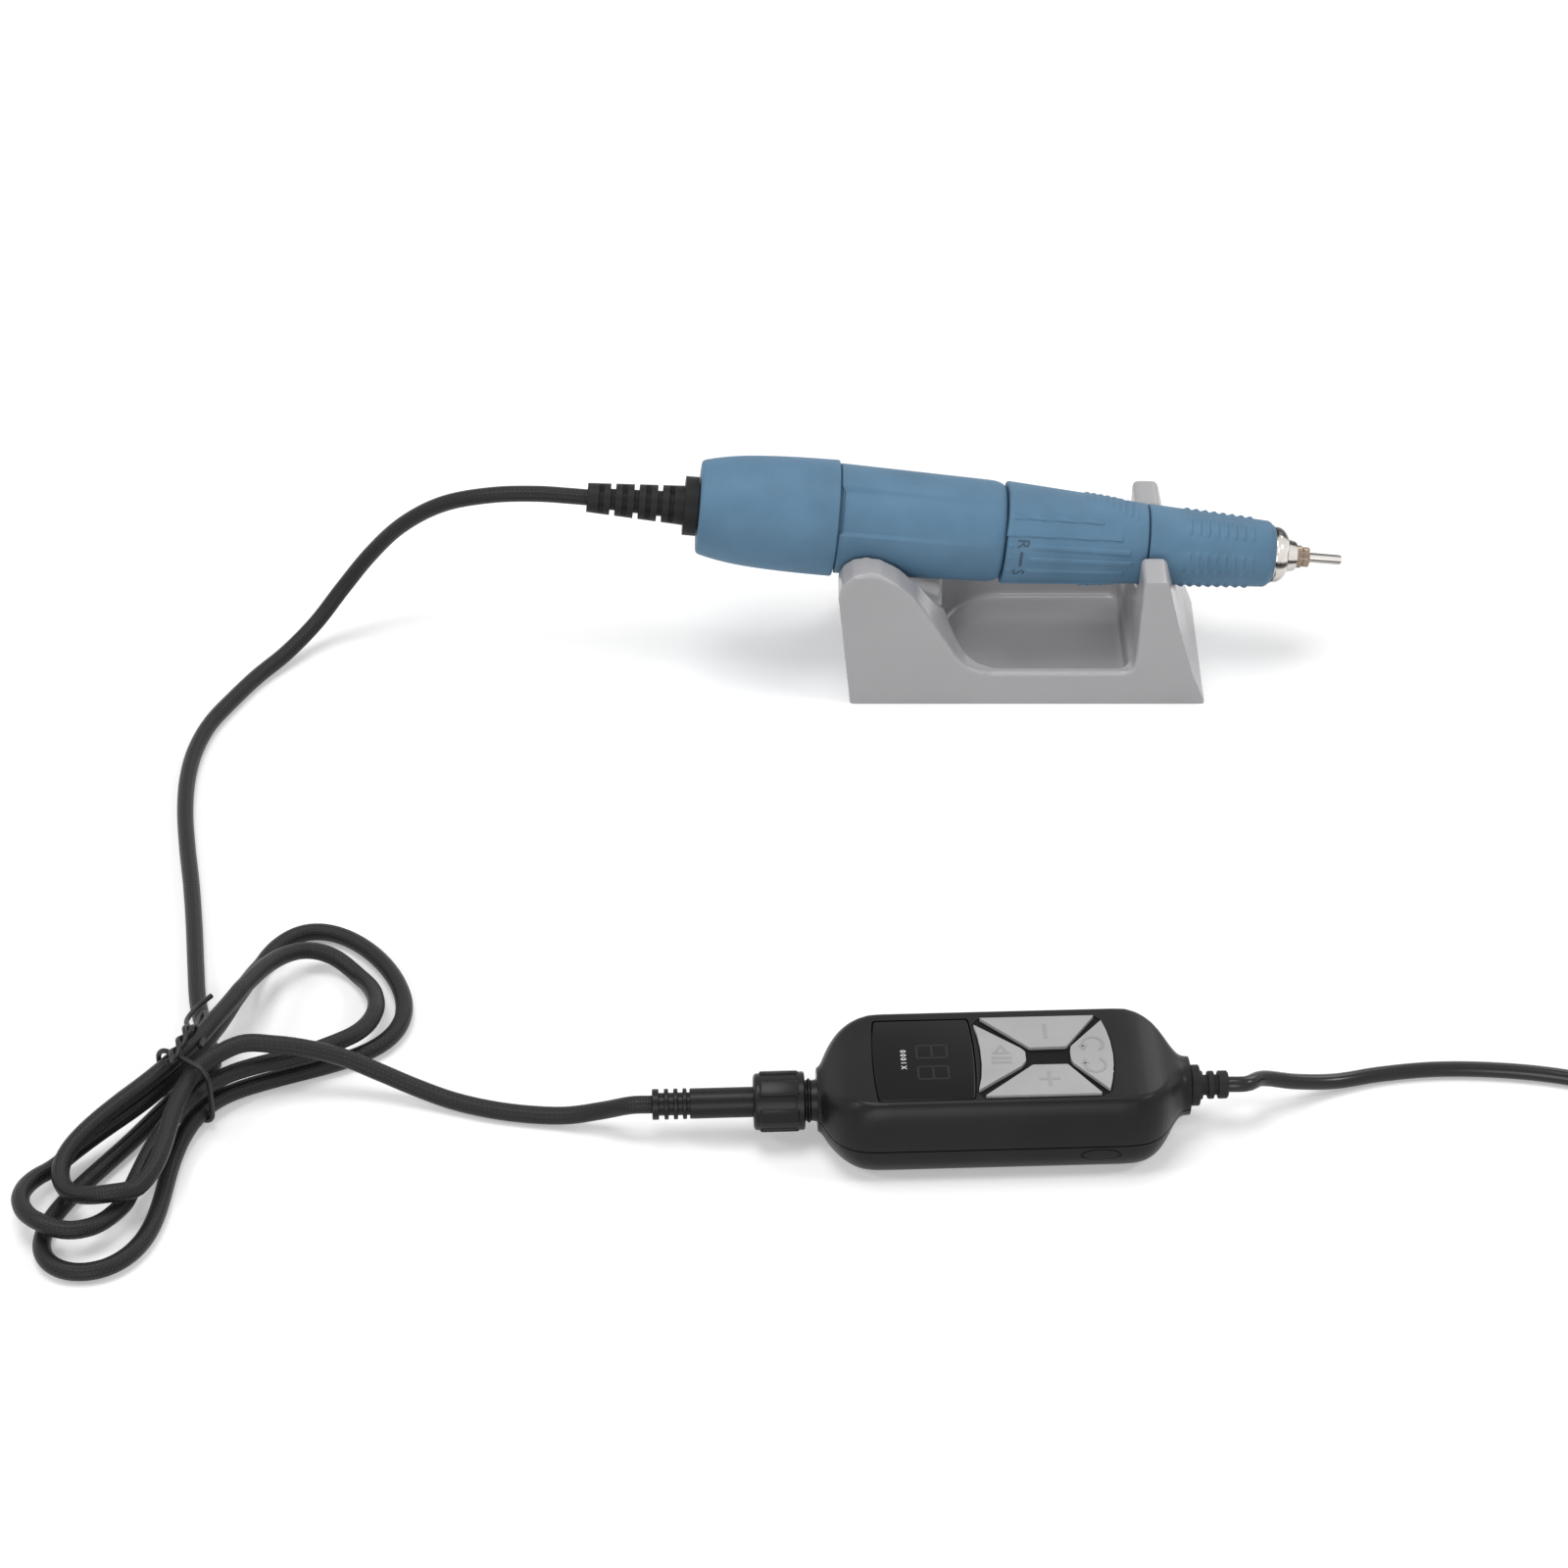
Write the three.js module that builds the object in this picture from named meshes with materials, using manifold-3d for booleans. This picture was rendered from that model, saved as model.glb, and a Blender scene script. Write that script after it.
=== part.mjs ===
// Electric nail drill: a handpiece lying in its cradle, a braided cord tied in a hank, and an
// in-line speed controller with its supply lead wound up and ending in a barrel plug.
// Millimetres, +Z up, origin on the floor under the middle of the object without its cords.
import * as THREE from 'three';
import { mergeVertices } from 'three/addons/utils/BufferGeometryUtils.js';
import Module from 'manifold-3d';

const wasm = await Module();
wasm.setup();

// Clearances and counts shared by the whole object
const fitGap = 0.3;
const seamGap = 0.35;
const cutOver = 2;
const shellSides = 28;
const innerSides = 16;
const smallSides = 12;
const arcSteps = 6;

// Handpiece: lengths run along its axis from the rear face towards the nose
const handpieceRearX = -77.6;
const handpieceRearHeight = 42.9;
const handpiecePitchDegrees = 5.75;
const capLength = 33.3;
const housingLength = 40.4;
const ringLength = 34.5;
const gripLength = 31.4;
const capRearRadius = 11.5;
const capWaistRadius = 13.2;
const capWaistAt = 11;
const capFrontRadius = 14;
const capEdgeRound = 1;
const housingRearRadius = 13.25;
const ringRearRadius = 12.15;
const gripRearRadius = 9.7;
const gripFrontRadius = 7.75;
const shellEdgeRound = 1.4;
const capRearWall = 2.4;
const capThreadRadius = 12.5;
const capThreadLength = 6.3;
const bellBoreRadius = 10.2;
const bellBoreLength = 15.6;
const panelCount = 3;
const panelDegrees = 62;
const panelLiftDegrees = 44;
const panelDepth = 0.65;
const barGroups = 3;
const barsInGroup = 3;
const barPitchDegrees = 13;
const barStartDegrees = 2;
const barLength = 23;
const barWidth = 1.1;
const barHeight = 0.45;
const barStart = 6.5;
const gripRibCount = 9;
const gripRibPitch = 2.3;
const gripRibDepth = 0.35;
const gripRibStart = 7.5;

// Motor inside the housing
const canRadius = 10.6;
const canWall = 1;
const canStart = 20;
const canLength = 46;
const canFrontWall = 6.5;
const canEnd = canStart + canLength;
const magnetWall = 1.9;
const magnetSetback = 1.5;
const magnetOverhang = 2;
const shaftRadius = 1.5;
const shaftStart = 12.6;
const coreRadius = 7;
const coreSetback = 4;
const coreSlots = 5;
const slotWidth = 2.6;
const slotFloorRadius = 3.2;
const windingRadius = 6.1;
const windingEnd = 2.4;
const commutatorRadius = 3.6;
const commutatorSetback = 2;
const commutatorLength = 6;
const commutatorStart = canStart + commutatorSetback;
const bellStart = 12;
const bellLength = canStart - fitGap - bellStart;
const holderWidth = 4.8;
const holderEnd = commutatorStart + commutatorLength + 2 * fitGap;
const coreStart = commutatorStart + commutatorLength + coreSetback;
const magnetStart = coreStart - magnetOverhang;
const magnetLength = canEnd - canFrontWall - magnetSetback - magnetStart;
const coreLength = magnetLength - 2 * magnetOverhang;
const holderRadius = 9.1;
const brushWidth = 2.2;
const brushLength = 3;
const brushReach = 3.2;
const brushSpringRadius = 0.9;
const bearingRadius = 5;
const bearingWidth = 4;
const bearingRim = 0.9;
const bearingRimInner = 0.8;
const bearingShield = 0.4;

// Chuck: spindle, collet and the sleeve that the twist ring drives
const couplingRadius = 3.6;
const couplingLength = 3.4;
const couplingStart = canEnd + seamGap * 3;
const couplingFloor = 1;
const tongueStart = couplingStart + couplingLength;
const tongueWidth = 1.4;
const tongueLength = 3;
const tongueHeight = 5.4;
const shaftEnd = tongueStart - couplingFloor - fitGap;
const spindleStart = tongueStart + fitGap;
const bearingShoulder = 0.85;
const spindleRadius = 2.75;
const spindleFlangeRadius = 4.2;
const spindleFlangeLength = 4.4;
const spindleBoreRadius = 2.25;
const spindleProud = 1.3;
const colletRadius = 1.95;
const colletBoreRadius = 1.42;
const colletTipRadius = 2.4;
const colletTipLength = 1.6;
const colletLength = 46;
const colletSlit = 0.5;
const colletSlitLength = 12;
const barrelRadius = 7.2;
const barrelFrontRadius = 6.1;
const barrelBoreRadius = 5.3;
const barrelFlangeRadius = 10.6;
const barrelFlangeLength = 2.4;
const barrelFlangeAt = canEnd + 2 * fitGap;
const rearSpindleBearingAt = spindleStart + spindleFlangeLength + bearingShoulder;
const ringBoreRadius = 8.6;
const ringLandLength = 2.6;
const camLength = 6;
const camBoreRadius = 3.35;
const camTravel = 1.2;
const lugWidth = 2.4;
const springSetback = 4;
const springStart = rearSpindleBearingAt + bearingWidth + springSetback;
const springCurls = 6;
const springWire = 0.8;
const springPitch = 2.2;
const camStart = springStart + springCurls * springPitch + camTravel + 2 * fitGap;
const noseRadius = 6.8;
const noseShoulderRadius = 5.6;
const noseTipRadius = 3.9;
const noseLength = 5.4;
const noseBoreRadius = 3.2;
const noseStubLength = 6;
const pinRadius = 1.175;
const pinProud = 8;
const pinLength = 34;
const pinChamfer = 0.35;

// Cable boot behind the handpiece
const bootLength = 26.8;
const bootFlangeRadius = 7.1;
const bootFlangeLength = 3.4;
const bootRootRadius = 4.7;
const bootTipRadius = 3.55;
const bootGrooves = 7;
const bootGrooveDepth = 1.1;
const bootStubRadius = 4;
const bootLockRadius = 5.6;
const bootLockLength = 1.5;

// Cradle
const cradleY = 84.25;
const cradleDepth = 43.4;
const cradleRound = 2.4;
const cradleEdge = 1.2;
const cradleLeft = -41;
const cradleRight = 44.9;
const saddleLean = 3.2;
const saddleHeight = 38;
const saddleTopX = -38;
const lowWallHeight = 9.3;
const lowWallStartX = -10.5;
const prongLeftX = 27.6;
const prongHeight = 35.6;
const prongTopWidth = 5.6;
const trayFloor = 3;
const trayWall = 2.6;
const trayLeftX = -18.5;
const trayRightX = 26;
const trayLeftRound = 15;
const trayRightRound = 2.5;
const rampDegrees = 22;
const rampX = -39;
const prongFlareDegrees = 17;
const undersideWall = 2.4;
const undersideHeight = 15;
const undersideLength = 12.5;

// Controller
const controllerX = -10.5;
const controllerY = -87.75;
const controllerYawDegrees = 2.2;
const bodyLength = 79.2;
const bodyWidth = 33.5;
const bodyHeight = 20;
const bodyRound = 4;
const shoulderLength = 10.5;
const bossWidth = 13;
const bossLow = 2.8;
const bossHigh = 15.4;
const neckWidth = 12.4;
const neckLow = 4.3;
const neckHigh = 16.6;
const partingHeight = 8.1;
const sideWall = 1.9;
const bottomWall = 1.8;
const topWall = 2.4;
const endWall = 8.6;
const cavityLength = bodyLength - 2 * endWall;
const cavityRound = 8;
const windowPlaceShare = -0.216;
const windowLengthShare = 0.26;
const windowWidthShare = 0.746;
const windowX = bodyLength * windowPlaceShare;
const windowLength = bodyLength * windowLengthShare;
const windowWidth = bodyWidth * windowWidthShare;
const windowThickness = 1.2;
const windowRound = 1.5;
const windowBow = 0.6;
const windowLedge = 2.6;
const apertureLength = windowLength - 2 * windowLedge;
const apertureWidth = windowWidth - 2 * windowLedge;
const displayLength = apertureLength - 2 * fitGap;
const displayWidth = apertureWidth - 2 * fitGap;
const boardThickness = 1.6;
const boardLengthShare = 0.58;
const boardWidthShare = 0.76;
const boardLength = bodyLength * boardLengthShare;
const boardWidth = bodyWidth * boardWidthShare;
const keyPlaceShare = 0.105;
const keyLengthShare = 0.369;
const keyWidthShare = 0.734;
const keyClusterX = bodyLength * keyPlaceShare;
const keyClusterLength = bodyLength * keyLengthShare;
const keyClusterWidth = bodyWidth * keyWidthShare;
const keyBarLength = 9.6;
const keyBarWidth = 4.4;
const keyGap = 1.8;
const keyProud = 0.6;
const keyTravel = 0.5;
const keyFlange = 0.45;
const keyFlangeThickness = 0.7;
const membraneThickness = 0.8;
const domeRadius = 2;
const postRadius = 1.6;
const postX = boardLength * 0.42;
const postY = boardWidth / 3;
const bossRadius = 3;
const screwX = cavityLength / 2 - bossRadius + cutOver / 5;
const screwY = bodyWidth / 2 - sideWall - bossRadius - cutOver;
const screwShank = 1.2;
const screwHead = 2.2;
const screwHeadHeight = 1.2;
const screwRecess = 0.5;
const screwLength = 11;

// Threaded socket, plug connector and supply relief, on the controller's axis line
const socketHeight = 9;
const socketRadius = 4.75;
const socketBoreRadius = 3.7;
const socketProud = 10.4;
const socketThreads = 5;
const socketThreadDepth = 0.45;
const socketLockRadius = 5.9;
const socketLockLength = 1.2;
const insertRadius = 3.35;
const insertLength = 4.5;
const contactRadius = 0.4;
const contactCircle = 1.3;
const contactCount = 3;
const contactProud = 6.6;
const insertReach = 3.1;
const nutRadius = 6.15;
const nutLength = 10.9;
const nutAt = 2.7;
const nutRearWall = 1.5;
const nutBoreRadius = 5.2;
const nutPads = 6;
const nutPadDepth = 0.35;
const nutPadWidth = 2.6;
const sleeveRadius = 3.25;
const sleeveLength = 13.5;
const sleeveFlangeRadius = 4.6;
const sleeveFlangeLength = 1;
const sleeveNoseRadius = 3.3;
const sleeveNoseLength = 4.2;
const sleeveNoseBore = 2.6;
const reliefLength = 8;
const reliefRibs = 4;
const reliefRibRadius = 3.3;
const reliefCoreRadius = 2.5;
const supplyHeight = 10.5;
const supplyFlangeRadius = 4.4;
const supplyFlangeLength = 1.9;
const supplyRibRadius = 3;
const supplyCoreRadius = 2.2;
const supplyLength = 8.4;
const supplyStubRadius = 3.2;

// Cords
const handCord = 3.9;
const supplyLead = 3.45;
const handCordSides = 8;
const waistX = -184.3;
const waistY = -82.0;
const waistGap = 1.1;
const layerGap = 1.1;
const waistLift = 1.6;
const waistLiftReach = 12;
const spineBend = 17.4;
const leftHeadingDegrees = 255.3;
const rightHeadingDegrees = 33.6;
const rearSteps = 32;
const frontSteps = 22;
const tailSteps = 12;
const loopSteps = 24;
const loopSides = 6;
const fineSteps = 48;
const slopeLimit = 0.32;
const tieWire = 1.2;
const tieTail = 15;
const coilX = 153;
const coilY = -58;
const coilMiddleRadius = 19;
const coilTurnsInLayer = 2.25;
const coilLayers = 4;
const coilGap = 0.6;
const coilStartDegrees = 262;
const plugGripRadius = 4.6;
const plugGripLength = 19;
const plugTaperLength = 9;
const plugBarrelRadius = 2.75;
const plugBarrelBore = 1.35;
const plugBarrelLength = 9.5;

// Each lobe of the hank: how far it reaches, how wide it bulges, and how far it and its end are skewed
const hankLobes = [
  { reach: 55.2, bulge: 27.5, skew: -1.1, tip: 0.2 },
  { reach: 57.7, bulge: 52.3, skew: 21.9, tip: -8.7 },
  { reach: 52.9, bulge: 23.7, skew: 17.8, tip: -12.4 },
  { reach: 51.1, bulge: 39.8, skew: 2.1, tip: 13.5 },
  { reach: 40.5, bulge: 21, skew: -7, tip: 15 },
];

// Free stretches, chosen by hand: x, y, z of the cord's centre
const rearRoute = [
  [-116, 84.25, 46.6],
  [-127, 84.8, 45.9],
  [-139, 86.8, 42],
  [-149.5, 89.6, 34],
  [-158, 91.4, 24],
  [-165.4, 90.4, 14.4],
  [-172, 86, 7.2],
  [-178.8, 78.8, 3.4],
  [-185.2, 70.6, 2.3],
  [-190.2, 61.5, 2.2],
  [-194.8, 51.5, 2.2],
  [-197.2, 41, 2.2],
  [-197.8, 30, 2.2],
  [-197, 18, 2.2],
  [-195, 4.5, 2.2],
  [-192.6, -9, 2.2],
  [-190.3, -24, 2.2],
  [-188.4, -38, 2.2],
  [-186.6, -50, 2.2],
  [-183.6, -61.5, 2.4],
];
const frontRoute = [
  [-173.4, -77.6, 14.6],
  [-166.5, -76.9, 13.9],
  [-159.5, -76.6, 12.4],
  [-152, -76.6, 9.9],
  [-144, -77.8, 6.6],
  [-136, -79.8, 3.9],
  [-128.5, -82.2, 2.5],
  [-120.2, -84.7, 2.2],
  [-111.7, -86.3, 2.2],
  [-103.6, -87.4, 2.9],
  [-96, -88.6, 5.4],
];
const supplyRoute = [
  [45, -82.4, 9],
  [53, -79.4, 5.4],
  [62, -76.2, 2.6],
  [72, -73.2, 1.9],
  [84, -71.6, 1.9],
  [97, -71.8, 1.9],
  [110, -73.6, 1.9],
  [122, -77, 1.9],
  [134, -80.4, 1.9],
];
const tailRoute = [
  [163, -85, 12.8],
  [170.5, -91.5, 8.6],
  [171.5, -100.5, 4.6],
  [166, -108, 3.4],
];
const plugX = 157;
const plugY = -110.5;

// Small tools
const radians = THREE.MathUtils.degToRad;

function signedVolume(geometry) {
  const position = geometry.attributes.position;
  const order = geometry.index ? geometry.index.array : position.array.map((value, i) => i);
  const corners = [new THREE.Vector3(), new THREE.Vector3(), new THREE.Vector3()];
  const count = geometry.index ? geometry.index.count : position.count;
  let sum = 0;
  for (let i = 0; i < count; i += 3) {
    corners.forEach((corner, k) => corner.fromBufferAttribute(position, order[i + k]));
    sum += corners[0].dot(corners[1].cross(corners[2])) / 6;
  }
  return sum;
}

// Welds a closed geometry, drops slivers without area and turns its faces outwards
function welded(geometry) {
  const plain = geometry.clone();
  for (const name of Object.keys(plain.attributes)) {
    if (name !== 'position') {
      plain.deleteAttribute(name);
    }
  }
  plain.clearGroups();
  const merged = mergeVertices(plain);
  const source = merged.index.array;
  const kept = [];
  for (let i = 0; i < source.length; i += 3) {
    const [a, b, c] = [source[i], source[i + 1], source[i + 2]];
    if (a !== b && b !== c && c !== a) {
      kept.push(a, b, c);
    }
  }
  merged.setIndex(kept);
  if (signedVolume(merged) < 0) {
    for (let i = 0; i < kept.length; i += 3) {
      [kept[i + 1], kept[i + 2]] = [kept[i + 2], kept[i + 1]];
    }
    merged.setIndex(kept);
  }
  return merged;
}

function solidOf(geometry) {
  const merged = welded(geometry);
  return new wasm.Manifold(new wasm.Mesh({
    numProp: 3,
    vertProperties: Float32Array.from(merged.attributes.position.array),
    triVerts: Uint32Array.from(merged.index.array),
  }));
}

function geometryOf(solid) {
  const mesh = solid.getMesh();
  const geometry = new THREE.BufferGeometry();
  geometry.setAttribute('position', new THREE.BufferAttribute(Float32Array.from(mesh.vertProperties), 3));
  geometry.setIndex(Array.from(mesh.triVerts));
  return geometry;
}

function combined(how, base, tools) {
  let solid = solidOf(base);
  for (const tool of tools) {
    solid = solid[how](solidOf(tool));
  }
  return geometryOf(solid);
}

const cut = (base, ...tools) => combined('subtract', base, tools);
const join = (base, ...tools) => combined('add', base, tools);
const shared = (base, ...tools) => combined('intersect', base, tools);

// Turned piece along +X from pairs of distance and radius
function turned(profile, sides) {
  const points = profile.map(([along, radius]) => new THREE.Vector2(radius, along));
  return welded(new THREE.LatheGeometry(points, sides).rotateZ(-Math.PI / 2));
}

function rod(start, length, radius, sides) {
  return turned([[start, 0], [start, radius], [start + length, radius], [start + length, 0]], sides);
}

function sleeve(start, length, outer, inner, sides) {
  const end = start + length;
  return turned([[start, inner], [start, outer], [end, outer], [end, inner], [start, inner]], sides);
}

function block(low, high) {
  const size = high.map((value, i) => value - low[i]);
  const middle = high.map((value, i) => (value + low[i]) / 2);
  return new THREE.BoxGeometry(...size).translate(...middle);
}

// Prism standing on z = low from an outline in X and Y
function prism(shape, low, high, curveSegments = arcSteps) {
  const options = { depth: high - low, bevelEnabled: false, curveSegments };
  return new THREE.ExtrudeGeometry(shape, options).translate(0, 0, low);
}

function roundedRectangle(length, width, radius) {
  const [x, y] = [length / 2, width / 2];
  const shape = new THREE.Shape();
  shape.moveTo(-x + radius, -y);
  shape.lineTo(x - radius, -y);
  shape.absarc(x - radius, -y + radius, radius, -Math.PI / 2, 0);
  shape.lineTo(x, y - radius);
  shape.absarc(x - radius, y - radius, radius, 0, Math.PI / 2);
  shape.lineTo(-x + radius, y);
  shape.absarc(-x + radius, y - radius, radius, Math.PI / 2, Math.PI);
  shape.lineTo(-x, -y + radius);
  shape.absarc(-x + radius, -y + radius, radius, Math.PI, Math.PI * 1.5);
  return shape;
}

function polygon(points) {
  return new THREE.Shape(points.map(([x, y]) => new THREE.Vector2(x, y)));
}

function upright(radius, low, high, x, y, sides = smallSides) {
  const height = high - low;
  const middle = (high + low) / 2;
  return new THREE.CylinderGeometry(radius, radius, height, sides).rotateX(Math.PI / 2).translate(x, y, middle);
}

// Regular section for cords and wires
function section(diameter, sides) {
  const turn = (i) => (2 * Math.PI * i) / sides;
  const corners = Array.from({ length: sides }, (unused, i) => [
    (diameter / 2) * Math.cos(turn(i)),
    (diameter / 2) * Math.sin(turn(i)),
  ]);
  return polygon(corners);
}

function tube(points, diameter, steps, sides) {
  const extrudePath = new THREE.CatmullRomCurve3(points, false, 'centripetal');
  return welded(new THREE.ExtrudeGeometry(section(diameter, sides), { steps, extrudePath, bevelEnabled: false }));
}

// Points at small steps along the straight pieces that a tube is made of
function finePoints(points, steps, parts) {
  const corners = new THREE.CatmullRomCurve3(points, false, 'centripetal').getSpacedPoints(steps);
  return corners.slice(1).flatMap((corner, i) => (
    Array.from({ length: parts }, (unused, k) => corners[i].clone().lerp(corner, k / parts))));
}

function pathLength(points) {
  return points.slice(1).reduce((sum, point, i) => sum + point.distanceTo(points[i]), 0);
}

// Least gap of a tube to itself, leaving out the neighbouring stretch
function gapToItself(points, diameter) {
  const skip = Math.ceil((diameter * 3 * points.length) / pathLength(points));
  let least = Infinity;
  for (let i = 0; i < points.length; i += 1) {
    for (let j = i + skip; j < points.length; j += 1) {
      least = Math.min(least, points[i].distanceTo(points[j]));
    }
  }
  return least - diameter;
}

// Least gap between two tubes, leaving out the stretch round the place where they meet
function gapBetween(first, second, diameter, meeting) {
  let least = Infinity;
  for (const a of first) {
    for (const b of second) {
      if (a.distanceTo(meeting) > diameter * 3 || b.distanceTo(meeting) > diameter * 3) {
        const near = a.distanceTo(meeting) + b.distanceTo(meeting) < diameter * 5;
        least = near ? least : Math.min(least, a.distanceTo(b));
      }
    }
  }
  return least - diameter;
}

const group = new THREE.Group();
const handpiece = new THREE.Group();
handpiece.position.set(handpieceRearX, cradleY, handpieceRearHeight);
handpiece.rotation.y = radians(handpiecePitchDegrees);
handpiece.updateMatrix();
const controller = new THREE.Group();
controller.position.set(controllerX, controllerY, 0);
controller.rotation.z = radians(controllerYawDegrees);
controller.updateMatrix();
group.add(handpiece, controller);

const finishes = {
  blueGrip: { color: '#5a7f9b', roughness: 0.62, metalness: 0 },
  blackMoulded: { color: '#1d1d1f', roughness: 0.5, metalness: 0 },
  blackGloss: { color: '#101012', roughness: 0.12, metalness: 0 },
  cradleGrey: { color: '#a3a1a3', roughness: 0.42, metalness: 0 },
  keyGrey: { color: '#a9a9ac', roughness: 0.5, metalness: 0 },
  chrome: { color: '#d6d3d0', roughness: 0.12, metalness: 1 },
  steel: { color: '#a8a8aa', roughness: 0.3, metalness: 1 },
  bronze: { color: '#9c8468', roughness: 0.3, metalness: 1 },
  copper: { color: '#b0673a', roughness: 0.4, metalness: 1 },
  magnet: { color: '#3a3c40', roughness: 0.6, metalness: 0.3 },
  carbon: { color: '#26262a', roughness: 0.7, metalness: 0 },
  board: { color: '#1f5a35', roughness: 0.5, metalness: 0 },
  silicone: { color: '#c9c9c4', roughness: 0.7, metalness: 0 },
  braid: { color: '#18181a', roughness: 0.8, metalness: 0 },
  lead: { color: '#121214', roughness: 0.25, metalness: 0 },
};

function add(parent, name, geometry, finish) {
  const mesh = new THREE.Mesh(geometry, new THREE.MeshStandardMaterial(finishes[finish]));
  mesh.name = name;
  parent.add(mesh);
  return mesh;
}

// Stations along the handpiece
const housingStart = capLength;
const ringStart = housingStart + housingLength;
const gripStart = ringStart + ringLength;
const noseStart = gripStart + gripLength;
const noseEnd = noseStart + noseLength;
const spindleEnd = noseEnd + spindleProud;
const colletTipStart = spindleEnd + fitGap;
const colletEnd = colletTipStart + colletTipLength;
const frontSpindleBearingAt = noseStart - noseStubLength - bearingWidth - 2 * bearingShoulder;

function rearCap() {
  const end = capLength - seamGap;
  const threadAt = end - capThreadLength;
  return turned([
    [0, bootStubRadius + fitGap],
    [0, capRearRadius - capEdgeRound],
    [capEdgeRound * 0.3, capRearRadius - capEdgeRound * 0.3],
    [capEdgeRound, capRearRadius],
    [capWaistAt / 2, (capRearRadius + capWaistRadius) / 2 + capEdgeRound * 0.1],
    [capWaistAt, capWaistRadius],
    [(capWaistAt + end) / 2, (capWaistRadius + capFrontRadius) / 2 + capEdgeRound * 0.1],
    [end - capEdgeRound / 2, capFrontRadius],
    [end, capFrontRadius - capEdgeRound / 2],
    [end, capThreadRadius],
    [threadAt, capThreadRadius],
    [threadAt, canRadius + seamGap],
    [capRearWall + bellBoreLength, canRadius + seamGap],
    [capRearWall + bellBoreLength, bellBoreRadius],
    [capRearWall, bellBoreRadius],
    [capRearWall, bootStubRadius + fitGap],
    [0, bootStubRadius + fitGap],
  ], shellSides);
}

function cableBoot() {
  const grooveShare = 0.42;
  const tipAt = -bootLength;
  const rootAt = -bootFlangeLength - fitGap;
  const pitch = (rootAt - tipAt) / (bootGrooves + 1);
  const radiusAt = (along) => THREE.MathUtils.mapLinear(along, tipAt, rootAt, bootTipRadius, bootRootRadius);
  const profile = [[tipAt, 0], [tipAt, bootTipRadius]];
  for (let i = 0; i < bootGrooves; i += 1) {
    const from = tipAt + pitch * (i + 1 - grooveShare / 2);
    const to = from + pitch * grooveShare;
    profile.push([from, radiusAt(from)], [from, radiusAt(from) - bootGrooveDepth]);
    profile.push([to, radiusAt(to) - bootGrooveDepth], [to, radiusAt(to)]);
  }
  const lockAt = capRearWall + fitGap;
  profile.push([rootAt, bootRootRadius], [rootAt, bootFlangeRadius], [-fitGap, bootFlangeRadius]);
  profile.push([-fitGap, bootStubRadius], [lockAt, bootStubRadius], [lockAt, bootLockRadius]);
  profile.push([lockAt + bootLockLength, bootLockRadius], [lockAt + bootLockLength, 0]);
  return turned(profile, smallSides);
}

// Shallow panels that fade out towards the ring
function housingPanel(turn) {
  const half = radians(panelDegrees) / 2;
  const reach = housingRearRadius * 2;
  const wedge = prism(polygon([
    [0, 0],
    [reach * Math.cos(half), -reach * Math.sin(half)],
    [reach * Math.cos(half), reach * Math.sin(half)],
  ]), housingStart + seamGap * 2, ringStart).rotateY(Math.PI / 2);
  const fade = ringStart - shellEdgeRound * 4;
  const skin = turned([
    [housingStart - cutOver, housingRearRadius - panelDepth],
    [housingStart - cutOver, reach],
    [fade, reach],
    [fade, ringRearRadius + shellEdgeRound * 0.1],
    [housingStart - cutOver, housingRearRadius - panelDepth],
  ], shellSides);
  return shared(skin, wedge.rotateX(turn));
}

function motorHousing() {
  const end = ringStart - seamGap;
  const front = ringRearRadius;
  const bore = canRadius + fitGap;
  const flangeEnd = barrelFlangeAt + barrelFlangeLength + fitGap;
  const shell = turned([
    [housingStart - capThreadLength + fitGap, bore],
    [housingStart - capThreadLength + fitGap, capThreadRadius - fitGap],
    [housingStart, capThreadRadius - fitGap],
    [housingStart, housingRearRadius],
    [end - shellEdgeRound * 3, front + shellEdgeRound * 0.1],
    [end - shellEdgeRound, front - shellEdgeRound * 0.15],
    [end - shellEdgeRound * 0.3, front - shellEdgeRound * 0.5],
    [end, front - shellEdgeRound],
    [end, barrelRadius + fitGap],
    [flangeEnd, barrelRadius + fitGap],
    [flangeEnd, bore],
    [housingStart - capThreadLength + fitGap, bore],
  ], shellSides);
  const turns = Array.from({ length: panelCount }, (unused, i) => (i * 2 * Math.PI) / panelCount);
  return cut(shell, ...turns.map((turn) => housingPanel(turn - Math.PI / 2 + radians(panelLiftDegrees))));
}

function motorCan() {
  const inner = canRadius - canWall;
  const wallAt = canEnd - canFrontWall;
  const seat = bearingRadius + fitGap;
  return turned([
    [canStart, inner],
    [canStart, canRadius],
    [canEnd, canRadius],
    [canEnd, seat],
    [wallAt, seat],
    [wallAt, inner],
    [canStart, inner],
  ], shellSides);
}

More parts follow.
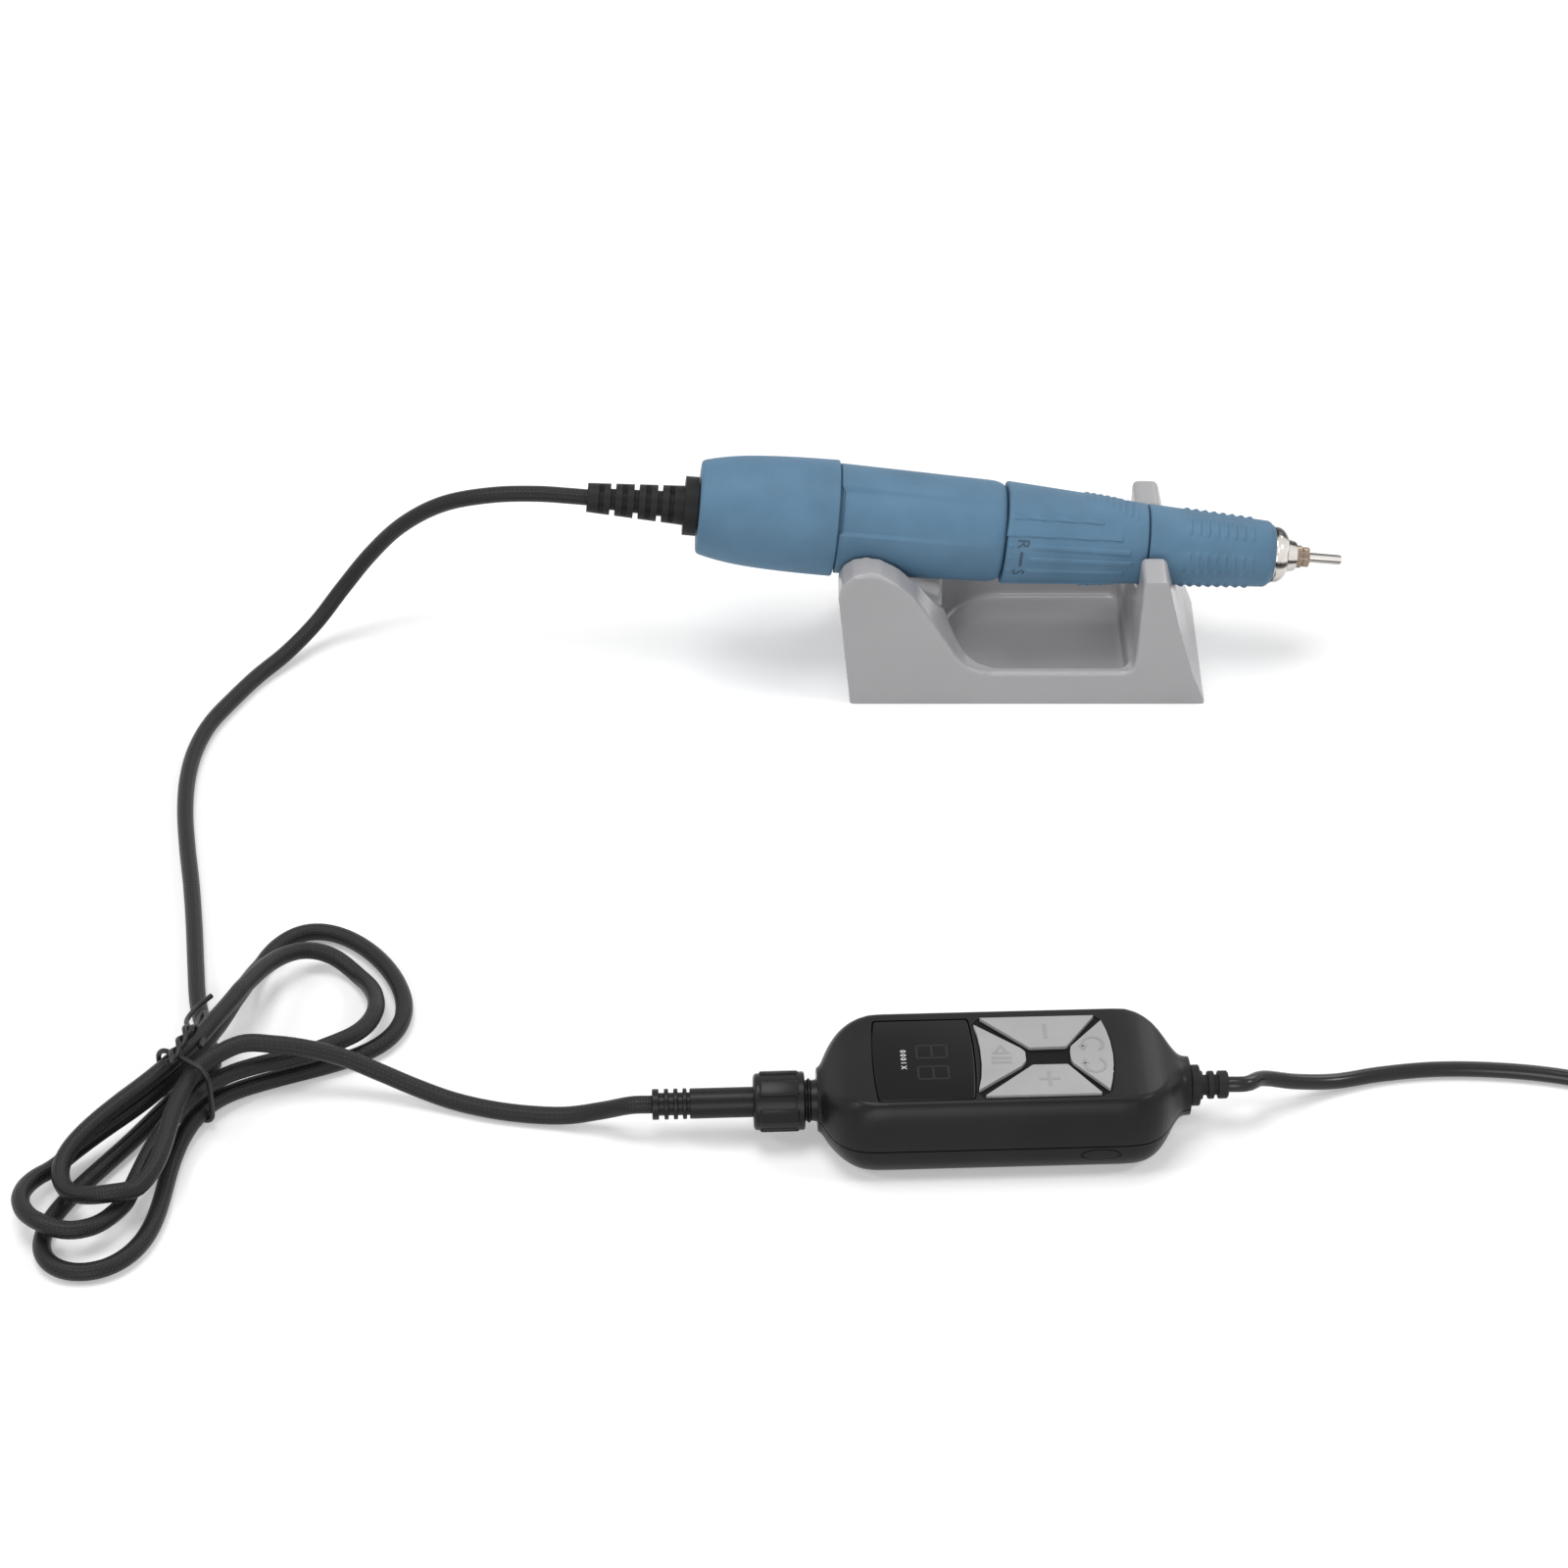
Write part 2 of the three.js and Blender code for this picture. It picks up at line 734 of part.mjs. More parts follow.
function endBell() {
  const seat = bearingRadius + fitGap;
  const outer = bellBoreRadius - fitGap;
  const spigot = canRadius - canWall - fitGap;
  const end = bellStart + bellLength;
  const disc = turned([
    [bellStart, shaftRadius + fitGap],
    [bellStart, outer],
    [end, outer],
    [end, spigot],
    [end + canWall, spigot],
    [end + canWall, seat],
    [bellStart + canWall, seat],
    [bellStart + canWall, shaftRadius + fitGap],
    [bellStart, shaftRadius + fitGap],
  ], innerSides);
  const inner = commutatorRadius + fitGap * 2;
  const holders = [1, -1].map((side) => {
    const low = Math.min(side * inner, side * (holderRadius - fitGap));
    const high = Math.max(side * inner, side * (holderRadius - fitGap));
    return block([end, -holderWidth / 2, low], [holderEnd, holderWidth / 2, high]);
  });
  const bodyWithHolders = join(disc, ...holders);
  const middle = brushMiddle();
  const wide = brushWidth / 2 + fitGap;
  const long = brushLength / 2 + fitGap;
  const slots = [1, -1].map((side) => {
    const outerEnd = holderRadius - canWall;
    const low = Math.min(side * (inner - cutOver), side * outerEnd);
    const high = Math.max(side * (inner - cutOver), side * outerEnd);
    return block([middle - long, -wide, low], [middle + long, wide, high]);
  });
  return cut(bodyWithHolders, ...slots);
}

function brushMiddle() {
  return commutatorStart + commutatorLength / 2;
}

function brush(side) {
  const low = commutatorRadius + fitGap;
  const high = low + brushReach;
  const middle = brushMiddle();
  return block(
    [middle - brushLength / 2, -brushWidth / 2, Math.min(side * low, side * high)],
    [middle + brushLength / 2, brushWidth / 2, Math.max(side * low, side * high)],
  );
}

function brushSpring(side) {
  const low = commutatorRadius + fitGap + brushReach + fitGap / 2;
  const high = holderRadius - canWall - fitGap / 2;
  const ends = [Math.min(side * low, side * high), Math.max(side * low, side * high)];
  return upright(brushSpringRadius, ends[0], ends[1], brushMiddle(), 0);
}

function bearingOuter(start) {
  const end = start + bearingWidth;
  const rim = bearingRadius - bearingRim;
  const lip = shaftRadius + fitGap + bearingRimInner + fitGap;
  return turned([
    [start, lip],
    [start, bearingRadius],
    [end, bearingRadius],
    [end, lip],
    [end - bearingShield, lip],
    [end - bearingShield, rim],
    [start + bearingShield, rim],
    [start + bearingShield, lip],
    [start, lip],
  ], innerSides);
}

function bearingInner(start) {
  const bore = shaftRadius + fitGap;
  return sleeve(start, bearingWidth, bore + bearingRimInner, bore, innerSides);
}

// The spindle is thicker than the motor shaft, so its bearings are wider in the bore
function spindleBearingOuter(start) {
  const lip = spindleRadius + fitGap + bearingRimInner + fitGap;
  return sleeve(start, bearingWidth, bearingRadius, lip, innerSides);
}

function spindleBearingInner(start) {
  const bore = spindleRadius + fitGap;
  return sleeve(start, bearingWidth, bore + bearingRimInner, bore, innerSides);
}

function motorShaft() {
  return turned([
    [shaftStart, 0],
    [shaftStart, shaftRadius - fitGap],
    [shaftStart + fitGap, shaftRadius],
    [shaftEnd, shaftRadius],
    [shaftEnd, 0],
  ], innerSides);
}

function slotBar(turn, width, low, high, start, end) {
  return block([start, -width / 2, low], [end, width / 2, high]).rotateX(turn);
}

function slotTurns() {
  return Array.from({ length: coreSlots }, (unused, i) => (i * 2 * Math.PI) / coreSlots);
}

function armatureCore() {
  const body = sleeve(coreStart, coreLength, coreRadius, shaftRadius + fitGap, innerSides + coreSlots - 1);
  const slots = slotTurns().map((turn) => slotBar(
    turn, slotWidth, slotFloorRadius, coreRadius + cutOver, coreStart - cutOver, coreStart + coreLength + cutOver));
  return cut(body, ...slots);
}

function armatureWinding() {
  const inner = shaftRadius + fitGap * 2;
  const rear = sleeve(coreStart - fitGap - windingEnd, windingEnd, windingRadius, inner, innerSides);
  const front = sleeve(coreStart + coreLength + fitGap, windingEnd, windingRadius, inner, innerSides);
  const bars = slotTurns().map((turn) => slotBar(
    turn, slotWidth - fitGap * 2, slotFloorRadius + fitGap, windingRadius - fitGap,
    coreStart - fitGap - windingEnd / 2, coreStart + coreLength + fitGap + windingEnd / 2));
  return join(rear, front, ...bars);
}

function commutator() {
  const bore = shaftRadius + fitGap;
  const end = commutatorStart + commutatorLength;
  return turned([
    [commutatorStart, bore],
    [commutatorStart, commutatorRadius],
    [end, commutatorRadius],
    [end, commutatorRadius + fitGap],
    [end + canWall * 0.8, commutatorRadius + fitGap],
    [end + canWall * 0.8, bore],
    [commutatorStart, bore],
  ], innerSides);
}

function driveCoupling() {
  const cup = turned([
    [couplingStart, shaftRadius + fitGap],
    [couplingStart, couplingRadius],
    [tongueStart, couplingRadius],
    [tongueStart, 0],
    [shaftEnd + fitGap, 0],
    [shaftEnd + fitGap, shaftRadius + fitGap],
    [couplingStart, shaftRadius + fitGap],
  ], innerSides);
  const tongue = block(
    [tongueStart - fitGap, -tongueWidth / 2, -tongueHeight / 2],
    [tongueStart + tongueLength, tongueWidth / 2, tongueHeight / 2],
  );
  return join(cup, tongue);
}

function spindle() {
  const flangeEnd = spindleStart + spindleFlangeLength;
  const boreStart = colletEnd - colletLength - fitGap * 3;
  const body = turned([
    [spindleStart, 0],
    [spindleStart, spindleFlangeRadius],
    [flangeEnd, spindleFlangeRadius],
    [flangeEnd, spindleRadius],
    [spindleEnd, spindleRadius],
    [spindleEnd, spindleBoreRadius],
    [boreStart, spindleBoreRadius],
    [boreStart, 0],
  ], innerSides);
  const slot = block(
    [spindleStart - cutOver, -tongueWidth / 2 - fitGap, -spindleFlangeRadius - cutOver],
    [tongueStart + tongueLength + fitGap, tongueWidth / 2 + fitGap, spindleFlangeRadius + cutOver],
  );
  return cut(body, slot);
}

function collet() {
  const start = colletEnd - colletLength;
  const boreStart = colletEnd - pinInside() - fitGap;
  const body = turned([
    [start, 0],
    [start, colletRadius],
    [colletTipStart, colletRadius],
    [colletTipStart, colletTipRadius],
    [colletEnd, colletTipRadius],
    [colletEnd, colletBoreRadius],
    [boreStart, colletBoreRadius],
    [boreStart, 0],
  ], smallSides);
  const slits = [0, 1, 2].map((i) => block(
    [colletEnd - colletSlitLength, -colletSlit / 2, colletBoreRadius / 2],
    [colletEnd + cutOver, colletSlit / 2, colletTipRadius + cutOver],
  ).rotateX((i * 2 * Math.PI) / 3 + Math.PI / smallSides));
  return cut(body, ...slits);
}

function pinInside() {
  return pinLength - pinProud;
}

function testPin() {
  const end = colletEnd + pinProud;
  return turned([
    [end - pinLength, 0],
    [end - pinLength, pinRadius],
    [end - pinChamfer, pinRadius],
    [end, pinRadius - pinChamfer],
    [end, 0],
  ], smallSides);
}

function lugSlot(extra) {
  const low = [camStart - extra, -lugWidth / 2 - extra, camBoreRadius + fitGap];
  const high = [camStart + camLength + extra, lugWidth / 2 + extra, ringBoreRadius - fitGap + extra];
  return block(low, high);
}

function innerBarrel() {
  const end = noseStart - seamGap;
  const step = gripStart - seamGap;
  const body = turned([
    [barrelFlangeAt, barrelBoreRadius],
    [barrelFlangeAt, barrelFlangeRadius],
    [barrelFlangeAt + barrelFlangeLength, barrelFlangeRadius],
    [barrelFlangeAt + barrelFlangeLength, barrelRadius],
    [step, barrelRadius],
    [step, barrelFrontRadius],
    [end, barrelFrontRadius],
    [end, barrelBoreRadius],
    [barrelFlangeAt, barrelBoreRadius],
  ], shellSides);
  const window = camTravel + fitGap * 2;
  return cut(body, lugSlot(window), lugSlot(window).rotateX(Math.PI));
}

function camSleeve() {
  const body = sleeve(camStart, camLength, barrelBoreRadius - fitGap, camBoreRadius, innerSides);
  const lugs = [0, Math.PI].map((turn) => block(
    [camStart + camLength / 4, -lugWidth / 2, camBoreRadius + fitGap * 2],
    [camStart + camLength * 0.75, lugWidth / 2, ringBoreRadius - fitGap * 2],
  ).rotateX(turn));
  return join(body, ...lugs);
}

function chuckSpring() {
  const radius = (spindleRadius + barrelBoreRadius) / 2;
  const curlSteps = 8;
  const points = [];
  for (let i = 0; i <= springCurls * curlSteps; i += 1) {
    const turn = (i / curlSteps) * 2 * Math.PI;
    const along = springStart + (springPitch * i) / curlSteps;
    points.push(new THREE.Vector3(along, radius * Math.cos(turn), radius * Math.sin(turn)));
  }
  return tube(points, springWire, springCurls * curlSteps, 5);
}

function ringRadiusAt(along) {
  return THREE.MathUtils.mapLinear(along, 0, ringLength, ringRearRadius, gripRearRadius);
}

function chuckRing() {
  const start = ringStart;
  const end = gripStart - seamGap;
  const land = barrelRadius + fitGap;
  const round = shellEdgeRound / 3;
  const shell = turned([
    [start, land],
    [start, ringRearRadius - round],
    [start + round, ringRearRadius],
    [end - round, gripRearRadius + round * 0.1],
    [end, gripRearRadius - round],
    [end, land],
    [end - ringLandLength, land],
    [end - ringLandLength, ringBoreRadius],
    [start + ringLandLength, ringBoreRadius],
    [start + ringLandLength, land],
    [start, land],
  ], shellSides);
  const slope = Math.atan2(ringRearRadius - gripRearRadius, ringLength);
  const bars = [];
  for (let g = 0; g < barGroups; g += 1) {
    for (let i = 0; i < barsInGroup; i += 1) {
      const turn = (g * 2 * Math.PI) / barGroups + radians(barStartDegrees - barPitchDegrees * i) - Math.PI / 2;
      const bar = new THREE.BoxGeometry(barLength, barWidth, barHeight * 2);
      bar.rotateY(slope).translate(start + barStart + barLength / 2, 0, ringRadiusAt(barStart + barLength / 2));
      bars.push(bar.rotateX(-turn));
    }
  }
  return join(shell, ...bars);
}

function frontGrip() {
  const start = gripStart;
  const end = noseStart - seamGap;
  const bore = barrelFrontRadius + fitGap;
  const round = shellEdgeRound;
  const radiusAt = (along) => THREE.MathUtils.mapLinear(along, 0, gripLength, gripRearRadius, gripFrontRadius);
  const profile = [[start, bore], [start, gripRearRadius - round / 3], [start + round / 3, gripRearRadius]];
  for (let i = 0; i < gripRibCount; i += 1) {
    const at = gripRibStart + gripRibPitch * i;
    profile.push([start + at, radiusAt(at) - gripRibDepth]);
    profile.push([start + at + gripRibPitch * 0.4, radiusAt(at)]);
    profile.push([start + at + gripRibPitch * 0.7, radiusAt(at)]);
  }
  profile.push([end - round, gripFrontRadius], [end - round * 0.3, gripFrontRadius - round * 0.4]);
  profile.push([end, gripFrontRadius - round * 0.8], [end, bore], [start, bore]);
  return turned(profile, shellSides);
}

function noseCone() {
  const stub = barrelBoreRadius - fitGap;
  return turned([
    [noseStart - noseStubLength, noseBoreRadius],
    [noseStart - noseStubLength, stub],
    [noseStart, stub],
    [noseStart, noseRadius],
    [noseStart + noseLength * 0.22, noseRadius - fitGap],
    [noseStart + noseLength * 0.38, noseShoulderRadius + fitGap],
    [noseStart + noseLength * 0.42, noseShoulderRadius - fitGap],
    [noseStart + noseLength * 0.7, noseTipRadius + fitGap * 3],
    [noseStart + noseLength * 0.74, noseTipRadius],
    [noseEnd, noseTipRadius - fitGap],
    [noseEnd, noseBoreRadius],
    [noseStart - noseStubLength, noseBoreRadius],
  ], shellSides - 4);
}

function buildHandpiece() {
  const magnetOuter = canRadius - canWall - fitGap;
  add(handpiece, 'rear_cap', rearCap(), 'blueGrip');
  add(handpiece, 'cable_boot', cableBoot(), 'blackMoulded');
  add(handpiece, 'motor_housing', motorHousing(), 'blueGrip');
  add(handpiece, 'motor_can', motorCan(), 'steel');
  add(handpiece, 'magnet_ring',
    sleeve(magnetStart, magnetLength, magnetOuter, magnetOuter - magnetWall, innerSides), 'magnet');
  add(handpiece, 'end_bell', endBell(), 'blackMoulded');
  for (const [name, side] of [['upper', 1], ['lower', -1]]) {
    add(handpiece, `${name}_brush`, brush(side), 'carbon');
    add(handpiece, `${name}_brush_spring`, brushSpring(side), 'steel');
  }
  const rearBearing = bellStart + canWall + fitGap;
  const frontBearing = canEnd - bearingWidth - fitGap;
  add(handpiece, 'rear_bearing_outer', bearingOuter(rearBearing), 'steel');
  add(handpiece, 'rear_bearing_inner', bearingInner(rearBearing), 'steel');
  add(handpiece, 'front_bearing_outer', bearingOuter(frontBearing), 'steel');
  add(handpiece, 'front_bearing_inner', bearingInner(frontBearing), 'steel');
  add(handpiece, 'motor_shaft', motorShaft(), 'steel');
  add(handpiece, 'armature_core', armatureCore(), 'steel');
  add(handpiece, 'armature_winding', armatureWinding(), 'copper');
  add(handpiece, 'commutator', commutator(), 'copper');
  add(handpiece, 'drive_coupling', driveCoupling(), 'blackMoulded');
  add(handpiece, 'spindle', spindle(), 'bronze');
  add(handpiece, 'spindle_rear_bearing_outer', spindleBearingOuter(rearSpindleBearingAt), 'steel');
  add(handpiece, 'spindle_rear_bearing_inner', spindleBearingInner(rearSpindleBearingAt), 'steel');
  add(handpiece, 'spindle_front_bearing_outer', spindleBearingOuter(frontSpindleBearingAt), 'steel');
  add(handpiece, 'spindle_front_bearing_inner', spindleBearingInner(frontSpindleBearingAt), 'steel');
  add(handpiece, 'inner_barrel', innerBarrel(), 'steel');
  add(handpiece, 'chuck_spring', chuckSpring(), 'steel');
  add(handpiece, 'cam_sleeve', camSleeve(), 'steel');
  add(handpiece, 'chuck_ring', chuckRing(), 'blueGrip');
  add(handpiece, 'front_grip', frontGrip(), 'blueGrip');
  add(handpiece, 'nose_cone', noseCone(), 'chrome');
  add(handpiece, 'collet', collet(), 'bronze');
  add(handpiece, 'test_pin', testPin(), 'steel');
}

buildHandpiece();

// Side outline of the cradle in X and Z
function cradleOutline() {
  const shape = new THREE.Shape();
  const leftTop = cradleLeft - saddleLean;
  const shoulder = saddleHeight - lowWallHeight;
  shape.moveTo(cradleLeft, 0);
  shape.lineTo(cradleRight, 0);
  shape.lineTo(prongLeftX + prongTopWidth + cradleRound / 2, prongHeight - cradleRound);
  shape.quadraticCurveTo(prongLeftX + prongTopWidth, prongHeight, prongLeftX + prongTopWidth - cradleRound, prongHeight);
  shape.lineTo(prongLeftX + cradleRound, prongHeight);
  shape.quadraticCurveTo(prongLeftX + cradleRound / 4, prongHeight, prongLeftX, prongHeight - cradleRound);
  shape.lineTo(prongLeftX - cradleRound / 4, lowWallHeight + cradleRound);
  shape.quadraticCurveTo(prongLeftX - cradleRound / 4, lowWallHeight, prongLeftX - cradleRound, lowWallHeight);
  shape.lineTo(lowWallStartX, lowWallHeight);
  shape.bezierCurveTo(
    lowWallStartX - shoulder / 4, lowWallHeight,
    lowWallStartX - shoulder / 4, lowWallHeight + shoulder / 5,
    lowWallStartX - shoulder * 0.36, lowWallHeight + shoulder * 0.42,
  );
  shape.bezierCurveTo(
    saddleTopX + shoulder * 0.4, saddleHeight - shoulder * 0.22,
    saddleTopX + shoulder * 0.26, saddleHeight,
    saddleTopX, saddleHeight,
  );
  shape.bezierCurveTo(
    leftTop + cradleRound, saddleHeight,
    leftTop, saddleHeight - cradleRound,
    leftTop, saddleHeight - cradleRound * 2.6,
  );
  return shape;
}

function trayOutline() {
  const width = cradleDepth - 2 * trayWall;
  const [left, right, half] = [trayLeftX, trayRightX, width / 2];
  const shape = new THREE.Shape();
  shape.moveTo(left + trayLeftRound, -half);
  shape.lineTo(right - trayRightRound, -half);
  shape.absarc(right - trayRightRound, -half + trayRightRound, trayRightRound, -Math.PI / 2, 0);
  shape.lineTo(right, half - trayRightRound);
  shape.absarc(right - trayRightRound, half - trayRightRound, trayRightRound, 0, Math.PI / 2);
  shape.lineTo(left + trayLeftRound, half);
  shape.absarc(left + trayLeftRound, half - trayLeftRound, trayLeftRound, Math.PI / 2, Math.PI);
  shape.lineTo(left, -half + trayLeftRound);
  shape.absarc(left + trayLeftRound, -half + trayLeftRound, trayLeftRound, Math.PI, Math.PI * 1.5);
  return shape;
}

function axisHeight(x) {
  return handpieceRearHeight - (x - handpieceRearX) * Math.tan(radians(handpiecePitchDegrees));
}

function buildCradle() {
  const depth = cradleDepth - 2 * cradleEdge;
  const options = {
    depth, bevelEnabled: true, bevelThickness: cradleEdge, bevelSize: cradleEdge,
    bevelOffset: -cradleEdge, bevelSegments: 2, curveSegments: arcSteps,
  };
  const outer = new THREE.ExtrudeGeometry(cradleOutline(), options);
  outer.rotateX(Math.PI / 2).translate(0, cradleY + depth / 2, 0);
  const floorCut = block(
    [cradleLeft - cradleDepth, cradleY - cradleDepth, -cradleDepth],
    [cradleRight + cradleDepth, cradleY + cradleDepth, 0],
  );
  const troughRadius = housingRearRadius + seamGap;
  const trough = rod(housingStart - capLength, ringStart, troughRadius, shellSides);
  trough.applyMatrix4(handpiece.matrix);
  const ramp = rod(-cradleDepth / 2, cradleDepth * 2, troughRadius, shellSides);
  ramp.rotateY(radians(rampDegrees)).translate(rampX, cradleY, axisHeight(rampX));
  const tray = prism(trayOutline(), trayFloor, saddleHeight + cutOver).translate(0, cradleY, 0);
  const notchRadius = gripRearRadius + fitGap * 1.5;
  const notch = rod(gripStart - ringLandLength * 4, gripLength, notchRadius, shellSides);
  notch.applyMatrix4(handpiece.matrix);
  const flareTop = prongHeight + cutOver;
  const axisAt = axisHeight(prongLeftX + prongTopWidth);
  const flare = (flareTop - axisAt) * Math.tan(radians(prongFlareDegrees)) + notchRadius;
  const mouth = prism(polygon([
    [-notchRadius, axisAt - cradleRound],
    [notchRadius, axisAt - cradleRound],
    [flare, flareTop],
    [-flare, flareTop],
  ]), trayRightX, cradleRight).rotateY(Math.PI / 2).rotateX(Math.PI / 2).translate(0, cradleY, 0);
  const under = block(
    [cradleLeft + undersideWall, cradleY - cradleDepth / 2 + undersideWall * 1.5, -cutOver],
    [cradleLeft + undersideWall + undersideLength, cradleY + cradleDepth / 2 - undersideWall * 1.5, undersideHeight],
  );
  add(group, 'cradle', cut(outer, floorCut, trough, ramp, tray, notch, mouth, under), 'cradleGrey');
}

buildCradle();

// Plan outline of the controller with a shoulder at each end
function bodyPlan(extra) {
  const [half, wide] = [bodyLength / 2, bodyWidth / 2];
  const shape = new THREE.Shape();
  const [boss, neck] = [bossWidth / 2, neckWidth / 2];
  const side = (sign) => {
    const from = sign > 0 ? neck : boss;
    return { from, end: sign * (half + extra), start: sign * half, run: sign * (half - shoulderLength) };
  };
  const [right, left] = [side(1), side(-1)];
  const flareShare = 0.2;
  const roundShare = 0.12;
  shape.moveTo(left.end, -left.from);
  shape.lineTo(left.start, -left.from);
  shape.bezierCurveTo(
    left.start + shoulderLength * flareShare, -left.from,
    left.start + shoulderLength * roundShare, -wide, left.run, -wide);
  shape.lineTo(right.run, -wide);
  shape.bezierCurveTo(
    right.start - shoulderLength * roundShare, -wide,
    right.start - shoulderLength * flareShare, -right.from, right.start, -right.from);
  shape.lineTo(right.end, -right.from);
  shape.lineTo(right.end, right.from);
  shape.lineTo(right.start, right.from);
  shape.bezierCurveTo(
    right.start - shoulderLength * flareShare, right.from,
    right.start - shoulderLength * roundShare, wide, right.run, wide);
  shape.lineTo(left.run, wide);
  shape.bezierCurveTo(
    left.start + shoulderLength * roundShare, wide,
    left.start + shoulderLength * flareShare, left.from, left.start, left.from);
  shape.lineTo(left.end, left.from);
  return shape;
}

function bodySide() {
  const half = bodyLength / 2;
  const shape = new THREE.Shape();
  shape.moveTo(-half, bossLow);
  shape.quadraticCurveTo(-half + shoulderLength / 2, 0, -half + shoulderLength, 0);
  shape.lineTo(half - shoulderLength, 0);
  shape.quadraticCurveTo(half - shoulderLength / 2, 0, half, neckLow);
  shape.lineTo(half, neckHigh);
  shape.quadraticCurveTo(half - shoulderLength / 2, bodyHeight, half - shoulderLength, bodyHeight);
  shape.lineTo(-half + shoulderLength, bodyHeight);
  shape.quadraticCurveTo(-half + shoulderLength / 2, bodyHeight, -half, bossHigh);
  return shape;
}

function controllerBody() {
  const options = {
    depth: bodyHeight - 2 * bodyRound, bevelEnabled: true, bevelThickness: bodyRound, bevelSize: bodyRound,
    bevelOffset: -bodyRound, bevelSegments: 3, curveSegments: arcSteps,
  };
  const plan = new THREE.ExtrudeGeometry(bodyPlan(bodyRound * 2), options).translate(0, 0, bodyRound);
  const profile = prism(bodySide(), -bodyWidth, bodyWidth).rotateX(Math.PI / 2);
  return shared(plan, profile);
}

function cavity() {
  const shape = roundedRectangle(cavityLength, bodyWidth - 2 * sideWall, cavityRound);
  return prism(shape, bottomWall, bodyHeight - topWall, 4);
}

function grown(points, by) {
  // Moves each side of a convex outline outwards and meets them again at the corners
  const count = points.length;
  const lines = points.map(([x, y], i) => {
    const [u, v] = points[(i + 1) % count];
    const size = Math.hypot(u - x, v - y);
    const normal = [(v - y) / size, -(u - x) / size];
    return { normal, offset: normal[0] * x + normal[1] * y + by };
  });
  return lines.map((line, i) => {
    const other = lines[(i + count - 1) % count];
    const cross = line.normal[0] * other.normal[1] - line.normal[1] * other.normal[0];
    return [
      (line.offset * other.normal[1] - other.offset * line.normal[1]) / cross,
      (line.normal[0] * other.offset - other.normal[0] * line.offset) / cross,
    ];
  });
}

// Four key outlines around the dark bar in the middle, counterclockwise
function keyOutlines() {
  const [long, wide] = [keyClusterLength / 2, keyClusterWidth / 2];
  const [barLong, barWide] = [keyBarLength / 2, keyBarWidth / 2];
  const gap = keyGap / 2;
  const slantShare = 0.86;
  const cornerX = long * slantShare;
  const place = (points) => points.map(([x, y]) => [x + keyClusterX, y]);
  const minus = [[barLong - gap, barWide], [cornerX - gap, wide], [-cornerX + gap, wide], [-barLong + gap, barWide]];
  const plus = minus.map(([x, y]) => [-x, -y]);
  const bow = windowBow;
  const direction = [
    [barLong + gap, barWide - gap], [barLong + gap, -barWide + gap],
    [cornerX + gap, -wide + gap * 2], [long, -wide / 3], [long, wide / 3], [cornerX + gap, wide - gap * 2],
  ];
  const run = [
    [-barLong - gap, -barWide + gap], [-barLong - gap, barWide - gap],
    [-cornerX - gap - bow, wide - gap * 2], [-cornerX - gap - bow, -wide + gap * 2],
  ];
  return { minus: place(minus), plus: place(plus), direction: place(direction), run: place(run) };
}

const cavityTop = bodyHeight - topWall;
const flangeTop = cavityTop - fitGap;
const flangeLow = flangeTop - keyFlangeThickness;
const domeTop = flangeLow - keyTravel - fitGap;
const membraneLow = domeTop - membraneThickness * 2;
const boardTop = membraneLow - fitGap;
const boardLow = boardTop - boardThickness;

function windowShape(grow) {
  const [x, y] = [windowLength / 2 + grow, windowWidth / 2 + grow];
  const shape = new THREE.Shape();
  shape.moveTo(-x, -y);
  shape.lineTo(x, -y);
  shape.quadraticCurveTo(x + windowBow, 0, x, y);
  shape.lineTo(-x, y);
  shape.quadraticCurveTo(-x - windowBow, 0, -x, -y);
  return shape;
}

function caseScrewPlaces() {
  return [[screwX, screwY], [-screwX, -screwY]];
}

function topShell() {
  const half = [bodyLength, bodyWidth];
  const above = block([-half[0], -half[1], partingHeight + fitGap / 2], [half[0], half[1], bodyHeight + cutOver]);
  const open = shared(cut(controllerBody(), cavity()), above);
  const bosses = caseScrewPlaces().map(([x, y]) => (
    upright(bossRadius, partingHeight + fitGap / 2, cavityTop + fitGap, x, y)));
  const pilots = caseScrewPlaces().map(([x, y]) => (
    upright(screwShank + fitGap, partingHeight - cutOver, screwRecess + screwHeadHeight + screwLength + fitGap, x, y)));
  const recess = prism(windowShape(fitGap), bodyHeight - windowThickness - fitGap * 1.5, bodyHeight + cutOver);
  const aperture = prism(
    roundedRectangle(apertureLength, apertureWidth, windowRound), cavityTop - cutOver, bodyHeight + cutOver, 2);
  const keyHoles = Object.values(keyOutlines()).map((outline) => (
    prism(polygon(grown(outline, fitGap)), cavityTop - cutOver, bodyHeight + cutOver)));
  return cut(join(open, ...bosses), recess.translate(windowX, 0, 0), aperture.translate(windowX, 0, 0),
    ...pilots, ...keyHoles, ...endBores());
}

function bottomShell() {
  const half = [bodyLength, bodyWidth];
  const below = block([-half[0], -half[1], -cutOver], [half[0], half[1], partingHeight - fitGap / 2]);
  const tray = shared(cut(controllerBody(), cavity()), below);
  const bosses = caseScrewPlaces().map(([x, y]) => (
    upright(bossRadius, bottomWall / 2, partingHeight - fitGap / 2, x, y)));
  const posts = [];
  for (const x of [-postX, postX]) {
    for (const y of [-postY, postY]) {
      posts.push(upright(postRadius, bottomWall / 2, boardLow - fitGap, x, y, 8));
    }
  }
  const holes = caseScrewPlaces().flatMap(([x, y]) => [
    upright(screwShank + fitGap, -cutOver, partingHeight + cutOver, x, y),
    upright(screwHead + fitGap, -cutOver, screwRecess + screwHeadHeight + fitGap, x, y),
  ]);
  return cut(join(tray, ...bosses, ...posts), ...holes, ...endBores());
}

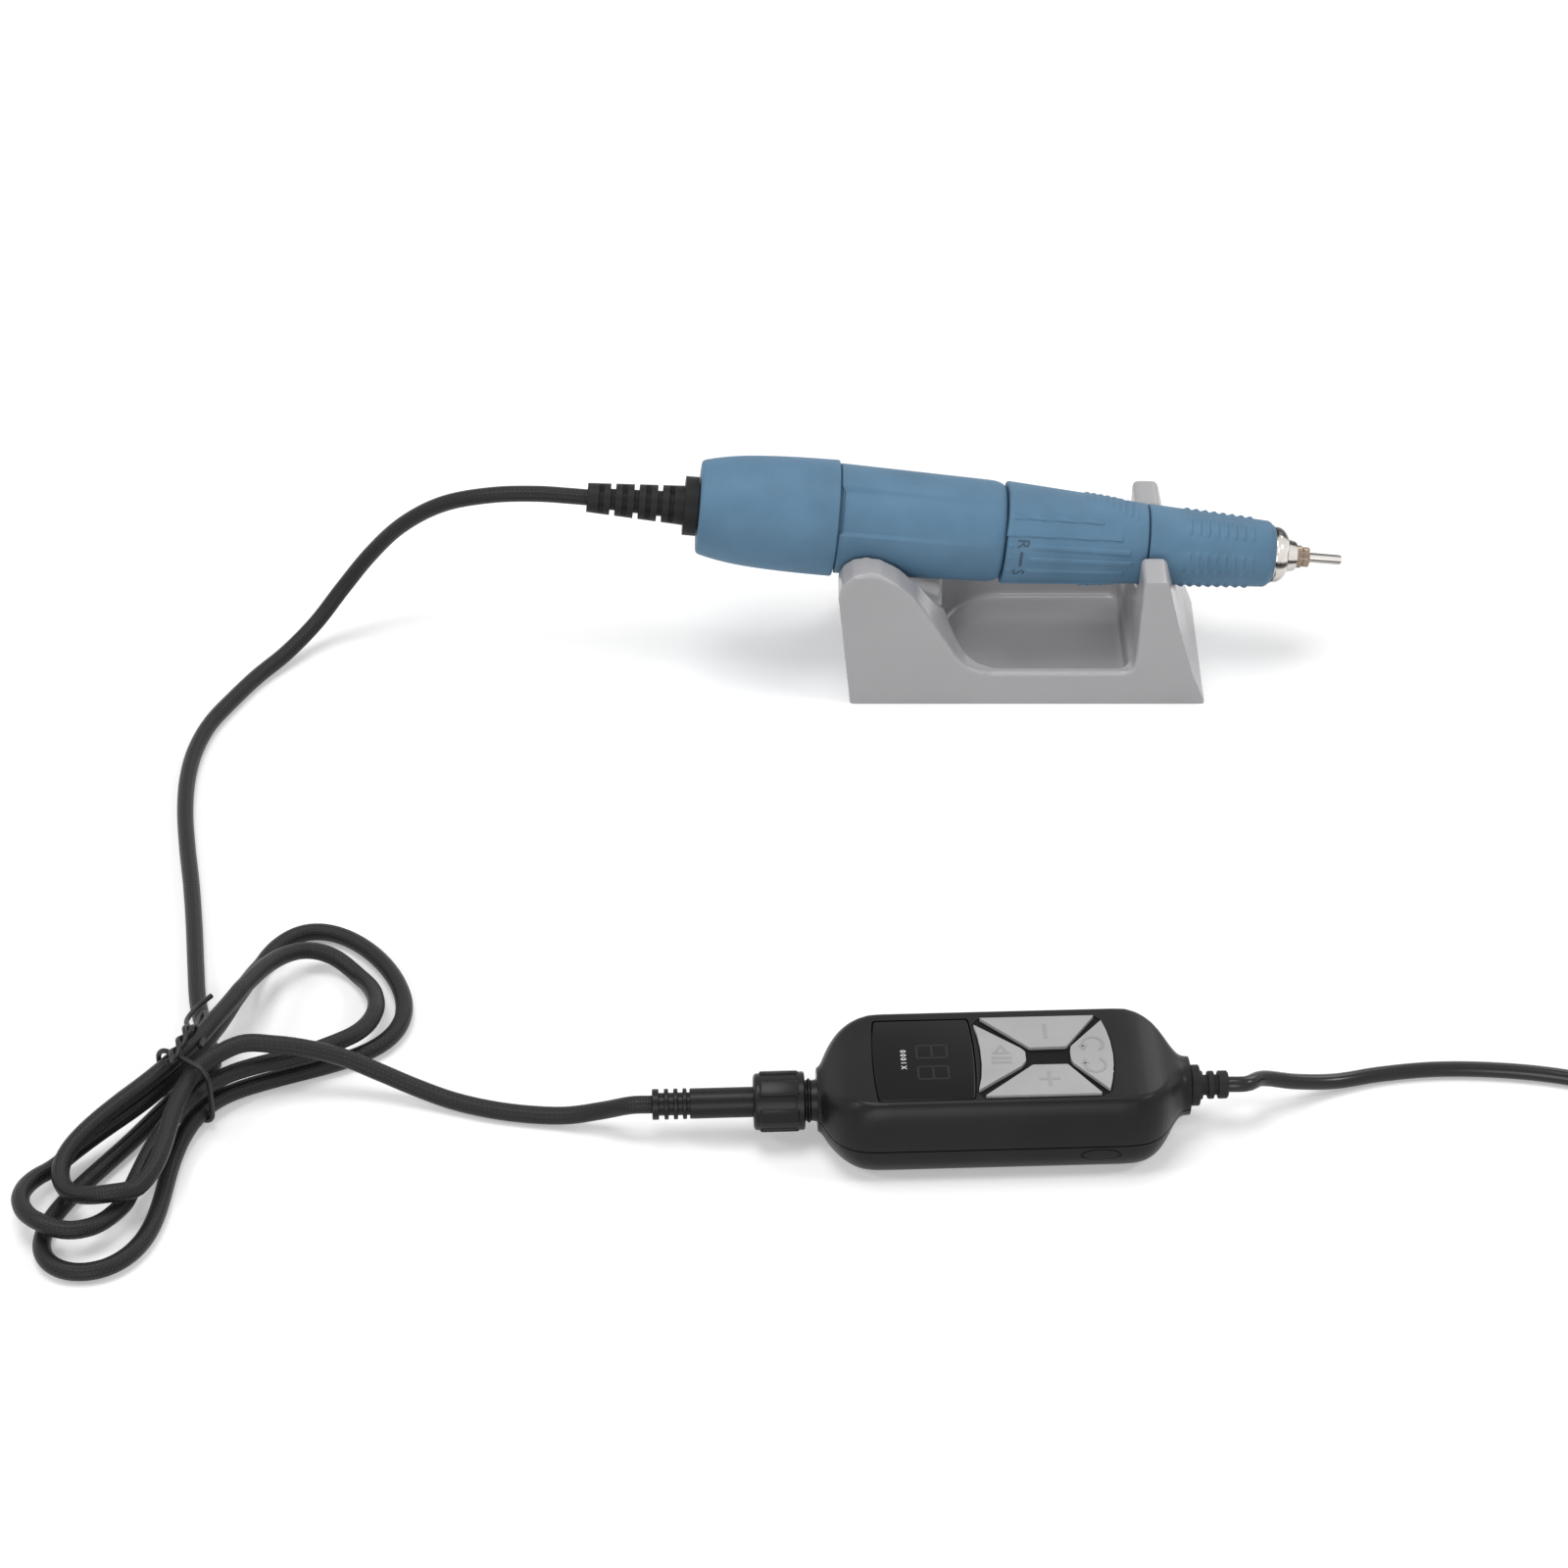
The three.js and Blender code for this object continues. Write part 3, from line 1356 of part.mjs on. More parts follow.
// Bores through both ends of the case for the socket and the supply relief
function endBores() {
  const half = bodyLength / 2;
  const depth = half - cavityLength / 2;
  const left = rod(-half - cutOver, depth + cutOver * 2, socketRadius + fitGap, innerSides);
  const right = rod(half - depth - cutOver, depth + cutOver * 2, supplyStubRadius + fitGap, innerSides);
  return [left.translate(0, 0, socketHeight), right.translate(0, 0, supplyHeight)];
}

function keyCap(outline) {
  const cap = prism(polygon(outline), flangeTop - fitGap, bodyHeight + keyProud);
  const flange = prism(polygon(grown(outline, keyFlange + fitGap)), flangeLow, flangeTop);
  return join(cap, flange);
}

function keyMiddle(outline) {
  const sum = outline.reduce(([x, y], [u, v]) => [x + u, y + v], [0, 0]);
  return sum.map((value) => value / outline.length);
}

function keyMembrane() {
  const sheet = prism(
    roundedRectangle(keyClusterLength, keyClusterWidth, windowRound), membraneLow, membraneLow + membraneThickness, 2);
  sheet.translate(keyClusterX, 0, 0);
  const domes = Object.values(keyOutlines()).map((outline) => {
    const [x, y] = keyMiddle(outline);
    return upright(domeRadius, membraneLow + membraneThickness / 2, domeTop, x, y, 8);
  });
  return join(sheet, ...domes);
}

function caseScrew(x, y) {
  const shank = upright(screwShank, screwRecess + screwHeadHeight / 2, screwRecess + screwHeadHeight + screwLength, x, y, 8);
  const head = upright(screwHead, screwRecess, screwRecess + screwHeadHeight, x, y);
  const drive = screwHead / 2.5;
  const slots = [[screwHead, drive / 2], [drive / 2, screwHead]].map(([long, thin]) => block(
    [x - long / 1.6, y - thin / 1.6, screwRecess - cutOver],
    [x + long / 1.6, y + thin / 1.6, screwRecess + screwHeadHeight / 2]));
  return cut(join(shank, head), ...slots);
}

function socketBarrel() {
  const face = -bodyLength / 2;
  const start = face - socketProud;
  const lockAt = -cavityLength / 2 + fitGap;
  const pitch = (socketProud - fitGap) / socketThreads;
  const profile = [[start, socketBoreRadius]];
  for (let i = 0; i < socketThreads; i += 1) {
    profile.push([start + pitch * i, socketRadius - socketThreadDepth]);
    profile.push([start + pitch * (i + 0.5), socketRadius]);
  }
  profile.push([face, socketRadius - socketThreadDepth / 2], [lockAt, socketRadius - socketThreadDepth / 2]);
  profile.push([lockAt, socketLockRadius], [lockAt + socketLockLength, socketLockRadius]);
  profile.push([lockAt + socketLockLength, socketBoreRadius], [start, socketBoreRadius]);
  return turned(profile, innerSides).translate(0, 0, socketHeight);
}

function contactTurn(i) {
  return (i * 2 * Math.PI) / contactCount + Math.PI / 2;
}

const insertStart = -bodyLength / 2 - insertReach;

function socketInsert() {
  const plate = rod(insertStart, insertLength, insertRadius, innerSides);
  const pins = [];
  for (let i = 0; i < contactCount; i += 1) {
    const pin = rod(insertStart - contactProud, contactProud + insertLength / 2, contactRadius, 6);
    pins.push(pin.translate(0, contactCircle * Math.cos(contactTurn(i)), contactCircle * Math.sin(contactTurn(i))));
  }
  return join(plate, ...pins).translate(0, 0, socketHeight);
}

// Nut, sleeve and relief lie in a row left of the case face
const nutEnd = -bodyLength / 2 - nutAt;
const nutStart = nutEnd - nutLength;
const flangeStart = nutStart + nutRearWall + fitGap;
const sleeveNoseEnd = flangeStart + sleeveFlangeLength + sleeveNoseLength;
const sleeveStart = nutStart - sleeveLength;
const reliefStart = sleeveStart - reliefLength;

function couplingNut() {
  const edge = nutPadDepth * 2;
  const shell = turned([
    [nutStart, sleeveRadius + fitGap * 1.4],
    [nutStart, nutRadius - edge * 1.6],
    [nutStart + edge, nutRadius - edge / 2],
    [nutStart + edge * 2, nutRadius],
    [nutEnd, nutRadius],
    [nutEnd, nutBoreRadius],
    [nutStart + nutRearWall, nutBoreRadius],
    [nutStart + nutRearWall, sleeveRadius + fitGap * 1.4],
    [nutStart, sleeveRadius + fitGap * 1.4],
  ], innerSides + 8);
  const pads = [];
  for (let i = 0; i < nutPads; i += 1) {
    const pad = block(
      [nutStart + nutLength * 0.22, -nutPadWidth / 2, nutRadius - nutPadDepth * 2],
      [nutEnd - fitGap, nutPadWidth / 2, nutRadius + nutPadDepth],
    );
    pads.push(pad.rotateX((i * 2 * Math.PI) / nutPads));
  }
  return join(shell, ...pads).translate(0, 0, socketHeight);
}

function ribs(start, length, count, ribRadius, coreRadius) {
  const pitch = length / count;
  const profile = [];
  const ribShare = 0.45;
  for (let i = 0; i < count; i += 1) {
    const widen = i === 0 ? 1.4 : 1;
    profile.push([start + pitch * i, ribRadius], [start + pitch * (i + ribShare * widen), ribRadius]);
    profile.push([start + pitch * (i + ribShare * widen), coreRadius], [start + pitch * (i + 1), coreRadius]);
  }
  return profile;
}

function connectorSleeve() {
  const profile = [[reliefStart, 0], ...ribs(reliefStart, reliefLength, reliefRibs, reliefRibRadius, reliefCoreRadius)];
  profile.push([sleeveStart, sleeveRadius], [flangeStart, sleeveRadius], [flangeStart, sleeveFlangeRadius]);
  profile.push([flangeStart + sleeveFlangeLength, sleeveFlangeRadius]);
  profile.push([flangeStart + sleeveFlangeLength, sleeveNoseRadius], [sleeveNoseEnd, sleeveNoseRadius]);
  profile.push([sleeveNoseEnd, sleeveNoseBore], [flangeStart, sleeveNoseBore], [flangeStart, 0]);
  return turned(profile, innerSides).translate(0, 0, socketHeight);
}

function connectorInsert() {
  const start = flangeStart + fitGap;
  const plate = rod(start, sleeveNoseEnd - start - fitGap, sleeveNoseBore - fitGap, smallSides);
  const holes = [];
  for (let i = 0; i < contactCount; i += 1) {
    const hole = rod(start + fitGap, sleeveNoseLength + cutOver, contactRadius + fitGap, 6);
    holes.push(hole.translate(0, contactCircle * Math.cos(contactTurn(i)), contactCircle * Math.sin(contactTurn(i))));
  }
  return cut(plate, ...holes).translate(0, 0, socketHeight);
}

function supplyRelief() {
  const half = bodyLength / 2;
  const lockAt = cavityLength / 2 - fitGap;
  const flangeAt = half + fitGap;
  const ribStart = flangeAt + supplyFlangeLength;
  const ribRun = supplyLength - supplyFlangeLength;
  const ribPitch = ribRun / 3;
  const profile = [
    [lockAt - socketLockLength, 0], [lockAt - socketLockLength, supplyFlangeRadius],
    [lockAt, supplyFlangeRadius], [lockAt, supplyStubRadius], [flangeAt, supplyStubRadius],
    [flangeAt, supplyFlangeRadius], [ribStart, supplyFlangeRadius], [ribStart, supplyCoreRadius],
    [ribStart + ribPitch * 0.5, supplyCoreRadius], [ribStart + ribPitch * 0.5, supplyRibRadius],
    [ribStart + ribPitch, supplyRibRadius], [ribStart + ribPitch, supplyCoreRadius],
    [ribStart + ribPitch * 1.9, supplyCoreRadius], [ribStart + ribPitch * 1.9, supplyRibRadius],
    [ribStart + ribRun, supplyRibRadius], [ribStart + ribRun, 0],
  ];
  return turned(profile, innerSides).translate(0, 0, supplyHeight);
}

function buildController() {
  add(controller, 'controller_top_shell', topShell(), 'blackMoulded');
  add(controller, 'controller_bottom_shell', bottomShell(), 'blackMoulded');
  const glassTop = bodyHeight - fitGap / 6;
  const glass = prism(windowShape(0), glassTop - windowThickness, glassTop).translate(windowX, 0, 0);
  add(controller, 'display_window', glass, 'blackGloss');
  const module = block(
    [windowX - displayLength / 2, -displayWidth / 2, boardTop + fitGap],
    [windowX + displayLength / 2, displayWidth / 2, cavityTop - fitGap],
  );
  add(controller, 'display_module', module, 'blackMoulded');
  for (const [name, outline] of Object.entries(keyOutlines())) {
    add(controller, `${name}_key`, keyCap(outline), 'keyGrey');
  }
  add(controller, 'key_membrane', keyMembrane(), 'silicone');
  const board = prism(roundedRectangle(boardLength, boardWidth, windowRound), boardLow, boardTop, 2);
  add(controller, 'circuit_board', board, 'board');
  caseScrewPlaces().forEach(([x, y], i) => add(controller, `case_screw_${i + 1}`, caseScrew(x, y), 'steel'));
  add(controller, 'socket_barrel', socketBarrel(), 'blackMoulded');
  add(controller, 'socket_insert', socketInsert(), 'blackMoulded');
  add(controller, 'coupling_nut', couplingNut(), 'blackMoulded');
  add(controller, 'connector_sleeve', connectorSleeve(), 'blackMoulded');
  add(controller, 'connector_insert', connectorInsert(), 'blackMoulded');
  add(controller, 'supply_relief', supplyRelief(), 'blackMoulded');
}

buildController();

// Middle line of the hank, bent at its waist
function hankSpine(along) {
  const [from, to] = [radians(leftHeadingDegrees) - Math.PI, radians(rightHeadingDegrees)];
  const heading = (at) => from + (to - from) * (0.5 + 0.5 * Math.tanh(at / spineBend));
  const parts = 40;
  const step = along / parts;
  const point = new THREE.Vector2(waistX, waistY);
  for (let i = 0; i < parts; i += 1) {
    const turn = heading(step * (i + 0.5));
    point.add(new THREE.Vector2(step * Math.cos(turn), step * Math.sin(turn)));
  }
  const turn = heading(along);
  return { point, heading: turn, normal: new THREE.Vector2(-Math.sin(turn), Math.cos(turn)) };
}

// Loops run down one side of the waist, round the left lobe, back and round the right lobe
function hankPlan() {
  const half = (handCord + waistGap) / 2;
  const points = [];
  hankLobes.forEach((lobe, k) => {
    const sign = k % 2 === 0 ? -1 : 1;
    const last = k === hankLobes.length - 1 ? fineSteps : fineSteps - 1;
    for (let i = 0; i <= last; i += 1) {
      const turn = (Math.PI * i) / fineSteps;
      const swell = Math.sin(turn) ** 2;
      const { point, normal } = hankSpine(sign * lobe.reach * Math.sin(turn));
      const shift = lobe.skew * swell + lobe.tip * Math.sin(turn) * swell ** 2;
      const offset = -sign * Math.cos(turn) * (half + lobe.bulge * swell) + shift;
      points.push(point.clone().addScaledVector(normal, offset));
    }
  });
  return points;
}

// Each strand lies on the floor or rides over the strands laid before it, in long low humps
function settled(plan, earlier, diameter) {
  const pitch = diameter + layerGap;
  const all = [...earlier, ...plan.map((point) => new THREE.Vector3(point.x, point.y, 0))];
  const fixed = earlier.length;
  const run = [0];
  for (let i = 1; i < all.length; i += 1) {
    run.push(run[i - 1] + Math.hypot(all[i].x - all[i - 1].x, all[i].y - all[i - 1].y));
  }
  const apart = (a, b) => Math.hypot(a.x - b.x, a.y - b.y);
  const waist = new THREE.Vector2(waistX, waistY);
  const heights = all.map((point, i) => {
    const share = apart(point, waist) / waistLiftReach;
    return i < fixed ? point.z : diameter / 2 + fitGap + waistLift * Math.exp(-(share ** 2));
  });
  for (let pass = 0; pass < 4; pass += 1) {
    for (let i = fixed; i < all.length; i += 1) {
      for (let j = 0; j < i; j += 1) {
        const gap = apart(all[i], all[j]);
        if (gap < pitch && run[i] - run[j] > pitch * 2.5) {
          heights[i] = Math.max(heights[i], heights[j] + Math.sqrt(pitch ** 2 - gap ** 2));
        }
      }
    }
    const needed = [...heights];
    for (let i = fixed; i < all.length; i += 1) {
      for (let j = fixed; j < all.length; j += 1) {
        const away = Math.abs(run[i] - run[j]);
        const hump = (away * away * slopeLimit) / (away + pitch);
        heights[i] = Math.max(heights[i], needed[j] - hump);
      }
    }
  }
  return all.slice(fixed).map((point, i) => point.setZ(heights[fixed + i]));
}

function straightEnd(point, direction, length) {
  return point.clone().addScaledVector(direction, length);
}

const vector = ([x, y, z]) => new THREE.Vector3(x, y, z);

function buildHandCord() {
  const plan = hankPlan();
  const entryWay = plan[0].clone().sub(plan[1]).normalize();
  const entry = new THREE.Vector3(entryWay.x, entryWay.y, 0);
  const boot = new THREE.Vector3(-bootLength - fitGap, 0, 0).applyMatrix4(handpiece.matrix);
  const backwards = new THREE.Vector3(-1, 0, 0).transformDirection(handpiece.matrix);
  const hankStart = new THREE.Vector3(plan[0].x, plan[0].y, handCord / 2 + fitGap + waistLift);
  const rear = [boot, straightEnd(boot, backwards, handCord), ...rearRoute.map(vector)];
  rear.push(straightEnd(hankStart, entry, handCord * 2.4), straightEnd(hankStart, entry, handCord + fitGap));
  const rearFine = finePoints(rear, rearSteps, 8);

  const laid = settled(plan, rearFine.slice(-Math.round(rearFine.length / 3)), handCord);
  laid[0].z = hankStart.z;
  const exit = laid[laid.length - 1].clone().sub(laid[laid.length - 2]).normalize();
  const last = straightEnd(laid[laid.length - 1], exit, handCord);
  const hank = [straightEnd(laid[0], entry, handCord), ...laid, last];
  const steps = loopSteps * hankLobes.length;
  add(group, 'hand_cord_rear', tube(rear, handCord, rearSteps, handCordSides), 'braid');
  add(group, 'hand_cord_hank', tube(hank, handCord, steps, loopSides), 'braid');

  const leave = new THREE.Vector3(-1, 0, 0).transformDirection(controller.matrix);
  const meet = new THREE.Vector3(reliefStart - fitGap, 0, socketHeight).applyMatrix4(controller.matrix);
  const front = [straightEnd(last, exit, fitGap), straightEnd(last, exit, handCord), ...frontRoute.map(vector)];
  front.push(straightEnd(meet, leave, handCord), meet);
  add(group, 'hand_cord_front', tube(front, handCord, frontSteps, handCordSides), 'braid');

  const hankFine = finePoints(hank, steps, 6);
  const frontFine = finePoints(front, frontSteps, 8);
  const total = pathLength(rearFine) + pathLength(hankFine) + pathLength(frontFine);
  console.log('hank: least gap to itself', gapToItself(hankFine, handCord).toFixed(2), 'mm');
  console.log('hank to rear stretch', gapBetween(hankFine, rearFine, handCord, hank[0]).toFixed(2), 'mm');
  console.log('hank to front stretch', gapBetween(hankFine, frontFine, handCord, last).toFixed(2), 'mm');
  console.log('hand cord length', total.toFixed(0), 'mm, hank', pathLength(hankFine).toFixed(0), 'mm');
  return laid;
}

// Twist tie round the bundle at the waist
function buildTie(laid) {
  const waist = laid.filter((point, i) => i % fineSteps === 0);
  const round = handCord / 2 + tieWire + fitGap;
  const low = Math.min(...waist.map((point) => point.z)) - round;
  const high = Math.max(...waist.map((point) => point.z)) + round;
  const half = (handCord + waistGap) / 2 + round;
  const { normal } = hankSpine(0);
  const across = new THREE.Vector3(normal.x, normal.y, 0);
  const middle = new THREE.Vector3(waistX, waistY, (low + high) / 2);
  const corner = handCord / 2;
  const rise = (high - low) / 2;
  const places = [];
  for (const [side, top] of [[1, 1], [-1, 1], [-1, -1], [1, -1]]) {
    for (let i = 0; i <= 3; i += 1) {
      const quarter = { '1,1': 0, '-1,1': 1, '-1,-1': 2, '1,-1': 3 }[`${side},${top}`];
      const turn = (Math.PI / 2) * (quarter + i / 3);
      places.push([
        side * (half - corner) + corner * Math.cos(turn),
        top * (rise - corner) + corner * Math.sin(turn),
      ]);
    }
  }
  const ring = new THREE.Shape(places.map(([u, v]) => new THREE.Vector2(u, v)));
  const inset = (1 - tieWire / rise);
  const hole = new THREE.Path(places.map(([u, v]) => new THREE.Vector2(u * (1 - tieWire / half), v * inset)));
  ring.holes.push(hole);
  const band = new THREE.ExtrudeGeometry(ring, { depth: tieWire, bevelEnabled: false }).translate(0, 0, -tieWire / 2);
  const forward = new THREE.Vector3(normal.y, -normal.x, 0);
  const basis = new THREE.Matrix4().makeBasis(across, new THREE.Vector3(0, 0, 1), forward.clone().negate());
  band.applyMatrix4(basis).translate(middle.x, middle.y, middle.z);
  const knot = straightEnd(middle, across, half - tieWire / 4).setZ(high - tieWire);
  const tails = [[0.6, 1], [-0.7, 0.45]].map(([side, lift]) => {
    const points = [0, 0.35, 0.7, 1].map((share) => knot.clone()
      .addScaledVector(across, tieTail * share * 0.55)
      .addScaledVector(forward, tieTail * share * side)
      .setZ(knot.z + tieTail * lift * 0.35 * Math.sin(share * Math.PI * 0.8)));
    return tube(points, tieWire, 5, 6);
  });
  add(group, 'cord_tie', join(band, ...tails), 'blackMoulded');
}

buildTie(buildHandCord());

// Supply coil: layers spiral in and out again and climb where the spiral reverses
function coilPoints() {
  const pitch = supplyLead + coilGap;
  const reach = (coilTurnsInLayer * pitch) / 2;
  const perLayer = coilTurnsInLayer * loopSteps;
  const points = [];
  for (let i = 0; i <= perLayer * coilLayers; i += 1) {
    const layer = Math.min(Math.floor(i / perLayer), coilLayers - 1);
    const share = i / perLayer - layer;
    const inwards = layer % 2 === 0 ? share : 1 - share;
    const radius = coilMiddleRadius + reach - 2 * reach * inwards;
    const half = 0.25 / coilTurnsInLayer;
    const edge = Math.round(i / perLayer);
    const near = i / perLayer - edge;
    const climbing = edge > 0 && edge < coilLayers && Math.abs(near) < half;
    const level = climbing ? edge - 0.5 + near / (2 * half) : layer;
    const turn = radians(coilStartDegrees) + (2 * Math.PI * i) / loopSteps;
    points.push(new THREE.Vector3(
      coilX + radius * Math.cos(turn),
      coilY + radius * Math.sin(turn),
      supplyLead / 2 + fitGap + level * pitch,
    ));
  }
  return points;
}

function buildSupplyLead() {
  const wound = coilPoints();
  const first = wound[0].clone().sub(wound[1]).normalize();
  const final = wound[wound.length - 1].clone().sub(wound[wound.length - 2]).normalize();
  const last = straightEnd(wound[wound.length - 1], final, supplyLead);
  const coil = [straightEnd(wound[0], first, supplyLead), ...wound, last];
  const steps = coil.length - 1;
  add(group, 'supply_coil', tube(coil, supplyLead, steps, loopSides), 'lead');

  const outwards = new THREE.Vector3(1, 0, 0).transformDirection(controller.matrix);
  const relief = new THREE.Vector3(bodyLength / 2 + supplyLength + fitGap * 2, 0, supplyHeight);
  relief.applyMatrix4(controller.matrix);
  const free = [relief, straightEnd(relief, outwards, supplyLead), ...supplyRoute.map(vector)];
  free.push(straightEnd(coil[0], first, supplyLead), straightEnd(coil[0], first, fitGap));
  add(group, 'supply_lead', tube(free, supplyLead, frontSteps, handCordSides), 'lead');

  const plugWay = new THREE.Vector3(-1, 0, 0);
  const plugEnd = new THREE.Vector3(plugX, plugY, plugGripRadius + fitGap);
  const tail = [straightEnd(last, final, fitGap), straightEnd(last, final, supplyLead), ...tailRoute.map(vector)];
  tail.push(straightEnd(plugEnd, plugWay, -supplyLead), plugEnd);
  add(group, 'supply_tail', tube(tail, supplyLead, tailSteps, handCordSides), 'lead');

  const coilFine = finePoints(coil, steps, 3);
  const freeFine = finePoints(free, frontSteps, 8);
  const tailFine = finePoints(tail, tailSteps, 8);
  const total = pathLength(coilFine) + pathLength(freeFine) + pathLength(tailFine);
  console.log('coil: least gap to itself', gapToItself(coilFine, supplyLead).toFixed(2), 'mm');
  console.log('coil to free lead', gapBetween(coilFine, freeFine, supplyLead, coil[0]).toFixed(2), 'mm');
  console.log('coil to tail', gapBetween(coilFine, tailFine, supplyLead, last).toFixed(2), 'mm');
  console.log('supply lead length', total.toFixed(0), 'mm, coil', pathLength(coilFine).toFixed(0), 'mm');

  const start = fitGap;
  const gripEnd = start + plugGripLength;
  const grip = turned([
    [start, 0],
    [start, supplyRibRadius],
    [start + plugTaperLength, plugGripRadius * 0.8],
    [start + plugTaperLength + fitGap, plugGripRadius],
    [gripEnd - fitGap, plugGripRadius],
    [gripEnd, plugGripRadius - fitGap],
    [gripEnd, 0],
  ], innerSides);
  const barrel = turned([
    [gripEnd + fitGap, 0],
    [gripEnd + fitGap, plugBarrelRadius],
    [gripEnd + plugBarrelLength - fitGap, plugBarrelRadius],
    [gripEnd + plugBarrelLength, plugBarrelRadius - fitGap],
    [gripEnd + plugBarrelLength, plugBarrelBore],
    [gripEnd + fitGap * 4, plugBarrelBore],
    [gripEnd + fitGap * 4, 0],
  ], innerSides);
  for (const [name, geometry, finish] of [['plug_grip', grip, 'blackMoulded'], ['plug_barrel', barrel, 'steel']]) {
    const mesh = add(group, name, geometry, finish);
    mesh.position.copy(plugEnd);
    mesh.rotation.z = Math.PI;
  }
}

buildSupplyLead();

export default group;
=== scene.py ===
import math

import bpy
from mathutils import Matrix, Vector


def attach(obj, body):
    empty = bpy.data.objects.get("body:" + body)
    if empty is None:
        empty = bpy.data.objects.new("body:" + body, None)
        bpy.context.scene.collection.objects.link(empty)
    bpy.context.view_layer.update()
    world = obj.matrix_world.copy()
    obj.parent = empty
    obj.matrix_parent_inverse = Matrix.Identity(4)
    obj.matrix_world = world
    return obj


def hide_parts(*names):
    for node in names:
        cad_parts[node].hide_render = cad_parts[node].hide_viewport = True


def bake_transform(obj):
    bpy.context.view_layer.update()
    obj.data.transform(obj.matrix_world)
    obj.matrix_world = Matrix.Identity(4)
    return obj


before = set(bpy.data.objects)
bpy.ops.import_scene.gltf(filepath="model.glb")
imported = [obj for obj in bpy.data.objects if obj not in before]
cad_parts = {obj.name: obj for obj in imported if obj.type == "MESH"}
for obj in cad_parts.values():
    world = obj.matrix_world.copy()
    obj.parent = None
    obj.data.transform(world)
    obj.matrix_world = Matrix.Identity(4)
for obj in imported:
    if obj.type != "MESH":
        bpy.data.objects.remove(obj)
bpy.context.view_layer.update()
print("frame loaded:", len(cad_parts), "nodes")

mm = 0.001
handpieceStand = {"place": (-77.6, 84.25, 42.9), "lean": 5.75}      # rear end of its axis, degrees
controllerStand = {"place": (-10.5, -87.75, 0), "turn": 2.2}

# Camera, floor and light
studio = {
    "cameraPlace": (-0.0571, -0.75755, 0.6195),
    "cameraTilt": 51.85,          # degrees from looking straight down
    "lens": 97.4,
    "floorSize": 6.0,
    "floorColour": 0.80,
    "floorGlow": 0.30,            # seen by the camera only
    "skyLevel": 0.30,
    # place, size and power of each lamp
    "lamps": {
        "keyLamp": ((-0.25, 0.02, 1.35), 0.7, 8.0),
        "frontLamp": ((-0.15, -1.30, 0.42), 0.8, 5.2),
        "rightLamp": ((0.9, -0.2, 0.9), 0.28, 2.8),
        "leftLamp": ((-0.9, -0.3, 0.8), 0.28, 2.0),
        "backLamp": ((0.70, 1.00, 0.95), 0.8, 4.0),
    },
}


def deselectAll():
    if bpy.context.object and bpy.context.object.mode != "OBJECT":
        bpy.ops.object.mode_set(mode="OBJECT")
    bpy.ops.object.select_all(action="DESELECT")


def makeCamera():
    deselectAll()
    tilt = (math.radians(studio["cameraTilt"]), 0, 0)
    bpy.ops.object.camera_add(location=studio["cameraPlace"], rotation=tilt)
    camera = bpy.context.object
    camera.name = "studioCamera"
    camera.data.lens = studio["lens"]
    camera.data.sensor_width = 36
    camera.data.clip_start = 0.01
    camera.data.clip_end = 20
    bpy.context.scene.camera = camera


def makeLamp(name, place, size, power):
    deselectAll()
    bpy.ops.object.light_add(type="AREA", location=place)
    lamp = bpy.context.object
    lamp.name = name
    lamp.data.shape = "DISK"
    lamp.data.size = size
    lamp.data.energy = power
    aim = Vector((-0.05, 0, 0)) - Vector(place)
    lamp.rotation_euler = aim.to_track_quat("-Z", "Y").to_euler()


def makeFloor():
    deselectAll()
    bpy.ops.mesh.primitive_plane_add(size=studio["floorSize"], location=(0, 0, 0))
    floor = bpy.context.object
    floor.name = "studioFloor"
    material = bpy.data.materials.new("floorWhite")
    material.use_nodes = True
    nodes, links = material.node_tree.nodes, material.node_tree.links
    nodes.clear()
    output = nodes.new("ShaderNodeOutputMaterial")
    matt = nodes.new("ShaderNodeBsdfDiffuse")
    level = studio["floorColour"]
    matt.inputs["Color"].default_value = (level, level, level, 1)
    glow = nodes.new("ShaderNodeEmission")
    glow.inputs["Strength"].default_value = studio["floorGlow"]
    both = nodes.new("ShaderNodeAddShader")
    links.new(matt.outputs[0], both.inputs[0])
    links.new(glow.outputs[0], both.inputs[1])
    seen = nodes.new("ShaderNodeLightPath")
    direct = nodes.new("ShaderNodeMath")
    direct.operation = "MAXIMUM"
    links.new(seen.outputs["Is Camera Ray"], direct.inputs[0])
    links.new(seen.outputs["Is Glossy Ray"], direct.inputs[1])
    choose = nodes.new("ShaderNodeMixShader")
    links.new(direct.outputs[0], choose.inputs[0])
    links.new(matt.outputs[0], choose.inputs[1])
    links.new(both.outputs[0], choose.inputs[2])
    links.new(choose.outputs[0], output.inputs[0])
    floor.data.materials.append(material)


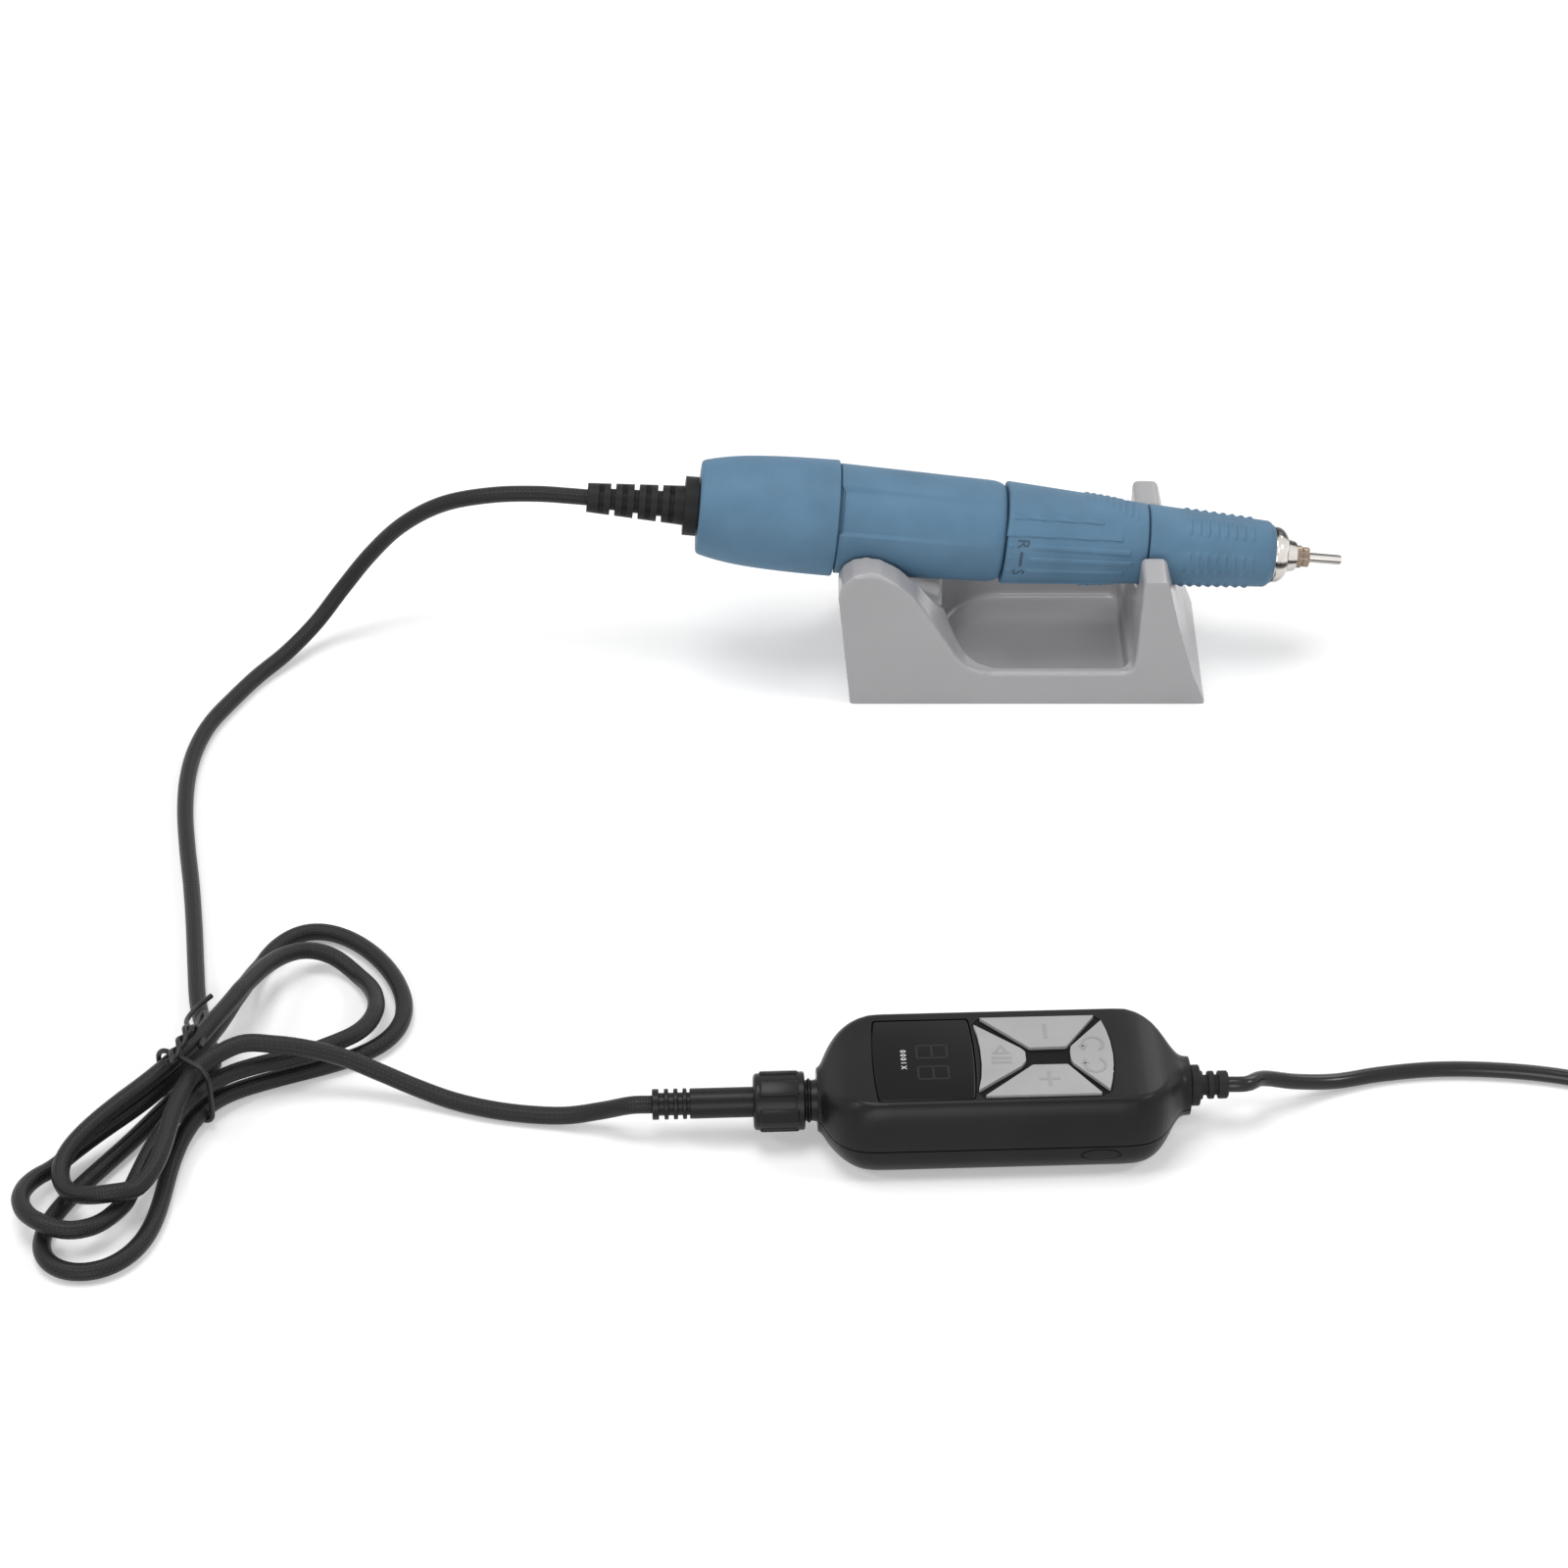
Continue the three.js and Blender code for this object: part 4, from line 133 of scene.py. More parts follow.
def makeSky():
    world = bpy.data.worlds.new("studioSky")
    bpy.context.scene.world = world
    world.use_nodes = True
    nodes, links = world.node_tree.nodes, world.node_tree.links
    nodes.clear()
    output = nodes.new("ShaderNodeOutputWorld")
    lighting = nodes.new("ShaderNodeBackground")
    lighting.inputs["Color"].default_value = (1, 1, 1, 1)
    lighting.inputs["Strength"].default_value = studio["skyLevel"]
    white = nodes.new("ShaderNodeBackground")
    white.inputs["Color"].default_value = (1, 1, 1, 1)
    white.inputs["Strength"].default_value = 1
    seen = nodes.new("ShaderNodeLightPath")
    direct = nodes.new("ShaderNodeMath")
    direct.operation = "MAXIMUM"
    links.new(seen.outputs["Is Camera Ray"], direct.inputs[0])
    links.new(seen.outputs["Is Transmission Ray"], direct.inputs[1])
    either = nodes.new("ShaderNodeMath")
    either.operation = "MAXIMUM"
    links.new(direct.outputs[0], either.inputs[0])
    links.new(seen.outputs["Is Glossy Ray"], either.inputs[1])
    choose = nodes.new("ShaderNodeMixShader")
    links.new(either.outputs[0], choose.inputs[0])
    links.new(lighting.outputs[0], choose.inputs[1])
    links.new(white.outputs[0], choose.inputs[2])
    links.new(choose.outputs[0], output.inputs[0])


bpy.context.scene.view_settings.view_transform = "Standard"
makeCamera()
makeFloor()
makeSky()
for lampName, lampValues in studio["lamps"].items():
    makeLamp(lampName, *lampValues)
print("studio ready")

# Materials
finishes = {
    # name: colour, metal, roughness, grain size in metres, grain depth in metres, colour change
    "gripBlue": ((0.093, 0.190, 0.290), 0, 0.56, 0.00028, 0.000012, 0.10),
    "mouldedBlack": ((0.0075, 0.0071, 0.0078), 0, 0.33, 0.00030, 0.000010, 0.20),
    "rubberBlack": ((0.010, 0.010, 0.011), 0, 0.55, 0.00045, 0.000015, 0.20),
    "cradleGrey": ((0.395, 0.386, 0.396), 0, 0.24, 0.0009, 0.0000008, 0.04),
    "keyGrey": ((0.365, 0.36, 0.36), 0, 0.46, 0.00025, 0.000006, 0.05),
    "signGrey": ((0.305, 0.30, 0.30), 0, 0.46, 0.00025, 0.000004, 0.05),
    "chrome": ((0.80, 0.785, 0.765), 1, 0.10, 0.0006, 0.000002, 0.05),
    "steel": ((0.42, 0.42, 0.43), 1, 0.26, 0.0003, 0.000004, 0.12),
    "pinSteel": ((0.80, 0.79, 0.78), 1, 0.20, 0.0003, 0.000001, 0.05),
    "bronze": ((0.27, 0.21, 0.165), 1, 0.24, 0.0004, 0.000004, 0.15),
    "copper": ((0.48, 0.18, 0.07), 1, 0.35, 0.0005, 0.000010, 0.18),
    "magnet": ((0.045, 0.047, 0.052), 0, 0.6, 0.0006, 0.000012, 0.2),
    "carbon": ((0.02, 0.02, 0.022), 0, 0.7, 0.0003, 0.000010, 0.2),
    "boardGreen": ((0.012, 0.10, 0.035), 0, 0.42, 0.0012, 0.000008, 0.25),
    "silicone": ((0.60, 0.60, 0.57), 0, 0.6, 0.0008, 0.000008, 0.05),
    "leadBlack": ((0.008, 0.008, 0.009), 0, 0.22, 0.0012, 0.000012, 0.2),
    "wireBlack": ((0.010, 0.010, 0.011), 0, 0.38, 0.0008, 0.000015, 0.2),
    # painted shade: darker black of the plate in the key pocket
    "paintedShadeBlack": ((0.0035, 0.0033, 0.0036), 0, 0.5, 0.0003, 0.000004, 0.2),
    "windowBlack": ((0.006, 0.006, 0.007), 0, 0.06, 0.0100, 0.000004, 0.2),
    "printBlue": ((0.028, 0.055, 0.095), 0, 0.5, 0.0004, 0.000004, 0.1),
    "printGrey": ((0.026, 0.020, 0.020), 0, 0.3, 0.0004, 0.000001, 0.1),
    "markWhite": ((0.78, 0.78, 0.78), 0, 0.5, 0.0004, 0.000001, 0.04),
}
# specular level of the darkest and the glossiest finishes
shine = {
    "mouldedBlack": 0.19,
    "rubberBlack": 0.2,
    "windowBlack": 0.14,
    "paintedShadeBlack": 0.1,
    "printGrey": 0.14,
    "wireBlack": 0.3,
    "leadBlack": 0.35,
    "gripBlue": 0.3,
}
# painted reflection bands round the handpiece axis, multiplied into the colour of chrome and pin steel: share
# of the turn from straight up over the near side, grey level
paintedReflections = {
    "chrome": [(0, 0.05), (0.03, 0.07), (0.05, 0.85), (0.12, 1), (0.19, 0.9), (0.207, 0.06), (0.228, 0.08),
               (0.245, 0.75), (0.32, 0.62), (0.40, 0.35), (0.52, 0.12), (0.60, 0.85),
               (0.69, 0.8), (0.72, 0.1), (0.80, 0.7), (0.90, 0.06)],
    "pinSteel": [(0, 0.12), (0.05, 0.20), (0.08, 1), (0.17, 1), (0.22, 0.25), (0.26, 0.18), (0.30, 0.85),
                 (0.34, 0.2), (0.42, 0.16), (0.55, 0.8), (0.64, 0.75), (0.70, 0.2), (0.80, 0.55),
                 (0.90, 0.12)],
}
made = {}


# painted reflection: grey levels laid round the handpiece axis by object position
def paintedReflectionTone(nodes, links, name, place):
    axis = nodes.new("ShaderNodeMapping")
    axis.vector_type = "TEXTURE"
    axis.inputs["Location"].default_value = [value * mm for value in handpieceStand["place"]]
    axis.inputs["Rotation"].default_value = (0, math.radians(90 + handpieceStand["lean"]), 0)
    links.new(place.outputs["Object"], axis.inputs["Vector"])
    around = nodes.new("ShaderNodeTexGradient")
    around.gradient_type = "RADIAL"
    links.new(axis.outputs["Vector"], around.inputs["Vector"])
    ramp = nodes.new("ShaderNodeValToRGB")
    marks = ramp.color_ramp.elements
    while len(marks) < len(paintedReflections[name]):
        marks.new(0.5)
    for mark, (share, level) in zip(marks, paintedReflections[name]):
        mark.position = share
        mark.color = (level, level * 0.97, level * 0.94, 1)
    links.new(around.outputs["Fac"], ramp.inputs["Fac"])
    return ramp.outputs["Color"]


def finishMaterial(name):
    if name in made:
        return made[name]
    colour, metal, rough, grain, depth, change = finishes[name]
    material = bpy.data.materials.new(name)
    material.use_nodes = True
    nodes, links = material.node_tree.nodes, material.node_tree.links
    shader = nodes["Principled BSDF"]
    shader.inputs["Metallic"].default_value = metal
    shader.inputs["Specular IOR Level"].default_value = shine.get(name, 0.5)
    place = nodes.new("ShaderNodeTexCoord")
    blotch = nodes.new("ShaderNodeTexNoise")
    blotch.inputs["Scale"].default_value = 1 / (grain * 40)
    blotch.inputs["Detail"].default_value = 4
    links.new(place.outputs["Object"], blotch.inputs["Vector"])
    tone = nodes.new("ShaderNodeValToRGB")
    low = tuple(value * (1 - change) for value in colour)
    high = tuple(min(value * (1 + change), 1) for value in colour)
    tone.color_ramp.elements[0].position = 0.3
    tone.color_ramp.elements[0].color = (*low, 1)
    tone.color_ramp.elements[1].position = 0.7
    tone.color_ramp.elements[1].color = (*high, 1)
    links.new(blotch.outputs["Fac"], tone.inputs["Fac"])
    baseTone = tone.outputs["Color"]
    # chrome and pin steel get the painted reflection bands multiplied into their colour
    if name in paintedReflections:
        both = nodes.new("ShaderNodeVectorMath")
        both.operation = "MULTIPLY"
        links.new(baseTone, both.inputs[0])
        links.new(paintedReflectionTone(nodes, links, name, place), both.inputs[1])
        baseTone = both.outputs[0]
    links.new(baseTone, shader.inputs["Base Color"])
    fine = nodes.new("ShaderNodeTexNoise")
    fine.inputs["Scale"].default_value = 1 / grain
    fine.inputs["Detail"].default_value = 3
    links.new(place.outputs["Object"], fine.inputs["Vector"])
    sheen = nodes.new("ShaderNodeMapRange")
    sheen.inputs["To Min"].default_value = rough * 0.88
    sheen.inputs["To Max"].default_value = min(rough * 1.12, 1)
    links.new(fine.outputs["Fac"], sheen.inputs["Value"])
    links.new(sheen.outputs["Result"], shader.inputs["Roughness"])
    bump = nodes.new("ShaderNodeBump")
    bump.inputs["Strength"].default_value = 0.6
    bump.inputs["Distance"].default_value = depth
    links.new(fine.outputs["Fac"], bump.inputs["Height"])
    links.new(bump.outputs["Normal"], shader.inputs["Normal"])
    made[name] = material
    return material


# Braided sleeve of the hand cord: two sets of strands crossing; the UV map is in metres. Its colour is darker
# in the low gaps between strands: painted shade
braid = {
    "strandsRound": 11,
    "strandPitch": 0.0062,        # along the cord for one turn of a strand
    "depth": 0.00018,
    # tone of the low gaps (painted shade between strands), then of the strand crests
    "dark": (0.0035, 0.0035, 0.004),
    "light": (0.021, 0.021, 0.023),
    "rough": 0.36,
    "shine": 0.22,
}


def braidMaterial():
    if "braidBlack" in made:
        return made["braidBlack"]
    material = bpy.data.materials.new("braidBlack")
    material.use_nodes = True
    nodes, links = material.node_tree.nodes, material.node_tree.links
    shader = nodes["Principled BSDF"]
    shader.inputs["Roughness"].default_value = braid["rough"]
    shader.inputs["Specular IOR Level"].default_value = braid["shine"]
    cordMap = nodes.new("ShaderNodeUVMap")
    cordMap.uv_map = "cordMap"
    parts = nodes.new("ShaderNodeSeparateXYZ")
    links.new(cordMap.outputs[0], parts.inputs[0])

    def maths(operation, first, second):
        node = nodes.new("ShaderNodeMath")
        node.operation = operation
        for socket, value in zip(node.inputs, (first, second)):
            if isinstance(value, (int, float)):
                socket.default_value = value
            else:
                links.new(value, socket)
        return node.outputs[0]

    perTurn = 2 * math.pi * braid["strandsRound"]
    along = maths("MULTIPLY", parts.outputs["X"], perTurn / braid["strandPitch"] / 2)
    around = maths("MULTIPLY", parts.outputs["Y"], perTurn)
    oneWay = maths("SINE", maths("ADD", along, around), 0)
    otherWay = maths("SINE", maths("SUBTRACT", along, around), 0)
    crossing = maths("MULTIPLY", oneWay, otherWay)
    twill = maths("ADD", maths("MULTIPLY", crossing, 0.5), maths("MULTIPLY", oneWay, 0.14))
    height = maths("ADD", maths("MULTIPLY", twill, 0.5), 0.5)
    # painted shade: the colour follows the strand height, darker in the gaps
    tone = nodes.new("ShaderNodeValToRGB")
    tone.color_ramp.elements[0].position = 0.25
    tone.color_ramp.elements[0].color = (*braid["dark"], 1)
    tone.color_ramp.elements[1].position = 0.85
    tone.color_ramp.elements[1].color = (*braid["light"], 1)
    links.new(height, tone.inputs["Fac"])
    links.new(tone.outputs["Color"], shader.inputs["Base Color"])
    bump = nodes.new("ShaderNodeBump")
    bump.inputs["Strength"].default_value = 0.8
    bump.inputs["Distance"].default_value = braid["depth"]
    links.new(height, bump.inputs["Height"])
    links.new(bump.outputs["Normal"], shader.inputs["Normal"])
    made["braidBlack"] = material
    return material


def paint(piece, name):
    piece.data.materials.clear()
    piece.data.materials.append(braidMaterial() if name == "braidBlack" else finishMaterial(name))


# Cords
hank = {
    "cord": 3.9,
    "waist": (-184.2, -82.0),
    "waistGap": 1.1,
    "layerGap": 1.1,
    "waistLift": 1.6,
    "waistLiftReach": 12,
    "spineBend": 17.4,
    "leftHeading": 255.3,
    "rightHeading": 33.6,
    "slopeLimit": 0.32,
    "steps": 48,
    "relaxRounds": 24,
    # reach, bulge, skew and tip of each lobe, in millimetres
    "lobes": [
        (55.8, 27.6, -1.3, 4.2),
        (54.7, 62.1, 24.9, -16),
        (49.8, 27.6, 26, -23.1),
        (48.9, 44.7, 10.6, 0.2),
        (39.4, 25.9, 5.8, -2.6),
    ],
}
routes = {
    "rear": [
        (-116, 84.25, 46.6), (-127, 84.8, 45.9), (-139, 86.8, 42), (-149.5, 89.6, 34),
        (-158, 91.4, 24), (-165.4, 90.4, 14.4), (-172, 86, 7.2), (-178.8, 78.8, 3.4),
        (-185.2, 70.6, 2.3), (-190.2, 61.5, 2.2), (-194.8, 51.5, 2.2), (-197.2, 41, 2.2),
        (-197.8, 30, 2.2), (-197, 18, 2.2), (-195, 4.5, 2.2), (-192.6, -9, 2.2),
        (-190.3, -24, 2.2), (-188.4, -38, 2.2), (-186.6, -50, 2.2), (-183.6, -61.5, 2.4),
    ],
    "front": [
        (-173.4, -77.6, 14.6), (-166.5, -76.9, 13.9), (-159.5, -76.6, 12.4), (-152, -76.6, 9.9),
        (-144, -77.8, 6.6), (-136, -79.8, 3.9), (-128.5, -82.2, 2.5), (-120.2, -84.7, 2.2),
        (-111.7, -86.3, 2.2), (-103.6, -87.4, 2.9), (-96, -88.6, 5.4),
    ],
    "supply": [
        (45, -82.4, 9), (53, -79.4, 5.4), (62, -76.2, 2.6), (72, -73.2, 1.9), (84, -71.6, 1.9),
        (97, -71.8, 1.9), (110, -73.6, 1.9), (122, -77, 1.9), (134, -80.4, 1.9),
    ],
    "tail": [(163, -85, 12.8), (170.1, -91.5, 8.6), (171.1, -100.5, 4.6), (166, -108, 3.4)],
}
coil = {
    "cord": 3.45,
    "middle": (153, -58),
    "radius": 18.8,
    "turnsInLayer": 2.25,
    "layers": 4,
    "gap": 0.6,
    "start": 262,
    "steps": 24,
    "plug": (157, -110.5, 4.9),
}
fitGap = 0.3
# where the cords meet the boot, the connector and the supply relief, in the frames of those pieces
cordEnds = {
    "boot": (-26.8 - fitGap, 0, 0),
    "connector": (-74.9, 0, 9),
    "relief": (48.6, 0, 10.5),
}
cordSunk = {"boot": 1, "connector": 0.3, "relief": 0.6, "plug": 0.6}      # how far each end reaches in


def standing(place, degrees, axis):
    # a matrix from a place in millimetres and one turn
    turn = Matrix.Rotation(math.radians(degrees), 4, axis)
    return Matrix.Translation([value * mm for value in place]) @ turn


handpiecePlace = standing(handpieceStand["place"], handpieceStand["lean"], "Y")
controllerPlace = standing(controllerStand["place"], controllerStand["turn"], "Z")


def spinePlace(along):
    start = math.radians(hank["leftHeading"]) - math.pi
    end = math.radians(hank["rightHeading"])

    def heading(at):
        return start + (end - start) * (0.5 + 0.5 * math.tanh(at / hank["spineBend"]))

    x, y = hank["waist"]
    parts = 40
    step = along / parts
    for i in range(parts):
        turn = heading(step * (i + 0.5))
        x += step * math.cos(turn)
        y += step * math.sin(turn)
    turn = heading(along)
    return (x, y), (-math.sin(turn), math.cos(turn))


def hankPlan():
    half = (hank["cord"] + hank["waistGap"]) / 2
    steps = hank["steps"]
    places = []
    for k, (reach, bulge, skew, tip) in enumerate(hank["lobes"]):
        sign = -1 if k % 2 == 0 else 1
        count = steps + 1 if k == len(hank["lobes"]) - 1 else steps
        for i in range(count):
            turn = math.pi * i / steps
            swell = math.sin(turn) ** 2
            (x, y), (nx, ny) = spinePlace(sign * reach * math.sin(turn))
            shift = skew * swell + tip * math.sin(turn) * swell ** 2
            offset = -sign * math.cos(turn) * (half + bulge * swell) + shift
            places.append((x + nx * offset, y + ny * offset))
    return places


def evenSteps(part, steps):
    # the same line with its places at even distances, without its last place
    run = [0.0]
    for here, there in zip(part, part[1:]):
        run.append(run[-1] + math.dist(here, there))
    places, k = [], 0
    for i in range(steps):
        at = run[-1] * i / steps
        while k < len(run) - 2 and run[k + 1] < at:
            k += 1
        share = (at - run[k]) / max(run[k + 1] - run[k], 1e-9)
        places.append(tuple(a + (b - a) * share for a, b in zip(part[k], part[k + 1])))
    return places


def relaxed(plan, rounds):
    # takes the sharp corners out of the line and keeps both ends
    for _ in range(rounds):
        middle = [tuple((a + b) / 4 + c / 2 for a, b, c in zip(before, after, here))
                  for before, here, after in zip(plan, plan[1:], plan[2:])]
        plan = [plan[0], *middle, plan[-1]]
    return plan


def softenedHank():
    # the loops are relaxed, then each one is drawn out again to its reach
    steps = hank["steps"]
    plan = hankPlan()
    lobes = [evenSteps(plan[k * steps:(k + 1) * steps + 1], steps) for k in range(len(hank["lobes"]))]
    even = [place for lobe in lobes for place in lobe] + [plan[-1]]
    soft = relaxed(even, hank["relaxRounds"])
    x, y = hank["waist"]
    for k in range(len(hank["lobes"])):
        span = range(k * steps, (k + 1) * steps)
        share = max(math.dist(even[i], (x, y)) for i in span) / max(math.dist(soft[i], (x, y)) for i in span)
        for i in span:
            grow = 1 + (share - 1) * math.sin(math.pi * (i - k * steps) / steps) ** 2
            soft[i] = (x + (soft[i][0] - x) * grow, y + (soft[i][1] - y) * grow)
    return relaxed(soft, 3)


def settle(plan, earlier):
    # each strand lies on the floor or rides over the strands laid before it
    pitch = hank["cord"] + hank["layerGap"]
    spots = [(p[0], p[1]) for p in earlier] + list(plan)
    fixed = len(earlier)
    run = [0.0]
    for a, b in zip(spots, spots[1:]):
        run.append(run[-1] + math.dist(a, b))
    heights = []
    for i, spot in enumerate(spots):
        share = math.dist(spot, hank["waist"]) / hank["waistLiftReach"]
        low = hank["cord"] / 2 + fitGap + hank["waistLift"] * math.exp(-share ** 2)
        heights.append(earlier[i][2] if i < fixed else low)
    pairs = []
    for i in range(fixed, len(spots)):
        for j in range(i):
            gap = math.dist(spots[i], spots[j])
            if gap < pitch and run[i] - run[j] > pitch * 2.5:
                pairs.append((i, j, math.sqrt(pitch ** 2 - gap ** 2)))
    for _ in range(4):
        for i, j, rise in pairs:
            heights[i] = max(heights[i], heights[j] + rise)
        needed = list(heights)
        for i in range(fixed, len(spots)):
            for j in range(fixed, len(spots)):
                away = abs(run[i] - run[j])
                hump = away * away * hank["slopeLimit"] / (away + pitch)
                if needed[j] - hump > heights[i]:
                    heights[i] = needed[j] - hump
    return [(*spots[i], heights[i]) for i in range(fixed, len(spots))]


def smoothLine(points, spacing):
    # centripetal curve through the points, sampled at even steps
    line = [Vector(p) for p in points]
    line = [2 * line[0] - line[1], *line, 2 * line[-1] - line[-2]]
    dense = []
    for a, b, c, d in zip(line, line[1:], line[2:], line[3:]):
        t1 = math.sqrt((b - a).length)
        t2 = t1 + math.sqrt((c - b).length)
        t3 = t2 + math.sqrt((d - c).length)
        parts = max(4, math.ceil((c - b).length / (spacing / 4)))
        for k in range(parts):
            t = t1 + (t2 - t1) * k / parts
            ab = a.lerp(b, t / t1)
            bc = b.lerp(c, (t - t1) / (t2 - t1))
            cd = c.lerp(d, (t - t2) / (t3 - t2))
            abc = ab.lerp(bc, t / t2)
            bcd = bc.lerp(cd, (t - t1) / (t3 - t1))
            dense.append(abc.lerp(bcd, (t - t1) / (t2 - t1)))
    dense.append(line[-2])
    run = [0.0]
    for a, b in zip(dense, dense[1:]):
        run.append(run[-1] + (b - a).length)
    count = max(2, round(run[-1] / spacing))
    even, k = [], 0
    for i in range(count + 1):
        at = run[-1] * i / count
        while k < len(run) - 2 and run[k + 1] < at:
            k += 1
        even.append(dense[k].lerp(dense[k + 1], (at - run[k]) / max(run[k + 1] - run[k], 1e-9)))
    return even


def lineLength(points):
    return sum((Vector(b) - Vector(a)).length for a, b in zip(points, points[1:]))


def cordTube(name, points, diameter, spacing=1.2):
    # points in millimetres; the mesh and its UV map are in metres
    line = smoothLine(points, spacing)
    deselectAll()
    curve = bpy.data.curves.new(name, "CURVE")
    curve.dimensions = "3D"
    spline = curve.splines.new("POLY")
    spline.points.add(len(line) - 1)
    for point, place in zip(spline.points, line):
        point.co = (*(place * mm), 1)
    curve.bevel_depth = diameter * mm / 2
    curve.bevel_resolution = 4
    curve.use_fill_caps = True
    piece = bpy.data.objects.new(name, curve)
    bpy.context.collection.objects.link(piece)
    piece.select_set(True)
    bpy.context.view_layer.objects.active = piece
    bpy.ops.object.convert(target="MESH")
    piece = bpy.context.object
    length = lineLength(line) * mm
    layer = piece.data.uv_layers[0]
    layer.name = "cordMap"
    for spot in layer.data:
        spot.uv = (spot.uv[0] * length, spot.uv[1])
    bpy.ops.object.shade_smooth()
    path = [tuple(place * mm) for place in line]
    return piece, path, length


def onBody(place, point):
    return place @ (Vector(point) * mm) / mm


def farther(point, direction, length):
    return Vector(point) + Vector(direction) * length


def makeHandCord():
    d = hank["cord"]
    plan = softenedHank()
    entry = (Vector((*plan[0], 0)) - Vector((*plan[1], 0))).normalized()
    bootEnd = onBody(handpiecePlace, cordEnds["boot"])
    backwards = handpiecePlace.to_3x3() @ Vector((-1, 0, 0))
    hankStart = Vector((*plan[0], d / 2 + fitGap + hank["waistLift"]))
    rear = [farther(bootEnd, backwards, -cordSunk["boot"]), farther(bootEnd, backwards, d)]
    rear += map(Vector, routes["rear"])
    rear += [farther(hankStart, entry, d * 2.4), farther(hankStart, entry, d + fitGap)]
    earlier = [tuple(p) for p in smoothLine(rear, 2.0)]
    laid = settle(plan, earlier[-len(earlier) // 3:])
    laid[0] = tuple(hankStart)
    out = controllerPlace.to_3x3() @ Vector((-1, 0, 0))
    meet = onBody(controllerPlace, cordEnds["connector"])
    front = [farther(hankStart, entry, d), *map(Vector, laid), *map(Vector, routes["front"])]
    front += [farther(meet, out, d), farther(meet, out, -cordSunk["connector"])]
    rearPiece, rearPath, rearLength = cordTube("handCordRear", rear, d)
    paint(rearPiece, "braidBlack")
    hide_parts("hand_cord_rear")
    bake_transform(rearPiece)
    piece, path, length = cordTube("handCordHank", front, d)
    paint(piece, "braidBlack")
    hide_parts("hand_cord_hank", "hand_cord_front")
    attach(piece, "base")
    print("hand cord", round(rearLength + length, 3), "m")
    return laid


laidHank = makeHandCord()


def coilLine():
    d = coil["cord"]
    pitch = d + coil["gap"]
    reach = coil["turnsInLayer"] * pitch / 2
    perLayer = coil["turnsInLayer"] * coil["steps"]
    points = []
    for i in range(int(perLayer * coil["layers"]) + 1):
        layer = min(math.floor(i / perLayer), coil["layers"] - 1)
        share = i / perLayer - layer
        inwards = share if layer % 2 == 0 else 1 - share
        radius = coil["radius"] + reach - 2 * reach * inwards
        half = 0.25 / coil["turnsInLayer"]
        edge = math.floor(i / perLayer + 0.5)
        near = i / perLayer - edge
        climbing = 0 < edge < coil["layers"] and abs(near) < half
        level = edge - 0.5 + near / (2 * half) if climbing else layer
        turn = math.radians(coil["start"]) + 2 * math.pi * i / coil["steps"]
        x, y = coil["middle"]
        height = d / 2 + fitGap + level * pitch
        points.append(Vector((x + radius * math.cos(turn), y + radius * math.sin(turn), height)))
    return points


def makeSupplyLead():
    d = coil["cord"]
    wound = coilLine()
    out = controllerPlace.to_3x3() @ Vector((1, 0, 0))
    reliefEnd = onBody(controllerPlace, cordEnds["relief"])
    plugEnd = Vector(coil["plug"])
    line = [farther(reliefEnd, out, -cordSunk["relief"]), farther(reliefEnd, out, d)]
    line += map(Vector, routes["supply"])
    first = (wound[0] - wound[1]).normalized()
    line += [farther(wound[0], first, 2 * d), farther(wound[0], first, d), *wound]
    final = (wound[-1] - wound[-2]).normalized()
    line += [farther(wound[-1], final, d), farther(wound[-1], final, 2 * d), *map(Vector, routes["tail"])]
    line += [farther(plugEnd, (1, 0, 0), d), farther(plugEnd, (1, 0, 0), -cordSunk["plug"])]
    piece, path, length = cordTube("supplyLeadBlack", line, d)
    paint(piece, "leadBlack")
    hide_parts("supply_coil", "supply_lead", "supply_tail")
    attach(piece, "base")
    print("supply lead", round(length, 3), "m")


makeSupplyLead()
print("cords laid")


# Modelling helpers
def activate(piece):
    deselectAll()
    piece.select_set(True)
    bpy.context.view_layer.objects.active = piece


def editAll(piece):
    # edit mode with everything selected
    activate(piece)
    bpy.ops.object.mode_set(mode="EDIT")
    bpy.ops.mesh.select_mode(type="VERT")
    bpy.ops.mesh.select_all(action="SELECT")


def finishEditing():
    bpy.ops.object.mode_set(mode="OBJECT")


def applyModifier(piece, kind, name, **settings):
    activate(piece)
    modifier = piece.modifiers.new(name, kind)
    for key, value in settings.items():
        setattr(modifier, key, value)
    bpy.ops.object.modifier_apply(modifier=name)


def roundEdges(piece, width, steps, angle):
    applyModifier(piece, "BEVEL", "roundEdges", width=width * mm, segments=steps, limit_method="ANGLE",
                  angle_limit=math.radians(angle), harden_normals=False, use_clamp_overlap=True)


def smoothFaces(piece, angle):
    activate(piece)
    bpy.ops.object.shade_smooth_by_angle(angle=math.radians(angle))


def settleMesh(piece, place=None):
    # welds, turns the faces outwards and puts the place into the mesh
    editAll(piece)
    bpy.ops.mesh.remove_doubles(threshold=0.000002)
    bpy.ops.mesh.normals_make_consistent(inside=False)
    finishEditing()
    if place is not None:
        piece.matrix_world = place @ piece.matrix_world
    activate(piece)
    bpy.ops.object.transform_apply(location=True, rotation=True, scale=True)


